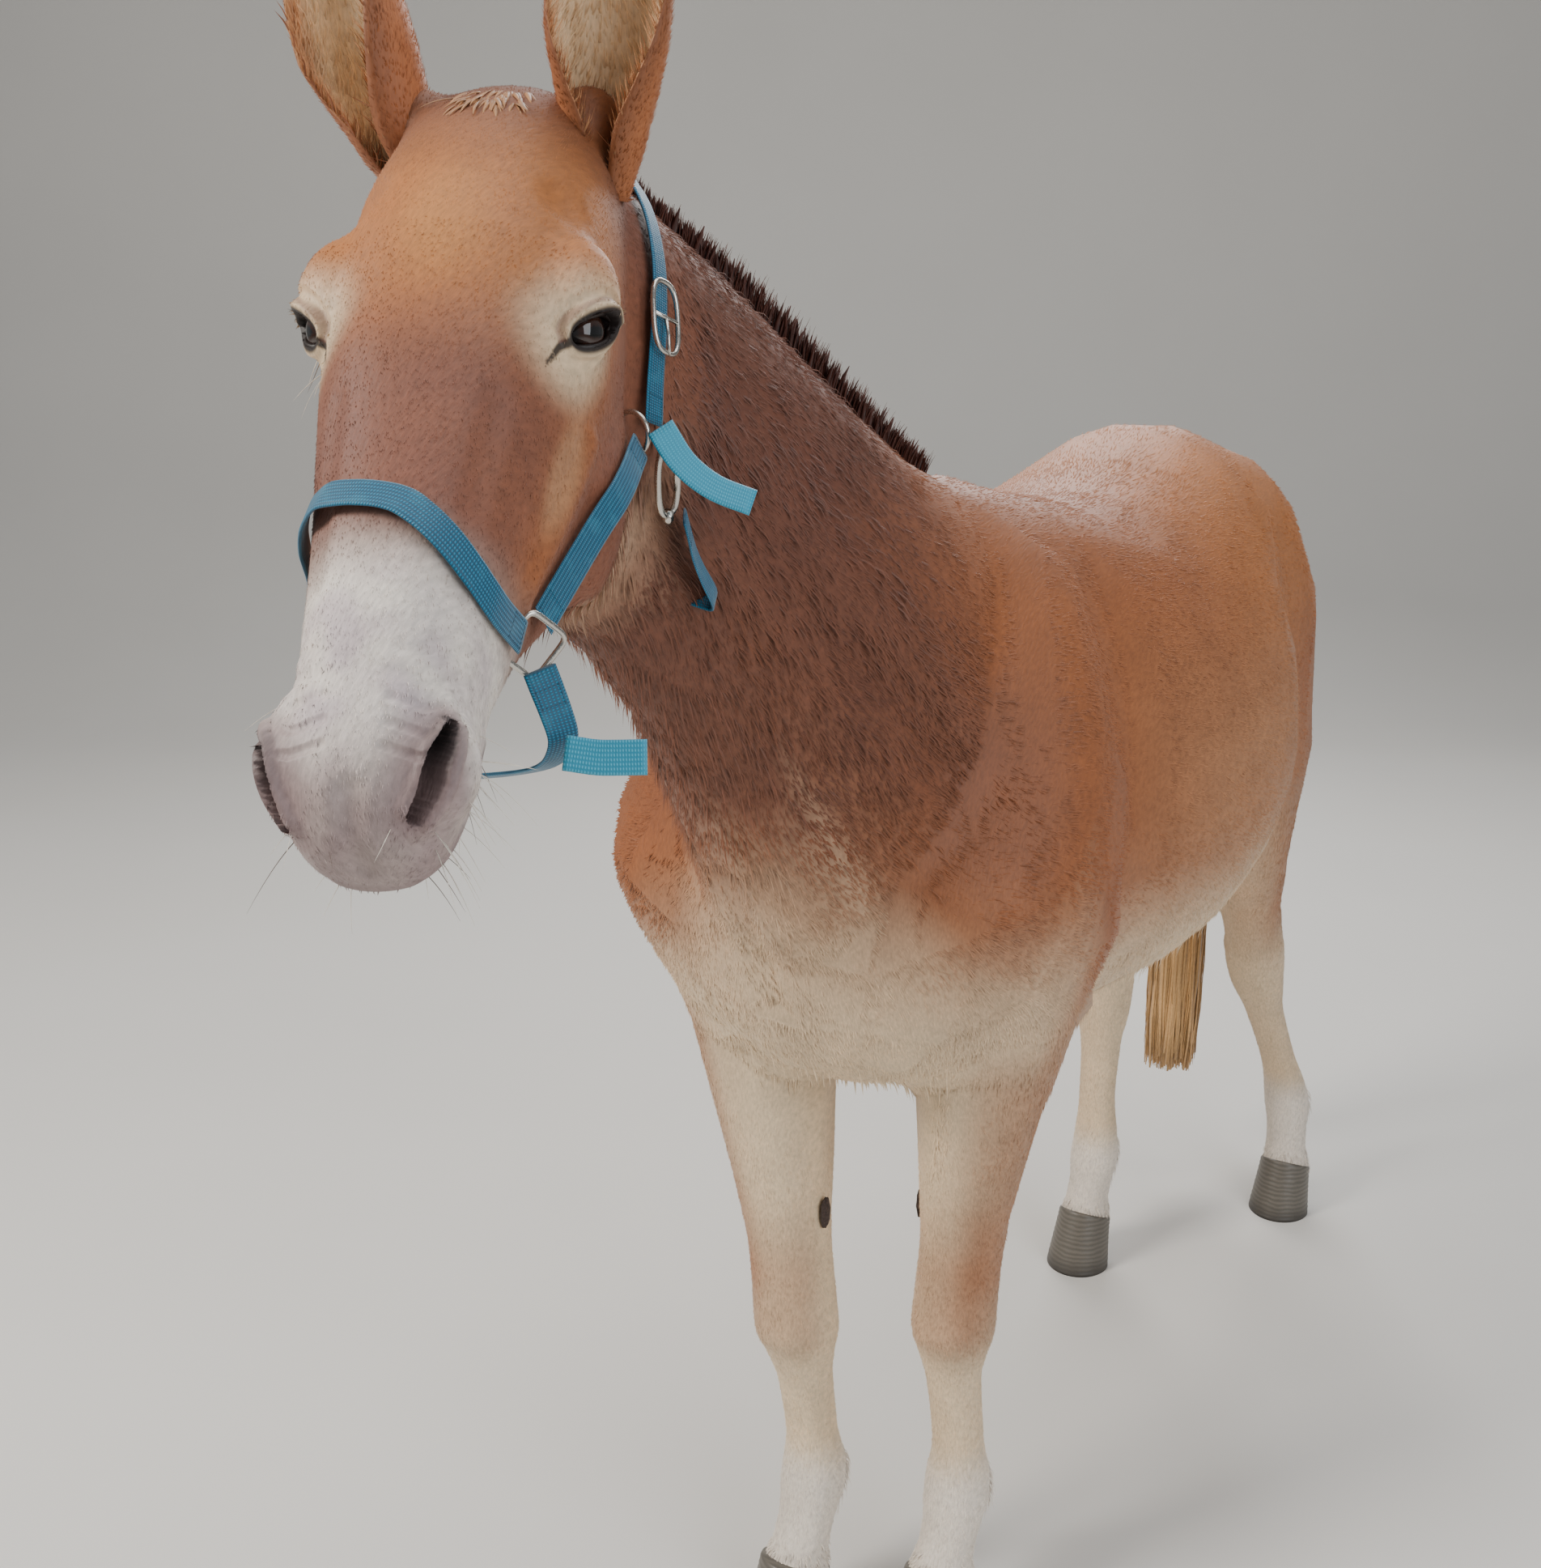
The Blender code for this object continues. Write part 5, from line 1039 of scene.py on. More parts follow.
def tufts(name, root, normal, way, place, colours, length, width, lift, droop=None):
    """Thin closed blades of hair that leave the skin at `lift` radians. With `droop` each blade has a
    middle ring and bends that way. Each one is a patch 0.003 across on the unwrap, at its root."""
    across = np.cross(way, normal)
    rise = way * np.cos(lift)[:, None] + normal * np.sin(lift)[:, None]
    top = np.cross(across, rise)
    w, h, long = (width / 2)[:, None], (width * 0.22)[:, None], length[:, None]
    base = root - normal * 0.0012
    ring = [base + across * w, base - across * w, base + top * h]
    spots = [(-0.0012, -0.0010), (0.0012, -0.0010), (0.0, -0.0006), (0.0, 0.0014)]
    # Painted shade: in both forms a blade is darker at its root, among the other hairs, and lighter towards
    # its tip.
    if droop is None:
        shape = np.stack(ring + [root + rise * long], axis=1)
        faces = [(0, 1, 2), (0, 3, 1), (1, 3, 2), (2, 3, 0)]
        shade_and_wear = np.array([0.86, 0.86, 0.95, 1.12])
    else:
        mid = root + rise * long * 0.5
        tip = root + rise * long * 0.9 + droop * long
        bend = [mid + across * w * 0.8, mid - across * w * 0.8, mid + top * h]
        shape = np.stack(ring + bend + [tip], axis=1)
        faces = [(0, 1, 2), (0, 3, 4), (0, 4, 1), (1, 4, 5), (1, 5, 2), (2, 5, 3), (2, 3, 0),
                 (3, 6, 4), (4, 6, 5), (5, 6, 3)]
        shade_and_wear = np.array([0.80, 0.80, 0.88, 1.0, 1.0, 1.04, 1.16])
        spots = spots[:3] + [(-0.0009, 0.0004), (0.0009, 0.0004), (0.0, 0.0006), (0.0, 0.0014)]
    faces, p = np.array(faces), shape[0]
    a, b, c = (p[faces[0, k]] for k in range(3))
    if np.dot(np.cross(b - a, c - a), p[-1] - p[0]) > 0:
        faces = faces[:, ::-1]
    return repeated(name, shape, faces, shade_and_wear, colours, place[:, None, :] + np.array(spots)[None])


def node(tree, kind, links=(), **settings):
    """Adds a shader node: plain settings by name, socket values by number or name, then its links."""
    made = tree.nodes.new(kind)
    for key, value in settings.items():
        if key == "values":
            for socket, number in value.items():
                made.inputs[socket].default_value = number
        else:
            setattr(made, key, value)
    for source, output, socket in links:
        tree.links.new(source.outputs[output], made.inputs[socket])
    return made


def material(name, rough=0.6, **sockets):
    """A Principled material, and its tree and shader."""
    made = bpy.data.materials.new(name)
    made.use_nodes = True
    tree = made.node_tree
    shader = tree.nodes["Principled BSDF"]
    shader.inputs["Roughness"].default_value = rough
    for socket, value in sockets.items():
        shader.inputs[socket.replace("_", " ")].default_value = value
    return made, tree, shader


def noise(tree, place, scale, detail):
    """A noise texture laid out by another node's output, which is given as the node and the output."""
    return node(tree, "ShaderNodeTexNoise", [(*place, "Vector")], values={"Scale": scale, "Detail": detail})


def between(tree, value, low, high, least, most):
    """A node's output between low and high, stretched to run between least and most."""
    limits = {"From Min": low, "From Max": high, "To Min": least, "To Max": most}
    return node(tree, "ShaderNodeMapRange", [(*value, "Value")], values=limits)


def bump(tree, shader, height, strength, distance):
    values = {"Strength": strength, "Distance": distance}
    raised = node(tree, "ShaderNodeBump", [(*height, "Height")], values=values)
    tree.links.new(raised.outputs[0], shader.inputs["Normal"])


def two_tone(tree, share, first, second):
    """Two colours mixed by a node's output. Each is a hex colour, or a node and its output."""
    links, values = [(*share, 0)], {}
    for socket, colour in ((6, first), (7, second)):
        if isinstance(colour, str):
            values[socket] = (*linear(colour), 1)
        else:
            links.append((*colour, socket))
    return node(tree, "ShaderNodeMix", links, data_type="RGBA", values=values)


def hair_material(name, rough, raised, grain=(420, 90, 160)):
    """Short glossy horse hair: the tint stored on the mesh, finer streaks, and a soft sheen."""
    made, tree, shader = material(name, rough, Sheen_Weight=0.06, Sheen_Roughness=0.4)
    place = node(tree, "ShaderNodeTexCoord")
    stretch = node(tree, "ShaderNodeMapping", [(place, "Object", "Vector")], values={"Scale": grain})
    streak = noise(tree, (stretch, "Vector"), 1.0, 3.0)
    patch = noise(tree, (place, "Object"), 14.0, 4.0)
    tinted = node(tree, "ShaderNodeAttribute", attribute_name="coat")
    light = between(tree, (streak, "Fac"), 0.25, 0.75, 0.80, 1.16)
    cloud = between(tree, (patch, "Fac"), 0.3, 0.7, 0.92, 1.07)
    both = node(tree, "ShaderNodeMath", [(light, "Result", 0), (cloud, "Result", 1)], operation="MULTIPLY")
    colour = node(tree, "ShaderNodeVectorMath", [(tinted, "Color", 0)], operation="SCALE")
    tree.links.new(both.outputs[0], colour.inputs["Scale"])
    tree.links.new(colour.outputs[0], shader.inputs["Base Color"])
    if raised:
        bump(tree, shader, (streak, "Fac"), raised, 0.0012)
    return made


def finish_piece(obj, finish, nodes=(), smooth=True):
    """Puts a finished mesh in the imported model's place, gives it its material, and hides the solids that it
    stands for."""
    obj.data.transform(Matrix.Translation(SHIFT))
    obj.data.materials.clear()
    obj.data.materials.append(finish)
    obj.data.polygons.foreach_set("use_smooth", [smooth] * len(obj.data.polygons))
    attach(obj, "root")
    if nodes:
        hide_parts(*nodes)


def unwrap(obj):
    """An unwrap of the piece's own shape, on the map named OFBake."""
    bpy.ops.object.select_all(action="DESELECT")
    bpy.context.view_layer.objects.active = obj
    obj.select_set(True)
    obj.data.uv_layers.new(name="OFBake")
    bpy.ops.object.mode_set(mode="EDIT")
    bpy.ops.mesh.select_all(action="SELECT")
    bpy.ops.uv.smart_project(angle_limit=math.radians(72), island_margin=0.001)
    bpy.ops.object.mode_set(mode="OBJECT")


def refined(obj, spots):
    """Faces near the given spots split in four, in as many rounds as a spot has radii."""
    bm = bmesh.new()
    bm.from_mesh(obj.data)
    for turn in range(max(len(radii) for _, radii in spots)):
        edges = set()
        centres = [(np.array(spot), radii[turn]) for spot, radii in spots if len(radii) > turn]
        where = np.array([v.co for v in bm.verts])
        near = np.zeros(len(where), bool)
        for centre, radius in centres:
            near |= np.linalg.norm(where - centre, axis=1) < radius
        bm.verts.ensure_lookup_table()
        for i in np.nonzero(near)[0]:
            edges.update(bm.verts[i].link_edges)
        bmesh.ops.subdivide_edges(bm, edges=list(edges), cuts=1, use_grid_fill=True)
        bmesh.ops.triangulate(bm, faces=[f for f in bm.faces if len(f.verts) > 3])
        close = [v for v in bm.verts if any(np.linalg.norm(np.array(v.co) - c) < r for c, r in centres)]
        bmesh.ops.smooth_vert(bm, verts=close, factor=0.5, use_axis_x=True, use_axis_y=True, use_axis_z=True)
    bm.to_mesh(obj.data)
    bm.free()


def mouth_path():
    """The line between the lips, round the front of the muzzle."""
    path = []
    for k in range(25):
        a = -math.pi / 2 + math.pi * k / 24
        along = 0.525 + 0.100 * math.cos(a) ** 0.85
        path.append(on_head(along, 0.062 * math.sin(a), MOUTH_ABOVE - 0.16 * (0.62 - along)))
    return path


def nostril_path(mirror, surface):
    """A nostril's slit as spots on the skin with their half widths, and the way into the head."""
    rows = ((0.562, 0.055, -0.016), (0.580, 0.054, -0.008), (0.600, 0.049, -0.014), (0.618, 0.038, -0.030))
    # The right nostril opens a little further round the side.
    low = 0.0 if mirror > 0 else 0.012
    path = [on_head(along, mirror * (side + low / 2), above - low) for along, side, above in rows]
    path = smooth_path(path, 14)
    spots = np.array([surface.find_nearest(p)[0] for p in path])
    radii = np.interp(np.linspace(0, 1, 14), (0, 0.3, 0.6, 1), (0.0030, 0.0056, 0.0068, 0.0040))
    inward = np.array(head_direction(-0.50, -mirror * 0.70, -0.45))
    run = (spots[-1] - spots[0]) / np.linalg.norm(spots[-1] - spots[0])
    inward = inward - run * (inward @ run)
    return spots, radii, inward / np.linalg.norm(inward)


def shape_face(skin):
    """Lids and folds round the eyes, the sockets, the nostrils, the mouth line and the nose's wrinkles."""
    surface = surface_of([skin])
    strokes = []
    for mirror in (1, -1):
        centre, long, across, out = eye_frame(mirror)

        def round_eye(wide, tall, first, last, steps=13):
            path = []
            for k in range(steps):
                a = math.radians(first + (last - first) * k / (steps - 1))
                p = centre + long * math.cos(a) * wide + across * (math.sin(a) * tall + EYE_RAISED)
                path.append(surface.find_nearest(p + out * 0.02)[0])
            return path

        strokes.append((round_eye(0.0280, 0.0152, 6, 174), 0.0070, 0.0040))
        strokes.append((round_eye(0.0280, 0.0146, -174, -6), 0.0065, 0.0024))
        strokes.append((round_eye(0.0345, 0.0240, 20, 160), 0.0052, -0.0020))
        strokes.append((round_eye(0.0380, 0.0240, -160, -30), 0.0060, -0.0010))
        for k in range(5):
            a, b = 0.520 + 0.016 * k, 0.505 + 0.018 * k
            row = ((a, 0.020, 0.0), (b + 0.012, 0.042, -0.004), (b - 0.002, 0.060, -0.030))
            row = [on_head(along, mirror * side, above) for along, side, above in row]
            strokes.append(([surface.find_nearest(p)[0] for p in row], 0.0042, -0.0018))
        for k in range(4):
            row = ((0.505 - 0.011 * k, mirror * 0.055, -0.085), (0.500 - 0.012 * k, mirror * 0.052, -0.118))
            strokes.append(([surface.find_nearest(on_head(*p))[0] for p in row], 0.0050, -0.0013))
    strokes.append(([surface.find_nearest(p)[0] for p in mouth_path()], 0.0055, -0.0070))
    for lip in (0.009, -0.009):
        row = [surface.find_nearest(p + HEAD_AXES[1] * lip)[0] for p in mouth_path()]
        strokes.append((row, 0.0080, 0.0022))
    for mirror in (1, -1):
        path = nostril_path(mirror, surface)
        SHARED["nostrils"][mirror] = path
        spots, radii, inward = path
        beside = np.cross(spots[-1] - spots[0], inward)
        beside /= np.linalg.norm(beside)
        for turn in (1, -1):
            row = [Vector(s + beside * turn * (r + 0.005)) for s, r in zip(spots, radii)]
            strokes.append(([surface.find_nearest(p)[0] for p in row], 0.0075, 0.0030))
    brush(skin, strokes)
    points, normals, _, _ = arrays_of(skin)
    for mirror in (1, -1):
        centre, long, across, out = (np.array(v) for v in eye_frame(mirror))
        rel = points - centre
        u, v, w = rel @ long, rel @ across - EYE_RAISED, rel @ out
        reach = np.hypot(u, v)
        limit = (np.abs(u) / EYE_OPENING[0]) ** 2 + (np.abs(v) / EYE_OPENING[1]) ** 1.6
        cover = np.sqrt(np.clip((EYE_RADIUS + 0.0018) ** 2 - u * u - v * v, 0, 1)) * (reach < EYE_RADIUS)
        pushed = (w > 0) * (cover > 0) * ramp(limit, 0.85, 1.05) * np.clip(cover - w, 0, 0.02)
        points += out * pushed[:, None]
        inside = (w > 0) * (reach < 0.04) * (1 - ramp(limit, 0.72, 1.0))
        points -= out * (inside * np.clip(w - 0.004, 0, 1))[:, None]
        spots, radii, inward = SHARED["nostrils"][mirror]
        hole = (np.linalg.norm(points[:, None, :] - spots[None], axis=2) / radii[None]).min(axis=1)
        points += inward * ((1 - ramp(hole, 0.65, 1.20)) * 0.024)[:, None]
    move_points(skin, points)


def kept_near_head(skin, triangles):
    """Thins the body's facets and leaves the head's fine."""
    group = skin.vertex_groups.new(name="thin_here")
    points, _, _, _ = arrays_of(skin)
    weight = 1 - ramp(head_share(points), 0.2, 0.8)
    legs = ramp(-points[:, 2], -0.70, -0.50) * 0.4
    weight = np.clip(weight - legs, 0, 1)
    for level in range(11):
        picked = np.nonzero(np.round(weight * 10) == level)[0]
        if len(picked):
            group.add(picked.tolist(), level / 10, "REPLACE")
    ratio = min(1, triangles / sum(len(f.vertices) - 2 for f in skin.data.polygons))
    modified(skin, "DECIMATE", ratio=ratio, use_collapse_triangulate=True, vertex_group=group.name,
             vertex_group_factor=4.0)
    skin.vertex_groups.clear()


def make_skin(sizes):
    core = [trunk_loft(), neck_loft()]
    core += [leg_loft(leg, leg_sections(leg)) for leg in STANCE]
    core = fused(joined("core", core), CORE_VOXEL, CORE_SMOOTHING_ROUNDS)
    pieces = [core, *head_lofts()]
    for leg in STANCE:
        limit = 0.86 if leg.startswith("fore") else 0.80
        pieces.append(leg_loft(leg, [row for row in leg_sections(leg) if row[0] < limit]))
    voxel = sizes.voxel
    skin = fused(joined("skin", pieces), voxel, round(10 * (0.007 / voxel) ** 2))
    sculpt_body(skin)
    sculpt_head(skin)
    kept_near_head(skin, 118000)
    spots = []
    for mirror in (1, -1):
        spots.append((eye_frame(mirror)[0], (0.070, 0.050)))
        spots.append((on_head(0.592, mirror * 0.046, -0.022), (0.060, 0.045)))
    spots += [(p, (0.022, 0.014)) for p in mouth_path()[::2]]
    refined(skin, spots)
    shape_face(skin)
    points, normals, _, _ = arrays_of(skin)
    for leg in STANCE:
        # Inside the hooves the skin draws in, so that none of it shows through the horn.
        middle = np.array(leg_centre(leg, CORONET[0]))[:2]
        off = points[:, :2] - middle
        under = CORONET[0] - off[:, 1] * CORONET[1] - points[:, 2]
        shrink = 0.24 * ramp(under, 0.007, 0.022) * (np.hypot(off[:, 0], off[:, 1]) < 0.12)
        points[:, :2] -= off * shrink[:, None]
    deep = sizes.depth * (1 - 0.55 * head_share(points))
    points -= normals * deep[:, None]
    move_points(skin, points)
    unwrap(skin)
    arrays = arrays_of(skin)
    tint(skin, markings(arrays[0], arrays[1]))
    SHARED["skin"] = arrays
    SHARED["surface"] = surface_of([skin])
    finish_piece(skin, hair_material("short horse hair and skin", 0.58, 0.5), FLESH)


def away_from_openings(points):
    """Less than 1 near the eyes, nostrils and lips, where no tuft may root."""
    share = np.ones(len(points))
    for mirror in (1, -1):
        centre, long, across, out = (np.array(v) for v in eye_frame(mirror))
        rel = points - centre
        u, v = rel @ long, rel @ across
        share *= ramp(np.hypot(u / 0.029, v / 0.020), 0.95, 1.05)
        hole = np.array(on_head(0.588, mirror * 0.046, -0.022))
        share *= ramp(np.linalg.norm(points - hole, axis=1), 0.022, 0.034)
    along, _, above = head_places(points)
    lips = (along > 0.51) & (np.abs(above - MOUTH_ABOVE + 0.005) < 0.012)
    return share * np.where(head_share(points) * lips > 0.5, 0.0, 1.0)


def coat_piece(name, weights, count, seed, sizes, finish):
    """A spread of short tufts over a part of the skin."""
    arrays = SHARED["skin"]
    root, normal, place, rng = roots_on(arrays, weights * away_from_openings(arrays[0]), count, seed)
    way = lie_of(root, normal)
    head = head_share(root)
    leg = ramp(-root[:, 2], -0.85, -0.60)
    length = sizes.length * (1 - 0.60 * head - 0.38 * leg) * rng.uniform(0.75, 1.3, count)
    width = sizes.width * (1 - 0.42 * head - 0.30 * leg) * rng.uniform(0.8, 1.2, count)
    lift = np.radians(rng.uniform(5, 13, count))
    turn = rng.normal(0, 0.16, count)[:, None]
    way = way + np.cross(way, normal) * turn
    way /= np.linalg.norm(way, axis=1)[:, None]
    colours = markings(root, normal) * rng.uniform(0.90, 1.12, count)[:, None]
    made = tufts(name, root, normal, way, place, colours, length, width, lift)
    finish_piece(made, finish, smooth=False)


def make_coat(sizes):
    """The short coat in five pieces from the head to the quarters, then the longer hair."""
    points = SHARED["skin"][0]
    y = points[:, 1]
    head = head_share(points)
    body = 1 - head
    legs_finer = body * (1 + 2.2 * ramp(-points[:, 2], -0.85, -0.60))
    finish = hair_material("short horse hair tufts", 0.60, 0.0)
    part = 1
    for name, weights, count, seed in (
        ("coat_head", head, sizes.head_count, 11),
        ("coat_neck", body * (y < -0.58), sizes.count, 15),
        ("coat_forehand", legs_finer * ((y >= -0.58) & (y < -0.25)), sizes.count, 12),
        ("coat_barrel", legs_finer * ((y >= -0.25) & (y < 0.25)), int(sizes.count * 0.8), 13),
        ("coat_quarters", legs_finer * (y >= 0.25), sizes.count, 14),
    ):
        coat_piece(name, weights, count // part, seed, sizes, finish)
    make_long_hair(part)


def make_long_hair(part):
    """Longer hanging hair: under the jaw and neck, along the breast and belly, and behind the fetlocks."""
    arrays = SHARED["skin"]
    points, normals = arrays[:2]
    head = head_share(points)
    along, _, above = head_places(points)
    behind = leg_places(points)[2]
    neck = (1 - head) * ramp(-points[:, 1], 0.50, 0.75) * ramp(points[:, 2], 1.05, 1.20)
    under = ramp(-normals[:, 2], -0.35, 0.5) + 0.30
    jaw = head * ramp(-above, 0.19, 0.26) * ramp(-along, -0.44, -0.34)
    midline = ramp(-normals[:, 2], 0.6, 0.95) * (points[:, 2] > 0.6) * (points[:, 2] < 0.95)
    fetlock = ramp(-points[:, 2], -0.235, -0.205) * ramp(points[:, 2], 0.13, 0.165)
    fetlock = fetlock * ramp(behind, 0.012, 0.035)
    cuff = ramp(-points[:, 2], -0.125, -0.105)
    weights = neck * under + 1.6 * jaw + 0.8 * midline + 14 * fetlock + 5 * cuff * (points[:, 2] > 0.085)
    count = 9000 // part
    root, normal, place, rng = roots_on(arrays, weights * (1 - head * (along > 0.46)), count, 21)
    way = lie_of(root, normal)
    low = ramp(-root[:, 2], -0.30, -0.22)
    length = np.where(low > 0.5, 0.020, 0.024) * rng.uniform(0.7, 1.35, count)
    length = np.where(root[:, 2] < 0.125, 0.012, length)
    width = 0.0022 * rng.uniform(0.8, 1.3, count)
    lift = np.radians(rng.uniform(10, 24, count))
    droop = np.zeros((count, 3))
    droop[:, 2] = -0.22
    colours = markings(root, normal) * rng.uniform(0.86, 1.12, count)[:, None]
    made = tufts("coat_long_hair", root, normal, way, place, colours, length, width, lift, droop)
    finish_piece(made, hair_material("longer neck and fetlock hair", 0.55, 0.0), smooth=False)


def blades(name, paths, widths, thickness, faces, colours):
    """Many hair locks at once. paths: locks x rings x 3; the last ring is the tip. Each lock has a
    four-sided section that faces `faces`, and its own place on the unwrap."""
    paths = np.asarray(paths, float)
    count, rings, _ = paths.shape
    forward = np.gradient(paths, axis=1)
    forward /= np.maximum(np.linalg.norm(forward, axis=2), 1e-9)[:, :, None]
    normal = np.asarray(faces, float)[:, None, :] * np.ones((1, rings, 1))
    normal = normal - forward * np.sum(normal * forward, axis=2)[:, :, None]
    normal /= np.maximum(np.linalg.norm(normal, axis=2), 1e-9)[:, :, None]
    across = np.cross(forward, normal)
    w = np.asarray(widths, float)[:, :, None] / 2
    t = np.minimum(w * 0.5, thickness / 2)
    wide, thick = across * w, normal * t
    section = np.stack([paths + wide, paths + thick, paths - wide, paths - thick], axis=2)
    points = section.reshape(count, rings * 4, 3)
    faces_of = []
    for r in range(rings - 1):
        for k in range(4):
            n = (k + 1) % 4
            a, b, c, d = r * 4 + k, r * 4 + n, r * 4 + 4 + n, r * 4 + 4 + k
            faces_of += [(a, b, c), (a, c, d)]
    end = (rings - 1) * 4
    faces_of += [(2, 1, 0), (3, 2, 0), (end, end + 1, end + 2), (end, end + 2, end + 3)]
    faces_of = np.array(faces_of)
    a, b, c = (points[0, faces_of[0, k]] for k in range(3))
    if np.dot(np.cross(b - a, c - a), (a + b + c) / 3 - points[0, :8].mean(axis=0)) < 0:
        faces_of = faces_of[:, ::-1]
    columns = math.ceil(math.sqrt(count))
    order = np.arange(count)
    spot = (np.stack([order % columns, order // columns], axis=1) + 0.5) / columns
    size = 0.8 / columns
    ring = np.repeat(np.linspace(-0.5, 0.5, rings), 4) * size
    turn = np.tile(np.array([-0.5, -0.17, 0.17, 0.5]), rings) * size
    around = spot[:, None, :] + np.stack([turn, ring], axis=1)[None]
    # Painted shade: each lock is darker at its root and lighter towards its tip.
    shade_and_wear = np.repeat(np.linspace(0.78, 1.15, rings), 4)
    return repeated(name, points, faces_of, shade_and_wear, np.asarray(colours), around)


def ear_point(mirror, v, u, deep=0.0):
    """A point of an ear: v from base to tip, u from one rim to the other, and how deep inside its wall."""
    base, direction, opening = EARS[mirror]
    base = on_head(*base)
    direction = Vector(direction).normalized()
    opening = Vector(opening)
    opening = (opening - direction * opening.dot(direction)).normalized()
    side = direction.cross(opening)
    table = np.array(EAR_PROFILE)
    half_width, curl = eased(table[:, 0], table[:, 1:], np.array([max(0.0, v)]))[0]
    half_width *= 1 - 0.34 * max(0.0, 1 - (v + EAR_FOOT) / 0.16) ** 1.5
    curl = math.radians(curl)
    radius = half_width if curl > math.pi / 2 else half_width / math.sin(curl)
    rim = min(1.0, (1 - abs(u)) * 5 + 0.35)
    r = radius - min(EAR_THICKNESS * 0.85, radius * 0.5) * rim * deep
    lean = 0.035 * v * v - 0.020 * v
    back = base + direction * (EAR_LENGTH * v) + opening * lean - opening * 0.035 * (1 - 0.6 * v)
    a = u * curl
    return back + opening * (radius - r * math.cos(a)) + side * r * math.sin(a)


def make_ears():
    """Both ears: a curled shell of skin with short fur outside and long hair inside."""
    rows, columns = 44, 28
    part = 1
    for mirror, word in ((1, "left"), (-1, "right")):
        points, faces, colours = [], [], []
        for deep in (0.06, 1.0):
            for i in range(rows + 1):
                v = -EAR_FOOT + (1 + EAR_FOOT) * i / rows
                for j in range(columns + 1):
                    u = -1 + 2 * j / columns
                    fold = 0.0016 * math.sin(u * 9 + v * 3) * math.sin(math.pi * v) if deep > 0.5 else 0
                    points.append(ear_point(mirror, v, u, deep + fold / EAR_THICKNESS))
                    edge = ramp(abs(u), 0.72, 0.98)
                    if deep < 0.5:
                        tone = over(linear("#A8653A"), "#4A2B1C", ramp(v, 0.62, 0.98) * 0.62)
                        tone = over(tone, "#55321F", edge * 0.5)
                    else:
                        tone = over(linear("#E6CBA6"), "#B4733F", edge * 0.8)
                        # Painted shade: the inside of the ear darkens towards its base, deep in its hollow.
                        tone = tone * (0.50 + 0.50 * ramp(v, 0.00, 0.16))
                    colours.append(tone)
        count = columns + 1
        half = (rows + 1) * count
        for i in range(rows):
            for j in range(columns):
                a, d = i * count + j, (i + 1) * count + j
                faces += [(a, a + 1, d + 1, d), (half + d, half + d + 1, half + a + 1, half + a)]
            for j in (0, columns):
                a, b = i * count + j, (i + 1) * count + j
                faces.append((a, b, half + b, half + a))
        for i in (0, rows):
            for a in range(i * count, i * count + columns):
                faces.append((a, a + 1, half + a + 1, half + a))
        ear_shell = closed_body("ear_shell_" + word, points, faces)
        unwrap(ear_shell)
        tint(ear_shell, np.array(colours))
        arrays = arrays_of(ear_shell)
        inner_share = np.r_[np.zeros(half), np.ones(half)]
        place_in = np.arange(2 * half) % half
        height_in = place_in // count / rows
        rim = np.abs(-1 + 2 * (place_in % count) / columns)
        lining = inner_share * (0.25 + rim ** 3) * (1.05 - height_in) * (height_in > 0.05)
        direction = np.array(Vector(EARS[mirror][1]).normalized())
        opening = np.array(Vector(EARS[mirror][2]).normalized())
        tones = np.array(colours)
        for name, weights, number, long, wide, angle, seed in (
            ("ear_fur_" + word, 1 - inner_share * 0.55, 7000, 0.0065, 0.0017, (8, 20), 31),
            ("ear_long_hair_" + word, lining, 1500, 0.020, 0.0014, (18, 42), 32),
        ):
            root, normal, place, rng = roots_on(arrays, weights, number // part, seed + mirror)
            way = direction + rng.normal(0, 0.16, (len(root), 3))
            way = way - normal * np.sum(way * normal, axis=1)[:, None]
            way /= np.maximum(np.linalg.norm(way, axis=1), 1e-9)[:, None]
            nearest = nearest_colours(arrays[0], tones, root)
            length = long * rng.uniform(0.6, 1.3, len(root))
            height = (root - np.array(on_head(*EARS[mirror][0]))) @ direction / EAR_LENGTH
            length *= np.clip((1.03 - height) / 0.25, 0.35, 1)
            width = wide * rng.uniform(0.8, 1.3, len(root))
            lift = np.radians(rng.uniform(*angle, len(root)))
            pale = 1.08 if "long" in name else 1.0
            shades = np.clip(nearest * pale * rng.uniform(0.86, 1.14, len(root))[:, None], 0, 1)
            droop = np.tile(opening * 0.18, (len(root), 1)) if "long" in name else None
            made = tufts(name, root, normal, way, place, shades, length, width, lift, droop)
            finish_piece(made, hair_material("ear hair", 0.6, 0.0), smooth=False)
        finish = hair_material("ear skin and fine hair", 0.62, 0.3, (500, 500, 110))
        finish_piece(ear_shell, finish, ["ear_" + word])


def nearest_colours(points, colours, spots):
    """The colour of the nearest of some points, for each spot."""
    tree = KDTree(len(points))
    for i, p in enumerate(points):
        tree.insert(p, i)
    tree.balance()
    return np.array([colours[tree.find(s)[1]] for s in spots])


def crest_spot(y, sideways):
    """A place on the skin over the neck's crest."""
    table = np.array([row[:3] for row in NECK], float)[::-1]
    x, z = eased(table[:, 1], table[:, [0, 2]], np.array([y]))[0]
    spot = Vector((x + sideways, y, z))
    return SHARED["surface"].ray_cast(spot + Vector((0, 0, 0.3)), Vector((0, 0, -1)))[0] or spot


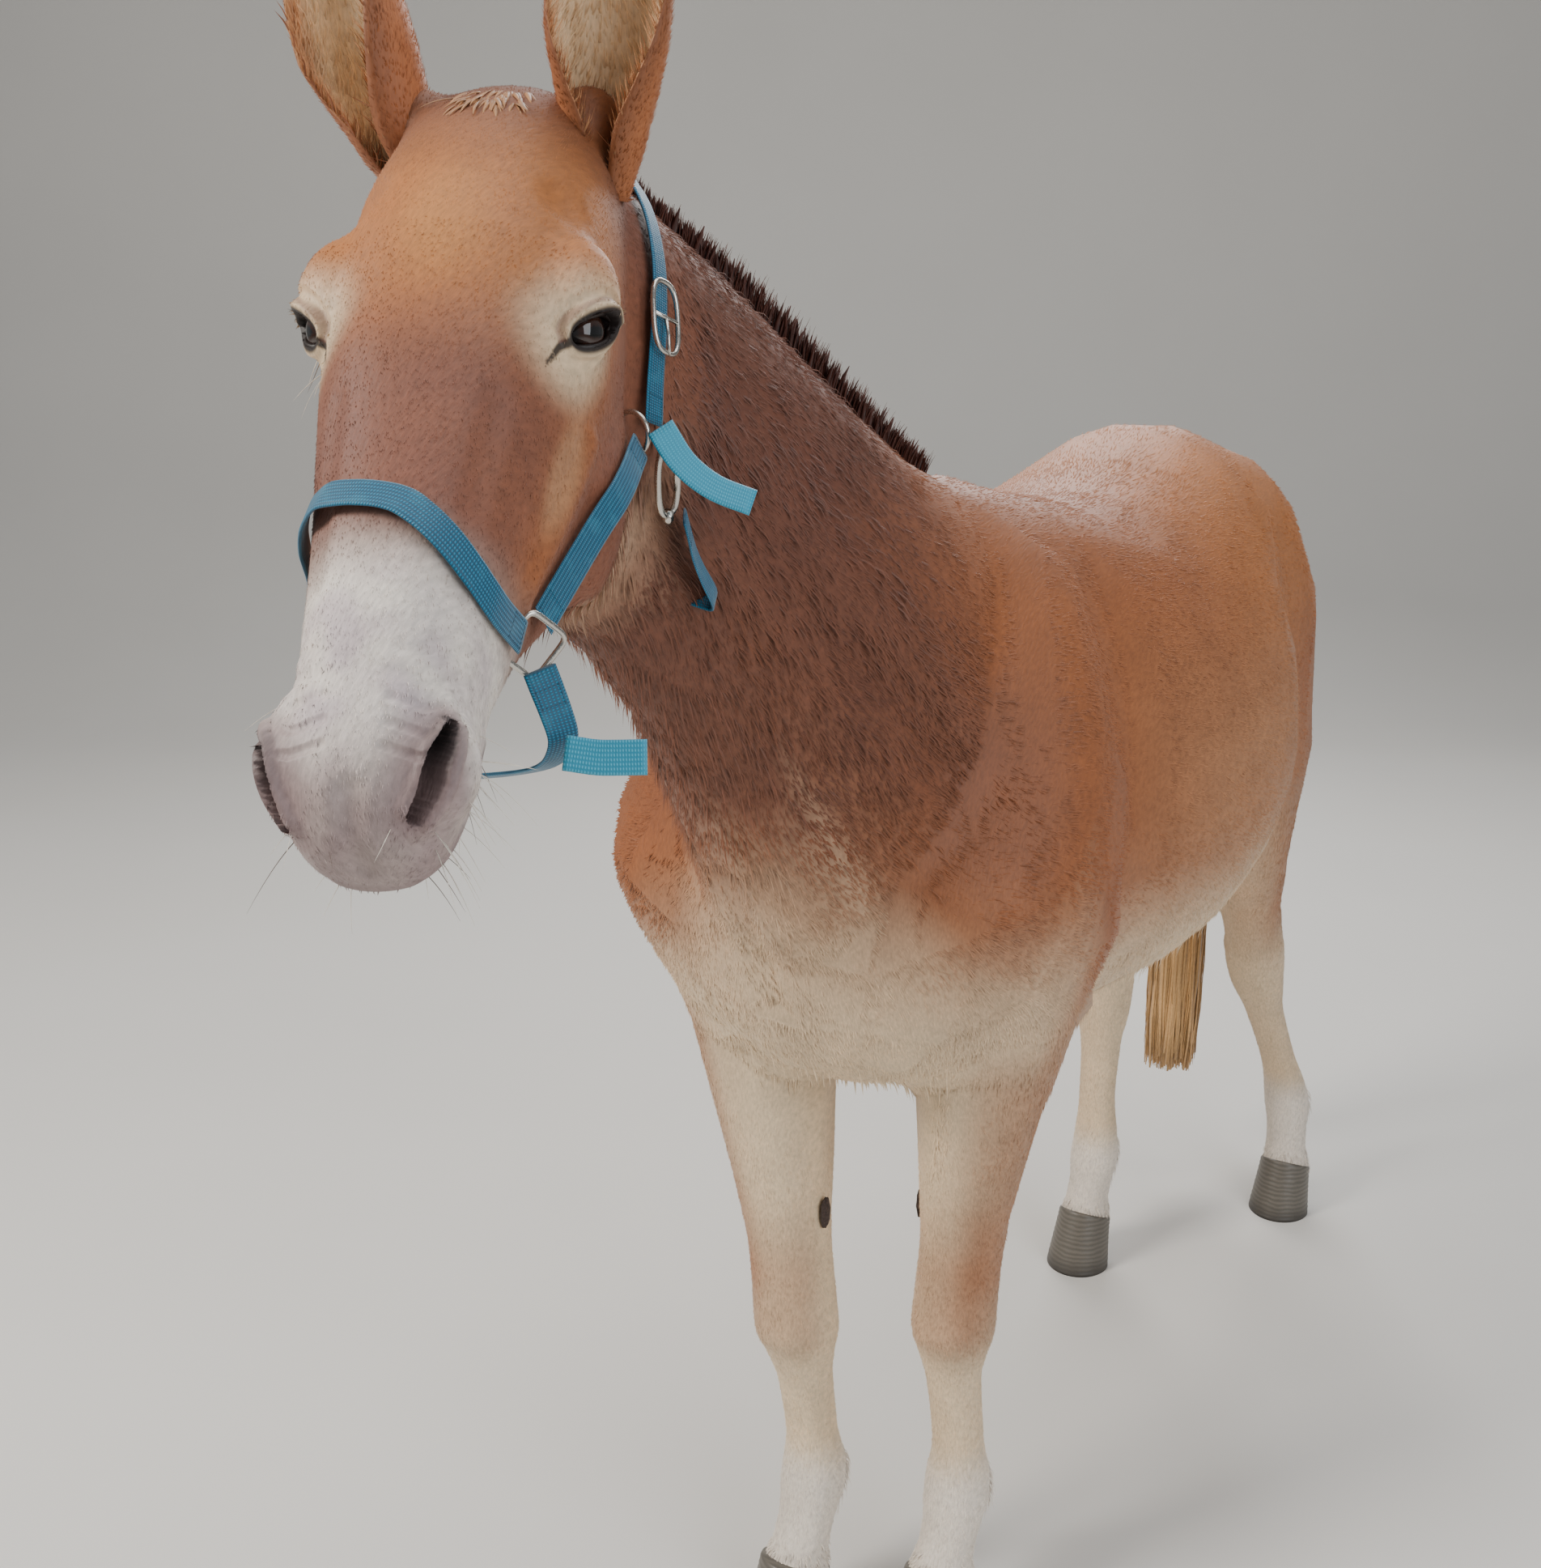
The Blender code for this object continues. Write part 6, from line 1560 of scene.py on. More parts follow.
def make_mane(sizes):
    """Roached mane: a dense comb of short upright locks that lean a little, two-toned, with finer hairs."""
    rng = np.random.default_rng(41)
    part = 1
    for name, count, wide, tall, paler in (
        ("mane_locks", sizes.mane_locks // part, 0.0075, 0.047, 0.0),
        ("mane_hairs", 4200 // part, 0.0022, 0.050, 0.3),
    ):
        paths, widths, faces, colours = [], [], [], []
        for i in range(count):
            t = (i + 0.5) / count
            y = -0.430 - 0.575 * t + rng.uniform(-0.006, 0.006)
            side = rng.uniform(-1, 1)
            spot = np.array(crest_spot(y, side * 0.011)) - np.array([0, 0, 0.005])
            high = tall * (0.62 + 0.42 * math.sin(math.pi * min(1, 0.12 + t))) * rng.uniform(0.82, 1.10)
            lean = np.array([side * 0.30 + rng.normal(0, 0.07), rng.normal(-0.10, 0.13), 1.0])
            lean /= np.linalg.norm(lean)
            curve = np.array([side * 0.10 + rng.normal(0, 0.05), -0.10 + rng.normal(0, 0.06), -0.10])
            steps = np.linspace(0, 1, 5)
            paths.append([spot + lean * high * s + curve * high * s * s for s in steps])
            widths.append([wide * k for k in (0.9, 1.0, 0.85, 0.55, 0.12)])
            faces.append([1.0, rng.normal(0, 0.5), 0.1])
            tone = rng.uniform(0.75, 1.25)
            colours.append(np.clip(over(linear("#47231A"), "#6A3826", paler) * tone, 0, 1))
        made = blades(name, paths, widths, 0.0022, faces, colours)
        stands_for = ["mane"] if name == "mane_locks" else ()
        finish_piece(made, hair_material("coarse mane hair", 0.5, 0.0), stands_for)


def make_poll_tuft(sizes):
    """The pale short tuft between the ears, falling a little way on the forehead."""
    rng = np.random.default_rng(43)
    surface = SHARED["surface"]
    left, up, forward = (np.array(axis) for axis in HEAD_AXES)
    count = sizes.tuft_locks // 1
    paths, widths, faces, colours = [], [], [], []
    for i in range(count):
        a, s = rng.uniform(-0.055, 0.010), rng.normal(0, 0.013)
        spot = np.array(surface.find_nearest(on_head(a, s, 0.0))[0])
        way = forward * rng.uniform(0.75, 1.1) + left * (s * 16 + rng.normal(0, 0.16))
        way = way + up * rng.uniform(0.25, 0.75)
        way /= np.linalg.norm(way)
        long = rng.uniform(0.024, 0.044)
        steps = np.linspace(0, 1, 6)
        paths.append([spot - up * 0.002 + way * long * t - up * 0.26 * long * t * t for t in steps])
        wide = rng.uniform(0.0022, 0.0055)
        widths.append([wide * k for k in (0.8, 1.0, 0.95, 0.8, 0.5, 0.1)])
        faces.append(up + left * rng.normal(0, 0.3))
        tone = rng.uniform(0.78, 1.12)
        colours.append(np.clip(linear("#AE7F57") * tone, 0, 1))
    made = blades("poll_tuft_locks", paths, widths, 0.0016, faces, colours)
    finish_piece(made, hair_material("pale forelock hair", 0.5, 0.0), ["poll_tuft"])


def make_tail(sizes):
    """The haired dock, and the switch of long straight locks trimmed level."""
    path = smooth_path(TAIL, 40)
    radii = np.interp(np.linspace(0, 1, 40), (0, 0.2, 0.5, 0.8, 1.0), (0.020, 0.027, 0.029, 0.026, 0.012))
    dock = wire("tail_dock", path, radii.tolist(), 24)
    unwrap(dock)
    points, normals, _, _ = arrays_of(dock)
    tone = np.tile(linear("#93602F"), (len(points), 1))
    tint(dock, tone * (1 + 0.1 * wobble(points, 0.02))[:, None])
    rng = np.random.default_rng(47)
    for name, count, wide, thick in (
        ("tail_locks", sizes.tail_locks, 0.011, 0.0028), ("tail_hairs", 2400, 0.0028, 0.0012),
    ):
        count = count // 1
        paths, widths, faces, colours = [], [], [], []
        for i in range(count):
            at = rng.uniform(0.02, 0.96) ** 0.8
            nearest = int(at * 38)
            angle = rng.uniform(0, 2 * math.pi)
            out = np.array([math.cos(angle), math.sin(angle), 0])
            if at < 0.5:
                out = out * 0.9 + np.array([0, 0.35, 0.2])
            ring = math.sqrt(rng.uniform(0.15, 1.0))
            begin = np.array(path[nearest]) + out * radii[nearest] * 0.85
            end_z = TAIL_END + 0.010 + rng.uniform(-0.016, 0.030)
            if at < 0.62 and rng.random() < 0.55:
                end_z = max(end_z, begin[2] - rng.uniform(0.25, 0.60))
            steps = np.linspace(0, 1, 9)
            lock_path = []
            for t in steps:
                z = begin[2] + (end_z - begin[2]) * t
                middle = [np.interp(z, SWITCH_HEIGHTS, side) for side in (SWITCH_X, SWITCH_Y)]
                spread = np.interp(z, *SWITCH_SPREAD)
                here = np.array([*middle, z]) + out * spread * ring
                first = begin + (here - begin) * min(1, t * 3.2)
                wave = 0.003 * math.sin(z * 17 + i) * t
                lock_path.append(first + np.array([wave, wave * 0.6, 0]))
                lock_path[-1][2] = z
            paths.append(lock_path)
            size = wide * rng.uniform(0.7, 1.25)
            widths.append([size * k for k in (0.5, 0.8, 1.0, 1.05, 1.05, 1.0, 0.9, 0.75, 0.42)])
            faces.append(out + np.array([0, 0, 0.01]))
            tone = over(linear("#BE9562"), "#7A4D2C", 0.45 * (at < 0.4))
            colours.append(np.clip(tone * rng.uniform(0.72, 1.22), 0, 1))
        made = blades(name, paths, widths, thick, faces, colours)
        stands_for = ["tail"] if name == "tail_locks" else ()
        finish_piece(made, hair_material("long tail hair", 0.46, 0.0), stands_for)
    finish_piece(dock, hair_material("short hair of the dock", 0.6, 0.4))


def make_hooves():
    """Hooves with growth rings, a softer band at the coronet and a flat sole."""
    horn, tree, shader = material("hoof horn", 0.42, IOR=1.54)
    place = node(tree, "ShaderNodeTexCoord")
    height = node(tree, "ShaderNodeSeparateXYZ", [(place, "Object", "Vector")])
    # Horn grows in rings 4 to 7 mm apart, drawn here about 8 mm apart, and its tubules run down the wall.
    rings = node(tree, "ShaderNodeTexWave", [(place, "Object", "Vector")], bands_direction="Z",
                 values={"Scale": 40.0, "Distortion": 3.0, "Detail": 3.0, "Detail Scale": 1.0})
    run = node(tree, "ShaderNodeMapping", [(place, "Object", "Vector")], values={"Scale": (900, 900, 60)})
    tubules = noise(tree, (run, "Vector"), 1.0, 2.0)
    tone = two_tone(tree, (rings, "Fac"), "#5C574F", "#6F6960")
    # The horn turns darker towards its bottom edge.
    low = between(tree, (height, "Z"), 0.0, 0.030, 0.0, 1.0)
    dark_base_and_wear = two_tone(tree, (low, "Result"), "#3F3B37", (tone, 2))
    fine = node(tree, "ShaderNodeMix", [(tubules, "Fac", 0), (dark_base_and_wear, 2, 6)], data_type="RGBA",
                blend_type="MULTIPLY", values={7: (0.78, 0.76, 0.73, 1)})
    tree.links.new(fine.outputs[2], shader.inputs["Base Color"])
    bump(tree, shader, (rings, "Fac"), 0.22, 0.0010)
    levels, sides = 22, 56
    for leg in STANCE:
        centre = leg_centre(leg, CORONET[0])
        points = []
        for i in range(levels + 1):
            t = 1 - i / levels
            half_width, front, back, forward = eased(HOOF_HEIGHTS, HOOF_SECTIONS, np.array([t]))[0]
            ripple = 0.0005 * math.sin(t * 60) + 0.0006 * math.exp(-((t - 0.93) / 0.05) ** 2)
            for k in range(sides):
                angle = 2 * math.pi * k / sides
                c, s = math.cos(angle), math.sin(angle)
                heel = -0.006 * math.exp(-((angle - 1.5 * math.pi) / 0.22) ** 2)
                reach = (front if s >= 0 else back) + ripple + heel
                x = centre.x + (half_width + ripple) * c
                y = centre.y - forward - reach * s
                top = CORONET[0] - GAP + (centre.y - y) * CORONET[1]
                points.append((x, y, max(0, top * t)))
        made = closed_body("hoof_horn_" + leg, points, tube_faces(levels + 1, sides))
        finish_piece(made, horn, ["hoof_" + leg])


def make_callosities():
    """The horny chestnuts inside the forearms, with a cracked crust."""
    crust, tree, shader = material("dry horny callosity", 0.78)
    place = node(tree, "ShaderNodeTexCoord")
    cells = node(tree, "ShaderNodeTexVoronoi", [(place, "Object", "Vector")], values={"Scale": 260.0})
    tone = node(tree, "ShaderNodeValToRGB", [(cells, "Distance", "Fac")])
    tone.color_ramp.elements[0].color = (*linear("#4A3A33"), 1)
    tone.color_ramp.elements[1].color = (*linear("#231A17"), 1)
    tree.links.new(tone.outputs[0], shader.inputs["Base Color"])
    bump(tree, shader, (cells, "Distance"), 0.8, 0.0015)
    for leg in ("foreleg_left", "foreleg_right"):
        low, high = (Vector(corner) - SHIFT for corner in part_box("callosity_" + leg))
        middle, half = (low + high) / 2, (high - low) / 2
        made = ball("callosity_crust_" + leg, (0, 0, 0), 1, 18, 28)
        for v in made.data.vertices:
            rough = 1 + 0.10 * math.sin(v.co.z * 9 + v.co.y * 5) * math.sin(v.co.y * 7)
            v.co = middle + Vector((v.co.x * half.x, v.co.y * half.y * rough, v.co.z * half.z * rough))
        finish_piece(made, crust, ["callosity_" + leg])


def make_eyes():
    """Dark brown eyes with a flat oval pupil under a wet cornea, and the lashes of the upper lid."""
    wet, tree, shader = material("living eye under a wet cornea", 0.10,
                                 IOR=1.38, Coat_Weight=1.0, Coat_Roughness=0.02)
    tinted = node(tree, "ShaderNodeAttribute", attribute_name="coat")
    tree.links.new(tinted.outputs["Color"], shader.inputs["Base Color"])
    for mirror, word in ((1, "left"), (-1, "right")):
        centre, _, _, out = (np.array(v) for v in eye_frame(mirror))
        made = ball("eyeball_" + word, centre, EYE_RADIUS * 0.985, 48, 72, out)
        points, normals, _, _ = arrays_of(made)
        rel = (points - centre) / EYE_RADIUS
        # The pupil lies level, whatever way the head is turned.
        upward = np.array((0, 0, 1.0)) - out * out[2]
        upward /= np.linalg.norm(upward)
        high, wide = rel @ upward, rel @ np.cross(out, upward)
        reach = np.hypot(wide, high)
        points += normals * (0.0016 * (1 - ramp(reach, 0.30, 0.72)) * (rel @ out > 0))[:, None]
        move_points(made, points)
        ray = 0.85 + 0.25 * np.sin(np.arctan2(high, wide) * 23)
        colour = linear("#33190D")[None] * ray[:, None]
        colour = over(colour, "#120A08", ramp(reach, 0.50, 0.66)[:, None])
        colour = over(colour, "#3A2A24", ramp(reach, 0.74, 0.86)[:, None])
        pupil = 1 - ramp(np.hypot(wide / 0.36, high / 0.20), 0.85, 1.0)
        tint(made, np.clip(over(colour, "#050404", pupil[:, None]), 0, 1))
        finish_piece(made, wet, ["eye_" + word])
    make_lids()


def make_lids():
    """The bare dark rims of the lids, and short lashes on the upper one."""
    bare, tree, shader = material("bare dark lid skin", 0.42, Base_Color=(*linear(LID_DARK), 1))
    place = node(tree, "ShaderNodeTexCoord")
    bump(tree, shader, (noise(tree, (place, "Object"), 900.0, 3.0), "Fac"), 0.4, 0.0006)
    lash_paths, lash_widths, lash_faces = [], [], []
    rng = np.random.default_rng(53)
    for mirror, word in ((1, "left"), (-1, "right")):
        centre, long, across, out = (np.array(v) for v in eye_frame(mirror))
        for name, sign, thick in (("upper", 1, 0.0033), ("lower", -1, 0.0022)):
            path, radii = [], []
            for i in range(33):
                a = math.pi * i / 32
                x = math.cos(a) * (EYE_OPENING[0] + 0.0012)
                y = EYE_RAISED + sign * math.sin(a) ** 1.2 * (EYE_OPENING[1] + 0.0004)
                off = min(x * x + y * y, (EYE_RADIUS * 0.93) ** 2)
                reach = math.sqrt(max(0.0, (EYE_RADIUS + 0.0022) ** 2 - off))
                path.append(centre + long * x + across * y + out * reach)
                radii.append(thick * (0.6 + 0.4 * math.sin(a)))
            made = wire(f"lid_rim_{name}_{word}", path, radii, 14)
            finish_piece(made, bare)
            for i in range(46 if name == "upper" else 0):
                k = 4 + (i * 24) // 46
                start = path[k] + long * rng.normal(0, 0.0006)
                way = out * 0.9 + across * 0.15 + long * (0.5 * math.cos(math.pi * k / 32))
                way = way / np.linalg.norm(way)
                size = rng.uniform(0.010, 0.016)
                lash_paths.append([
                    start + (way * s - across * 0.30 * s * (1 - s * 0.8)) * size for s in np.linspace(0, 1, 5)
                ])
                lash_widths.append([0.0007, 0.0007, 0.0006, 0.0004, 0.0001])
                lash_faces.append(across)
    shades = [linear("#3A261B")] * len(lash_paths)
    made = blades("lashes", lash_paths, lash_widths, 0.0005, lash_faces, shades)
    finish_piece(made, hair_material("lashes", 0.5, 0.0))


def make_whiskers(sizes):
    """Sparse long feelers on the lips, chin and nostrils, and a few round the eyes."""
    rng = np.random.default_rng(59)
    surface = SHARED["surface"]
    left, up, forward = (np.array(axis) for axis in HEAD_AXES)
    paths, widths, faces, colours = [], [], [], []
    for i in range(sizes.whiskers):
        mirror = 1 if i % 2 else -1
        if i % 14 == 0:
            centre, long, across, out = (np.array(v) for v in eye_frame(mirror))
            spot = centre + out * 0.03 + across * rng.uniform(-0.045, -0.030)
            spot = spot + long * rng.uniform(-0.02, 0.02)
        else:
            a, b = rng.uniform(0.52, 0.625), rng.uniform(-0.145, -0.045)
            spot = np.array(on_head(a, mirror * rng.uniform(0.02, 0.06), b))
        hit, normal = surface.find_nearest(Vector(spot))[:2]
        normal = np.array(normal)
        way = normal * 0.9 + forward * 0.25 - up * 0.35 + rng.normal(0, 0.2, 3)
        way /= np.linalg.norm(way)
        size = rng.uniform(0.018, 0.045)
        steps = np.linspace(0, 1, 7)
        droop = np.array([0, 0, -0.28]) + rng.normal(0, 0.08, 3)
        paths.append([np.array(hit) - normal * 0.001 + way * size * s + droop * size * s * s for s in steps])
        widths.append([0.00065 * k for k in (1, 1, 0.9, 0.8, 0.6, 0.45, 0.15)])
        faces.append(up + 0.3 * left)
        colours.append(np.array(linear("#E4DACB" if i % 5 else "#6A5A50")))
    made = blades("whiskers", paths, widths, 0.0007, faces, colours)
    finish_piece(made, hair_material("stiff whisker hair", 0.45, 0.0))


def finer(frames, steps):
    """The same strap with more steps, rounded between the first ones."""
    rows = [smooth_path([row[k] for row in frames], steps) for k in range(3)]
    return [(p, across.normalized(), away.normalized()) for p, across, away in zip(*rows)]


def free_frames(path, faces):
    """Where a strap's loose end lies, through the air and facing one way."""
    path = smooth_path(path, 16)
    frames = []
    for i, p in enumerate(path):
        tangent, out = tangent_at(path, i), Vector(faces)
        out = (out - tangent * out.dot(tangent)).normalized()
        frames.append((p - out * WEBBING_THICKNESS / 2, tangent.cross(out), out))
    return frames


def webbing(name, frames):
    """Woven webbing with rolled edges along its frames, and a map in metres for its weave."""
    outline = []
    for k in range(13):
        s = -1 + k / 6
        outline.append((s, 1 - 0.42 * max(0.0, (abs(s) - 0.80) / 0.20) ** 2))
    outline = outline + [(s, 1 - h) for s, h in reversed(outline)]
    sides = len(outline)
    points, run = [], [0.0]
    for i, (p, across, away) in enumerate(frames):
        if i:
            run.append(run[-1] + (p - frames[i - 1][0]).length)
        for s, h in outline:
            points.append(p + across * (s * WEBBING_WIDTH / 2) + away * (h * WEBBING_THICKNESS))
    obj = mesh_object(name, points, tube_faces(len(frames), sides))
    layer = obj.data.uv_layers.new(name="weave")
    for face in obj.data.polygons:
        for loop, index in zip(face.loop_indices, face.vertices):
            s, _ = outline[index % sides]
            layer.data[loop].uv = (run[index // sides], s * WEBBING_WIDTH / 2)
    tidy(obj.data)
    return obj


# The box of stitches at a strap's end: how far it runs along the strap, and its half width.
STITCH_BOX = (0.003, 0.026)
STITCH_REACH = 0.0088


def stitch_lines(frames):
    """The box of stitches that closes the first end of a strap, as runs of points on its face."""
    run, picked = 0.0, []
    for i, (p, across, away) in enumerate(frames):
        if i:
            run += (p - frames[i - 1][0]).length
        if STITCH_BOX[0] <= run <= STITCH_BOX[1]:
            picked.append((p + away * (WEBBING_THICKNESS + 0.0001), across))
    if len(picked) < 2:
        return []
    sides = [[p + across * s for p, across in picked] for s in (-STITCH_REACH, STITCH_REACH)]
    spots = (-STITCH_REACH, 0.0, STITCH_REACH)
    return sides + [[p + across * s for s in spots] for p, across in (picked[0], picked[-1])]


def stitches(name, lines, finish, spacing, long, thick):
    """Stitches along lines, by Geometry Nodes: the lines are cut evenly, with a small thread at each cut."""
    curve = bpy.data.curves.new(name + "_lines", "CURVE")
    curve.dimensions = "3D"
    for line in lines:
        spline = curve.splines.new("POLY")
        spline.points.add(len(line) - 1)
        for point, spot in zip(spline.points, line):
            point.co = (*spot, 1)
    obj = linked(name + "_lines", curve)
    tree = bpy.data.node_groups.new("Stitches", "GeometryNodeTree")
    for label, kind, way in (
        ("Geometry", "NodeSocketGeometry", "INPUT"), ("Spacing", "NodeSocketFloat", "INPUT"),
        ("Stitch Length", "NodeSocketFloat", "INPUT"), ("Thread", "NodeSocketFloat", "INPUT"),
        ("Geometry", "NodeSocketGeometry", "OUTPUT"),
    ):
        tree.interface.new_socket(name=label, in_out=way, socket_type=kind)
    start = tree.nodes.new("NodeGroupInput")
    end = tree.nodes.new("NodeGroupOutput")
    cuts = [(start, "Geometry", "Curve"), (start, "Spacing", "Length")]
    points = node(tree, "GeometryNodeCurveToPoints", cuts, mode="LENGTH")
    thread = node(tree, "GeometryNodeMeshUVSphere", values={"Segments": 8, "Rings": 5, "Radius": 0.5})
    measures = [(start, "Thread", "X"), (start, "Thread", "Y"), (start, "Stitch Length", "Z")]
    size = node(tree, "ShaderNodeCombineXYZ", measures)
    placed = node(tree, "GeometryNodeInstanceOnPoints", [
        (points, "Points", "Points"), (thread, "Mesh", "Instance"),
        (points, "Rotation", "Rotation"), (size, "Vector", "Scale"),
    ])
    real = node(tree, "GeometryNodeRealizeInstances", [(placed, "Instances", "Geometry")])
    coloured = node(tree, "GeometryNodeSetMaterial", [(real, "Geometry", "Geometry")],
                    values={"Material": finish})
    tree.links.new(coloured.outputs["Geometry"], end.inputs["Geometry"])
    step = obj.modifiers.new("Stitches", "NODES")
    step.node_group = tree
    sizes = {"Spacing": spacing, "Stitch Length": long, "Thread": thick}
    for item in tree.interface.items_tree:
        if item.in_out == "INPUT" and item.name in sizes:
            step[item.identifier] = sizes[item.name]
    bpy.context.view_layer.update()
    mesh = bpy.data.meshes.new_from_object(obj.evaluated_get(bpy.context.evaluated_depsgraph_get()))
    bpy.data.objects.remove(obj)
    return linked(name, mesh)


def nylon(name, face, dark):
    """Flat nylon webbing: ribs along the band, drawn about 3 mm apart so that they show, and a fine twill,
    with painted shade in their grooves.
    """
    made, tree, shader = material(name, 0.52, Sheen_Weight=0.25, Sheen_Roughness=0.4)
    place = node(tree, "ShaderNodeUVMap", uv_map="weave")
    ribs = node(tree, "ShaderNodeTexWave", [(place, "UV", "Vector")], bands_direction="Y",
                values={"Scale": 98.0, "Distortion": 0.4, "Detail": 1.0})
    picks = node(tree, "ShaderNodeTexWave", [(place, "UV", "Vector")], bands_direction="X",
                 values={"Scale": 150.0, "Distortion": 0.6, "Detail": 1.0})
    weave = node(tree, "ShaderNodeMath", [(ribs, "Fac", 0), (picks, "Fac", 1)], operation="MULTIPLY")
    coords = node(tree, "ShaderNodeTexCoord")
    dark_base_and_wear = noise(tree, (coords, "Object"), 60.0, 5.0)
    # Painted shade: the weave's grooves take the darker tone.
    tone = two_tone(tree, (weave, 0), dark, face)
    shade_and_wear = between(tree, (dark_base_and_wear, "Fac"), 0.52, 0.75, 0.0, 0.22)
    faded = two_tone(tree, (shade_and_wear, "Result"), (tone, 2), "#3F9DB8")
    tree.links.new(faded.outputs[2], shader.inputs["Base Color"])
    bump(tree, shader, (weave, 0), 0.7, 0.0006)
    return made


def nickel():
    """Nickel-plated steel, polished and lightly scratched from use."""
    colour = (*linear("#C9C5BD"), 1)
    made, tree, shader = material("nickel plated steel", 0.22, Metallic=1.0, Base_Color=colour)
    place = node(tree, "ShaderNodeTexCoord")
    marks = noise(tree, (place, "Object"), 420.0, 6.0)
    rough = between(tree, (marks, "Fac"), 0.35, 0.75, 0.16, 0.40)
    tree.links.new(rough.outputs[0], shader.inputs["Roughness"])
    return made


# How much further three straps run to their fittings at the left end.
LEFT_END_REACH = {"halter_chin_strap": 0.013, "halter_throat_strap": 0.016, "halter_crown_strap": 0.008}


def make_halter():
    """Webbing, stitches, rings, buckle and snap of the headcollar."""
    flesh = surface_of([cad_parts[name] for name in ("head", "neck", "trunk")], -SHIFT)
    forward = HEAD_AXES[2]
    nose, cheek, crown = on_head(0.36, 0, -0.150), on_head(0.30, 0, -0.100), on_head(0.01, 0, -0.180)
    blue = nylon("blue nylon webbing", "#0F86AE", "#064660")
    # A paler copy of the same webbing for the loose ends: a painted highlight.
    pale = nylon("blue nylon webbing with a painted highlight", "#4CBCD8", "#2490B0")
    metal = nickel()
    thread, _, _ = material("bonded nylon thread", 0.5, Base_Color=(*linear("#0B4258"), 1))
    lines = []

    for name, (rows, inside, steps, lift, tilted, loose) in STRAPS.items():
        controls = [on_head(*row) for row in rows]
        frames = strap_frames(controls, flesh, on_head(*inside), steps, lift, tilted, loose)
        frames = finer(frames, steps * 4)
        run = (frames[0][0] - frames[1][0]).normalized() * LEFT_END_REACH.get(name, 0)
        frames.insert(0, (frames[0][0] + run, *frames[0][1:]))
        finish_piece(webbing(name + "_webbing", frames), blue, [name])
        lines += stitch_lines(frames) + stitch_lines(frames[::-1])

    def on_skin(row, inside, lift):
        point = on_head(*row)
        away = (point - inside).normalized()
        spot = flesh.ray_cast(point + away * 0.15, -away)[0] or point
        return spot + away * lift, away

    for mirror, word in ((1, "left"), (-1, "right")):
        for part, row, half, squareness in (
            ("square_ring_", SQUARE_RINGS[mirror], 0.019, 6),
            ("cheek_ring_", (0.172, mirror * 0.115, -0.195), 0.017, 2),
        ):
            inside, lift = (nose, 0.0140) if part == "square_ring_" else (cheek, 0.0060)
            spot, away = on_skin(row, inside, lift)
            a = (forward - away * forward.dot(away)).normalized()
            b = away.cross(a)
            path = ring_path(spot, a, b, half, half, squareness, 56)
            made = wire("steel_" + part + word, path, RING_WIRE / 2, 14, away)
            finish_piece(made, metal, ["halter_" + part + word])
    spot, away = on_skin((0.085, 0.115, -0.158), crown, 0.0110)
    along_strap = (on_head(0.150, 0.115, -0.190) - on_head(0.030, 0.105, -0.130)).normalized()
    across = away.cross(along_strap).normalized()
    ring = ring_path(spot, along_strap, across, 0.030, 0.018, 3, 56)
    rises = ((0, 0), (0.014, 0.0022), (0.0305, 0.0024))
    tongue = [spot + along_strap * run + away * rise for run, rise in rises]
    parts = [
        wire("buckle_frame", ring, RING_WIRE / 2, 14, away),
        wire("buckle_bar", [spot - across * 0.0165, spot + across * 0.0165], 0.0018),
        wire("buckle_tongue", tongue, [0.0017, 0.0016, 0.0012]),
    ]
    finish_piece(joined("steel_buckle", parts), metal, ["halter_ring_of_buckle"])
    top, low = on_head(*SNAP[0]), on_head(*SNAP[1])
    down, way = (low - top).normalized(), head_direction(0.55, 0.75, 0.35)
    side = way.cross(down).normalized()
    ring = ring_path((top + low) / 2, down, side, (low - top).length / 2, 0.011, 2.5, 48)
    barrel = [low + down * run for run in (-0.004, 0.004, 0.008)]
    gate = [(top + low) / 2 + side * out + down * run for out, run in ((0.009, -0.014), (0.0095, 0.012))]
    parts = [
        wire("snap_hook", ring, 0.0030, 14, way),
        wire("snap_barrel", barrel, [0.0046, 0.0050, 0.0034], 18),
        wire("snap_gate", gate, 0.0023),
    ]
    finish_piece(joined("steel_snap", parts), metal, ["halter_ring_of_snap"])
    # The loose ends wear the paler copy of the webbing, which is a painted highlight.
    for name, path, faces in (
        ("halter_crown_end", CROWN_END, (0.5, -0.6, 0.6)), ("halter_chin_end", CHIN_END, (0.5, -0.8, 0.3)),
    ):
        finish_piece(webbing(name + "_webbing", free_frames(path, faces)), pale, [name])
    made = stitches("halter_stitches", lines, thread, 0.0031, 0.0024, 0.0007)
    finish_piece(made, thread)


# The camera's place and how it is turned and tilted, in degrees, and the photograph's height in pixels.
CAMERA_PLACE = (0.880, -2.225, 1.680)
CAMERA_TURN = 31.3
CAMERA_TILT = 15.65
PHOTO_HEIGHT = 1937


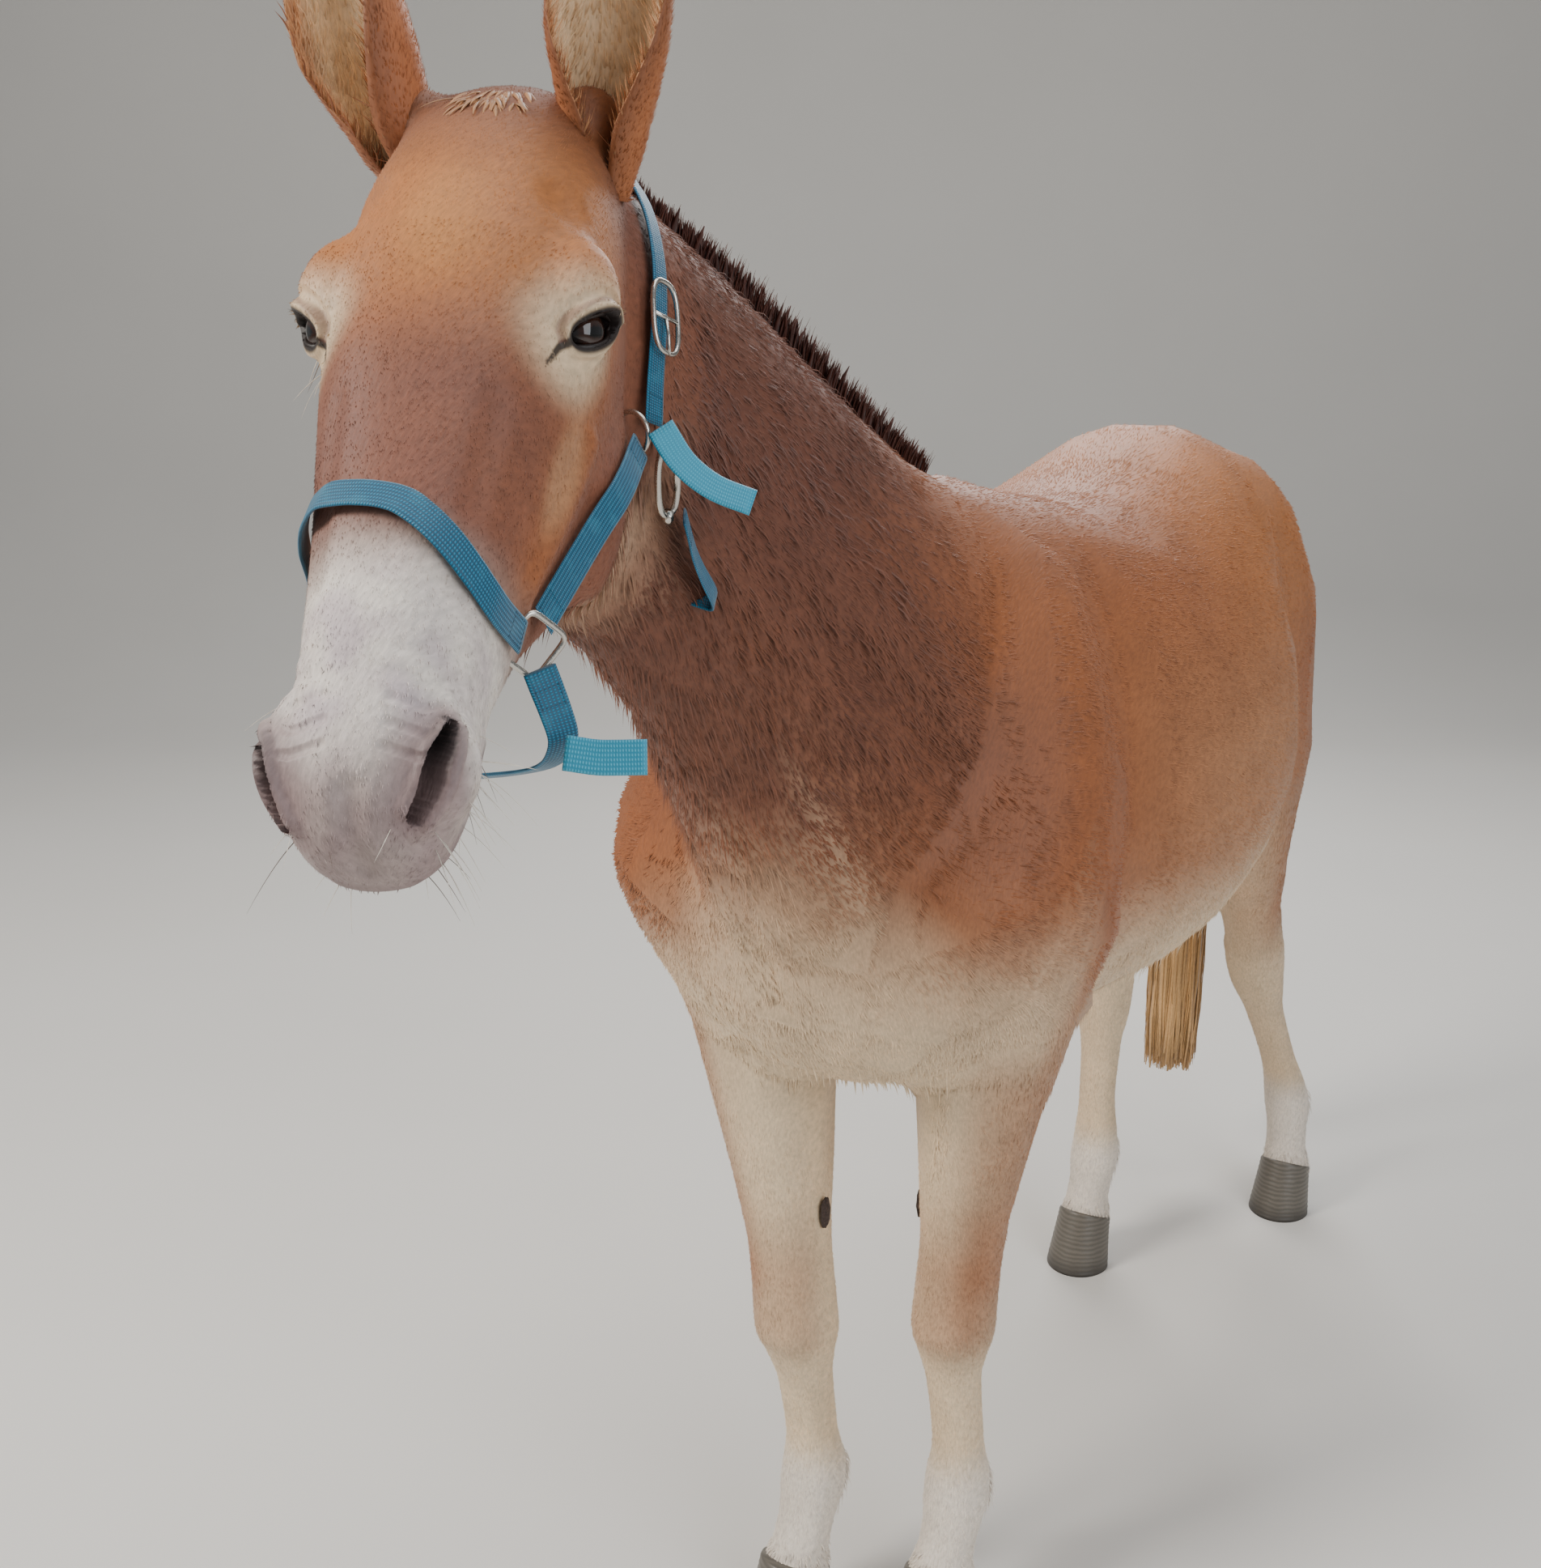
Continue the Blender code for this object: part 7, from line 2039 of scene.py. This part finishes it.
def make_stage(sizes):
    """A pale floor that curves up behind, soft lights, and the camera at the photograph's angle."""
    points, faces = [], []
    bend = np.radians(np.linspace(6, 90, 15))
    profile = [(-9.0, 0.0), (4.5, 0.0)]
    profile += [(4.5 + 2.5 * math.sin(a), 2.5 - 2.5 * math.cos(a)) for a in bend] + [(7.0, 9.0)]
    turn, tilt = math.radians(CAMERA_TURN), math.radians(CAMERA_TILT)
    forward = Vector((-math.sin(turn), math.cos(turn), 0))
    right = Vector((forward.y, -forward.x, 0))
    for reach, height in profile:
        for side in (-14, 14):
            points.append(forward * reach + right * side + Vector((0, 0, height)))
    for i in range(len(profile) - 1):
        faces.append((i * 2, i * 2 + 1, i * 2 + 3, i * 2 + 2))
    floor = mesh_object("pale_floor", points, faces)
    paper, tree, shader = material("matt painted studio floor", 0.85)
    place = node(tree, "ShaderNodeTexCoord")
    cloud = noise(tree, (place, "Object"), 1.3, 4.0)
    tone = two_tone(tree, (cloud, "Fac"), "#D3D0CB", "#DAD7D2")
    tree.links.new(tone.outputs[2], shader.inputs["Base Color"])
    floor.data.materials.append(paper)
    floor.data.polygons.foreach_set("use_smooth", [True] * len(floor.data.polygons))

    def lamp(name, place, target, size, power, colour=(1, 1, 1)):
        data = bpy.data.lights.new(name, "AREA")
        data.size = size
        data.energy = power
        data.color = colour
        made = linked(name, data)
        made.location = place
        made.rotation_euler = (Vector(target) - Vector(place)).to_track_quat("-Z", "Y").to_euler()

    lamp("key", (-2.6, -3.6, 3.9), (0.0, -0.5, 1.2), 1.8, sizes.key_power, (1.0, 0.96, 0.90))
    lamp("fill", (3.6, -1.6, 2.4), (0.0, -0.2, 1.0), 3.0, sizes.key_power * 0.36, (0.92, 0.96, 1.0))
    lamp("rim", (-1.4, 3.6, 3.6), (0.0, 0.3, 1.1), 2.2, sizes.key_power * 0.5)
    lamp("top", (0.4, 0.2, 5.2), (0.0, 0.0, 1.2), 3.5, sizes.key_power * 0.4)
    world = bpy.data.worlds.new("soft studio")
    world.use_nodes = True
    world.node_tree.nodes["Background"].inputs[0].default_value = (0.85, 0.88, 0.92, 1)
    world.node_tree.nodes["Background"].inputs[1].default_value = 0.28
    bpy.context.scene.world = world
    data = bpy.data.cameras.new("camera")
    data.sensor_width = 36
    data.lens = data.sensor_width * sizes.focal_pixels / PHOTO_HEIGHT
    data.clip_start = 0.05
    camera = linked("camera", data)
    camera.location = Vector(CAMERA_PLACE) + SHIFT
    look = forward * math.cos(tilt) - Vector((0, 0, math.sin(tilt)))
    camera.rotation_euler = look.to_track_quat("-Z", "Y").to_euler()
    bpy.context.scene.camera = camera


class MuleCoatSettings(bpy.types.PropertyGroup):
    """Sizes of the skin and the short coat."""

    voxel: FloatProperty(
        name="Skin Detail", description="Voxel size that the flesh is fused at",
        default=0.0055, unit="LENGTH",
    )
    depth: FloatProperty(
        name="Coat Depth", description="How far the skin lies under the coat's tips",
        default=0.0030, unit="LENGTH",
    )
    length: FloatProperty(
        name="Hair Length", description="Length of the short body hair",
        default=0.0125, unit="LENGTH",
    )
    width: FloatProperty(
        name="Tuft Width", description="Width of one tuft of short hair",
        default=0.0028, unit="LENGTH",
    )
    count: IntProperty(
        name="Tufts a Piece", description="Tufts on each large part of the body",
        default=46000, min=100,
    )
    head_count: IntProperty(name="Head Tufts", description="Tufts on the head", default=42000, min=100)


class MuleHairSettings(bpy.types.PropertyGroup):
    """How dense the mane, the tuft, the tail and the whiskers are."""

    mane_locks: IntProperty(
        name="Mane Locks", description="Upright locks along the crest",
        default=900, min=10,
    )
    tuft_locks: IntProperty(
        name="Forelock Locks", description="Locks of the pale tuft between the ears",
        default=300, min=10,
    )
    tail_locks: IntProperty(name="Tail Locks", description="Long locks of the tail", default=420, min=10)
    whiskers: IntProperty(name="Whiskers", description="Long feelers on the face", default=70, min=2)


class MuleStageSettings(bpy.types.PropertyGroup):
    """The lights and the camera."""

    key_power: FloatProperty(
        name="Key Light", description="Power of the key light",
        default=250.0, unit="POWER",
    )
    focal_pixels: FloatProperty(
        name="Focal Length", description="Focal length in photograph pixels",
        default=2100.0,
    )


class MULE_OT_skin(bpy.types.Operator):
    """Fuse and shape the skin that covers the whole body without a seam"""

    bl_idname = "mule.skin"
    bl_label = "Skin"

    def execute(self, context):
        make_skin(context.scene.mule_coat)
        return {"FINISHED"}


class MULE_OT_coat(bpy.types.Operator):
    """Cover the skin with short tufts and the longer hair of the neck, belly and fetlocks"""

    bl_idname = "mule.coat"
    bl_label = "Coat"

    def execute(self, context):
        make_coat(context.scene.mule_coat)
        return {"FINISHED"}


class MULE_OT_face(bpy.types.Operator):
    """Add the eyes, the lid rims with lashes, and the whiskers"""

    bl_idname = "mule.face"
    bl_label = "Eyes and Whiskers"

    def execute(self, context):
        make_eyes()
        make_whiskers(context.scene.mule_hair)
        return {"FINISHED"}


class MULE_OT_ears(bpy.types.Operator):
    """Shape both long ears with their fine outer fur and the long hair inside"""

    bl_idname = "mule.ears"
    bl_label = "Ears"

    def execute(self, context):
        make_ears()
        return {"FINISHED"}


class MULE_OT_hair(bpy.types.Operator):
    """Grow the roached mane, the pale tuft at the poll and the tail"""

    bl_idname = "mule.hair"
    bl_label = "Mane, Tuft and Tail"

    def execute(self, context):
        make_mane(context.scene.mule_hair)
        make_poll_tuft(context.scene.mule_hair)
        make_tail(context.scene.mule_hair)
        return {"FINISHED"}


class MULE_OT_horn(bpy.types.Operator):
    """Shape the hooves and the chestnuts of the forelegs"""

    bl_idname = "mule.horn"
    bl_label = "Hooves and Chestnuts"

    def execute(self, context):
        make_hooves()
        make_callosities()
        return {"FINISHED"}


class MULE_OT_headcollar(bpy.types.Operator):
    """Lay the nylon webbing of the headcollar and add its stitches, rings, buckle and snap"""

    bl_idname = "mule.headcollar"
    bl_label = "Headcollar"

    def execute(self, context):
        make_halter()
        return {"FINISHED"}


class MULE_OT_stage(bpy.types.Operator):
    """Set the floor, the lights and the camera"""

    bl_idname = "mule.stage"
    bl_label = "Stage"

    def execute(self, context):
        make_stage(context.scene.mule_stage)
        return {"FINISHED"}


class MULE_PT_panel(bpy.types.Panel):
    """Lists the mule's pieces and their sizes"""

    bl_label = "Standing Mule"
    bl_idname = "MULE_PT_panel"
    bl_space_type = "VIEW_3D"
    bl_region_type = "UI"
    bl_category = "Mule"

    def draw(self, context):
        for settings in (context.scene.mule_coat, context.scene.mule_hair, context.scene.mule_stage):
            box = self.layout.box()
            for name in settings.bl_rna.properties.keys():
                if name not in ("rna_type", "name"):
                    box.prop(settings, name)
        for operator in OPERATORS:
            self.layout.operator(operator.bl_idname)


OPERATORS = (
    MULE_OT_skin, MULE_OT_coat, MULE_OT_face, MULE_OT_ears,
    MULE_OT_hair, MULE_OT_horn, MULE_OT_headcollar, MULE_OT_stage,
)
GROUPS = (MuleCoatSettings, MuleHairSettings, MuleStageSettings)


def register():
    for group in GROUPS:
        bpy.utils.register_class(group)
    for operator in OPERATORS:
        bpy.utils.register_class(operator)
    bpy.utils.register_class(MULE_PT_panel)
    bpy.types.Scene.mule_coat = PointerProperty(type=MuleCoatSettings)
    bpy.types.Scene.mule_hair = PointerProperty(type=MuleHairSettings)
    bpy.types.Scene.mule_stage = PointerProperty(type=MuleStageSettings)


def unregister():
    del bpy.types.Scene.mule_stage
    del bpy.types.Scene.mule_hair
    del bpy.types.Scene.mule_coat
    bpy.utils.unregister_class(MULE_PT_panel)
    for operator in reversed(OPERATORS):
        bpy.utils.unregister_class(operator)
    for group in reversed(GROUPS):
        bpy.utils.unregister_class(group)


def main():
    register()
    bpy.ops.mule.skin()
    bpy.ops.mule.coat()
    bpy.ops.mule.face()
    bpy.ops.mule.ears()
    bpy.ops.mule.hair()
    bpy.ops.mule.horn()
    bpy.ops.mule.headcollar()
    bpy.ops.mule.stage()


if __name__ == "__main__":
    main()
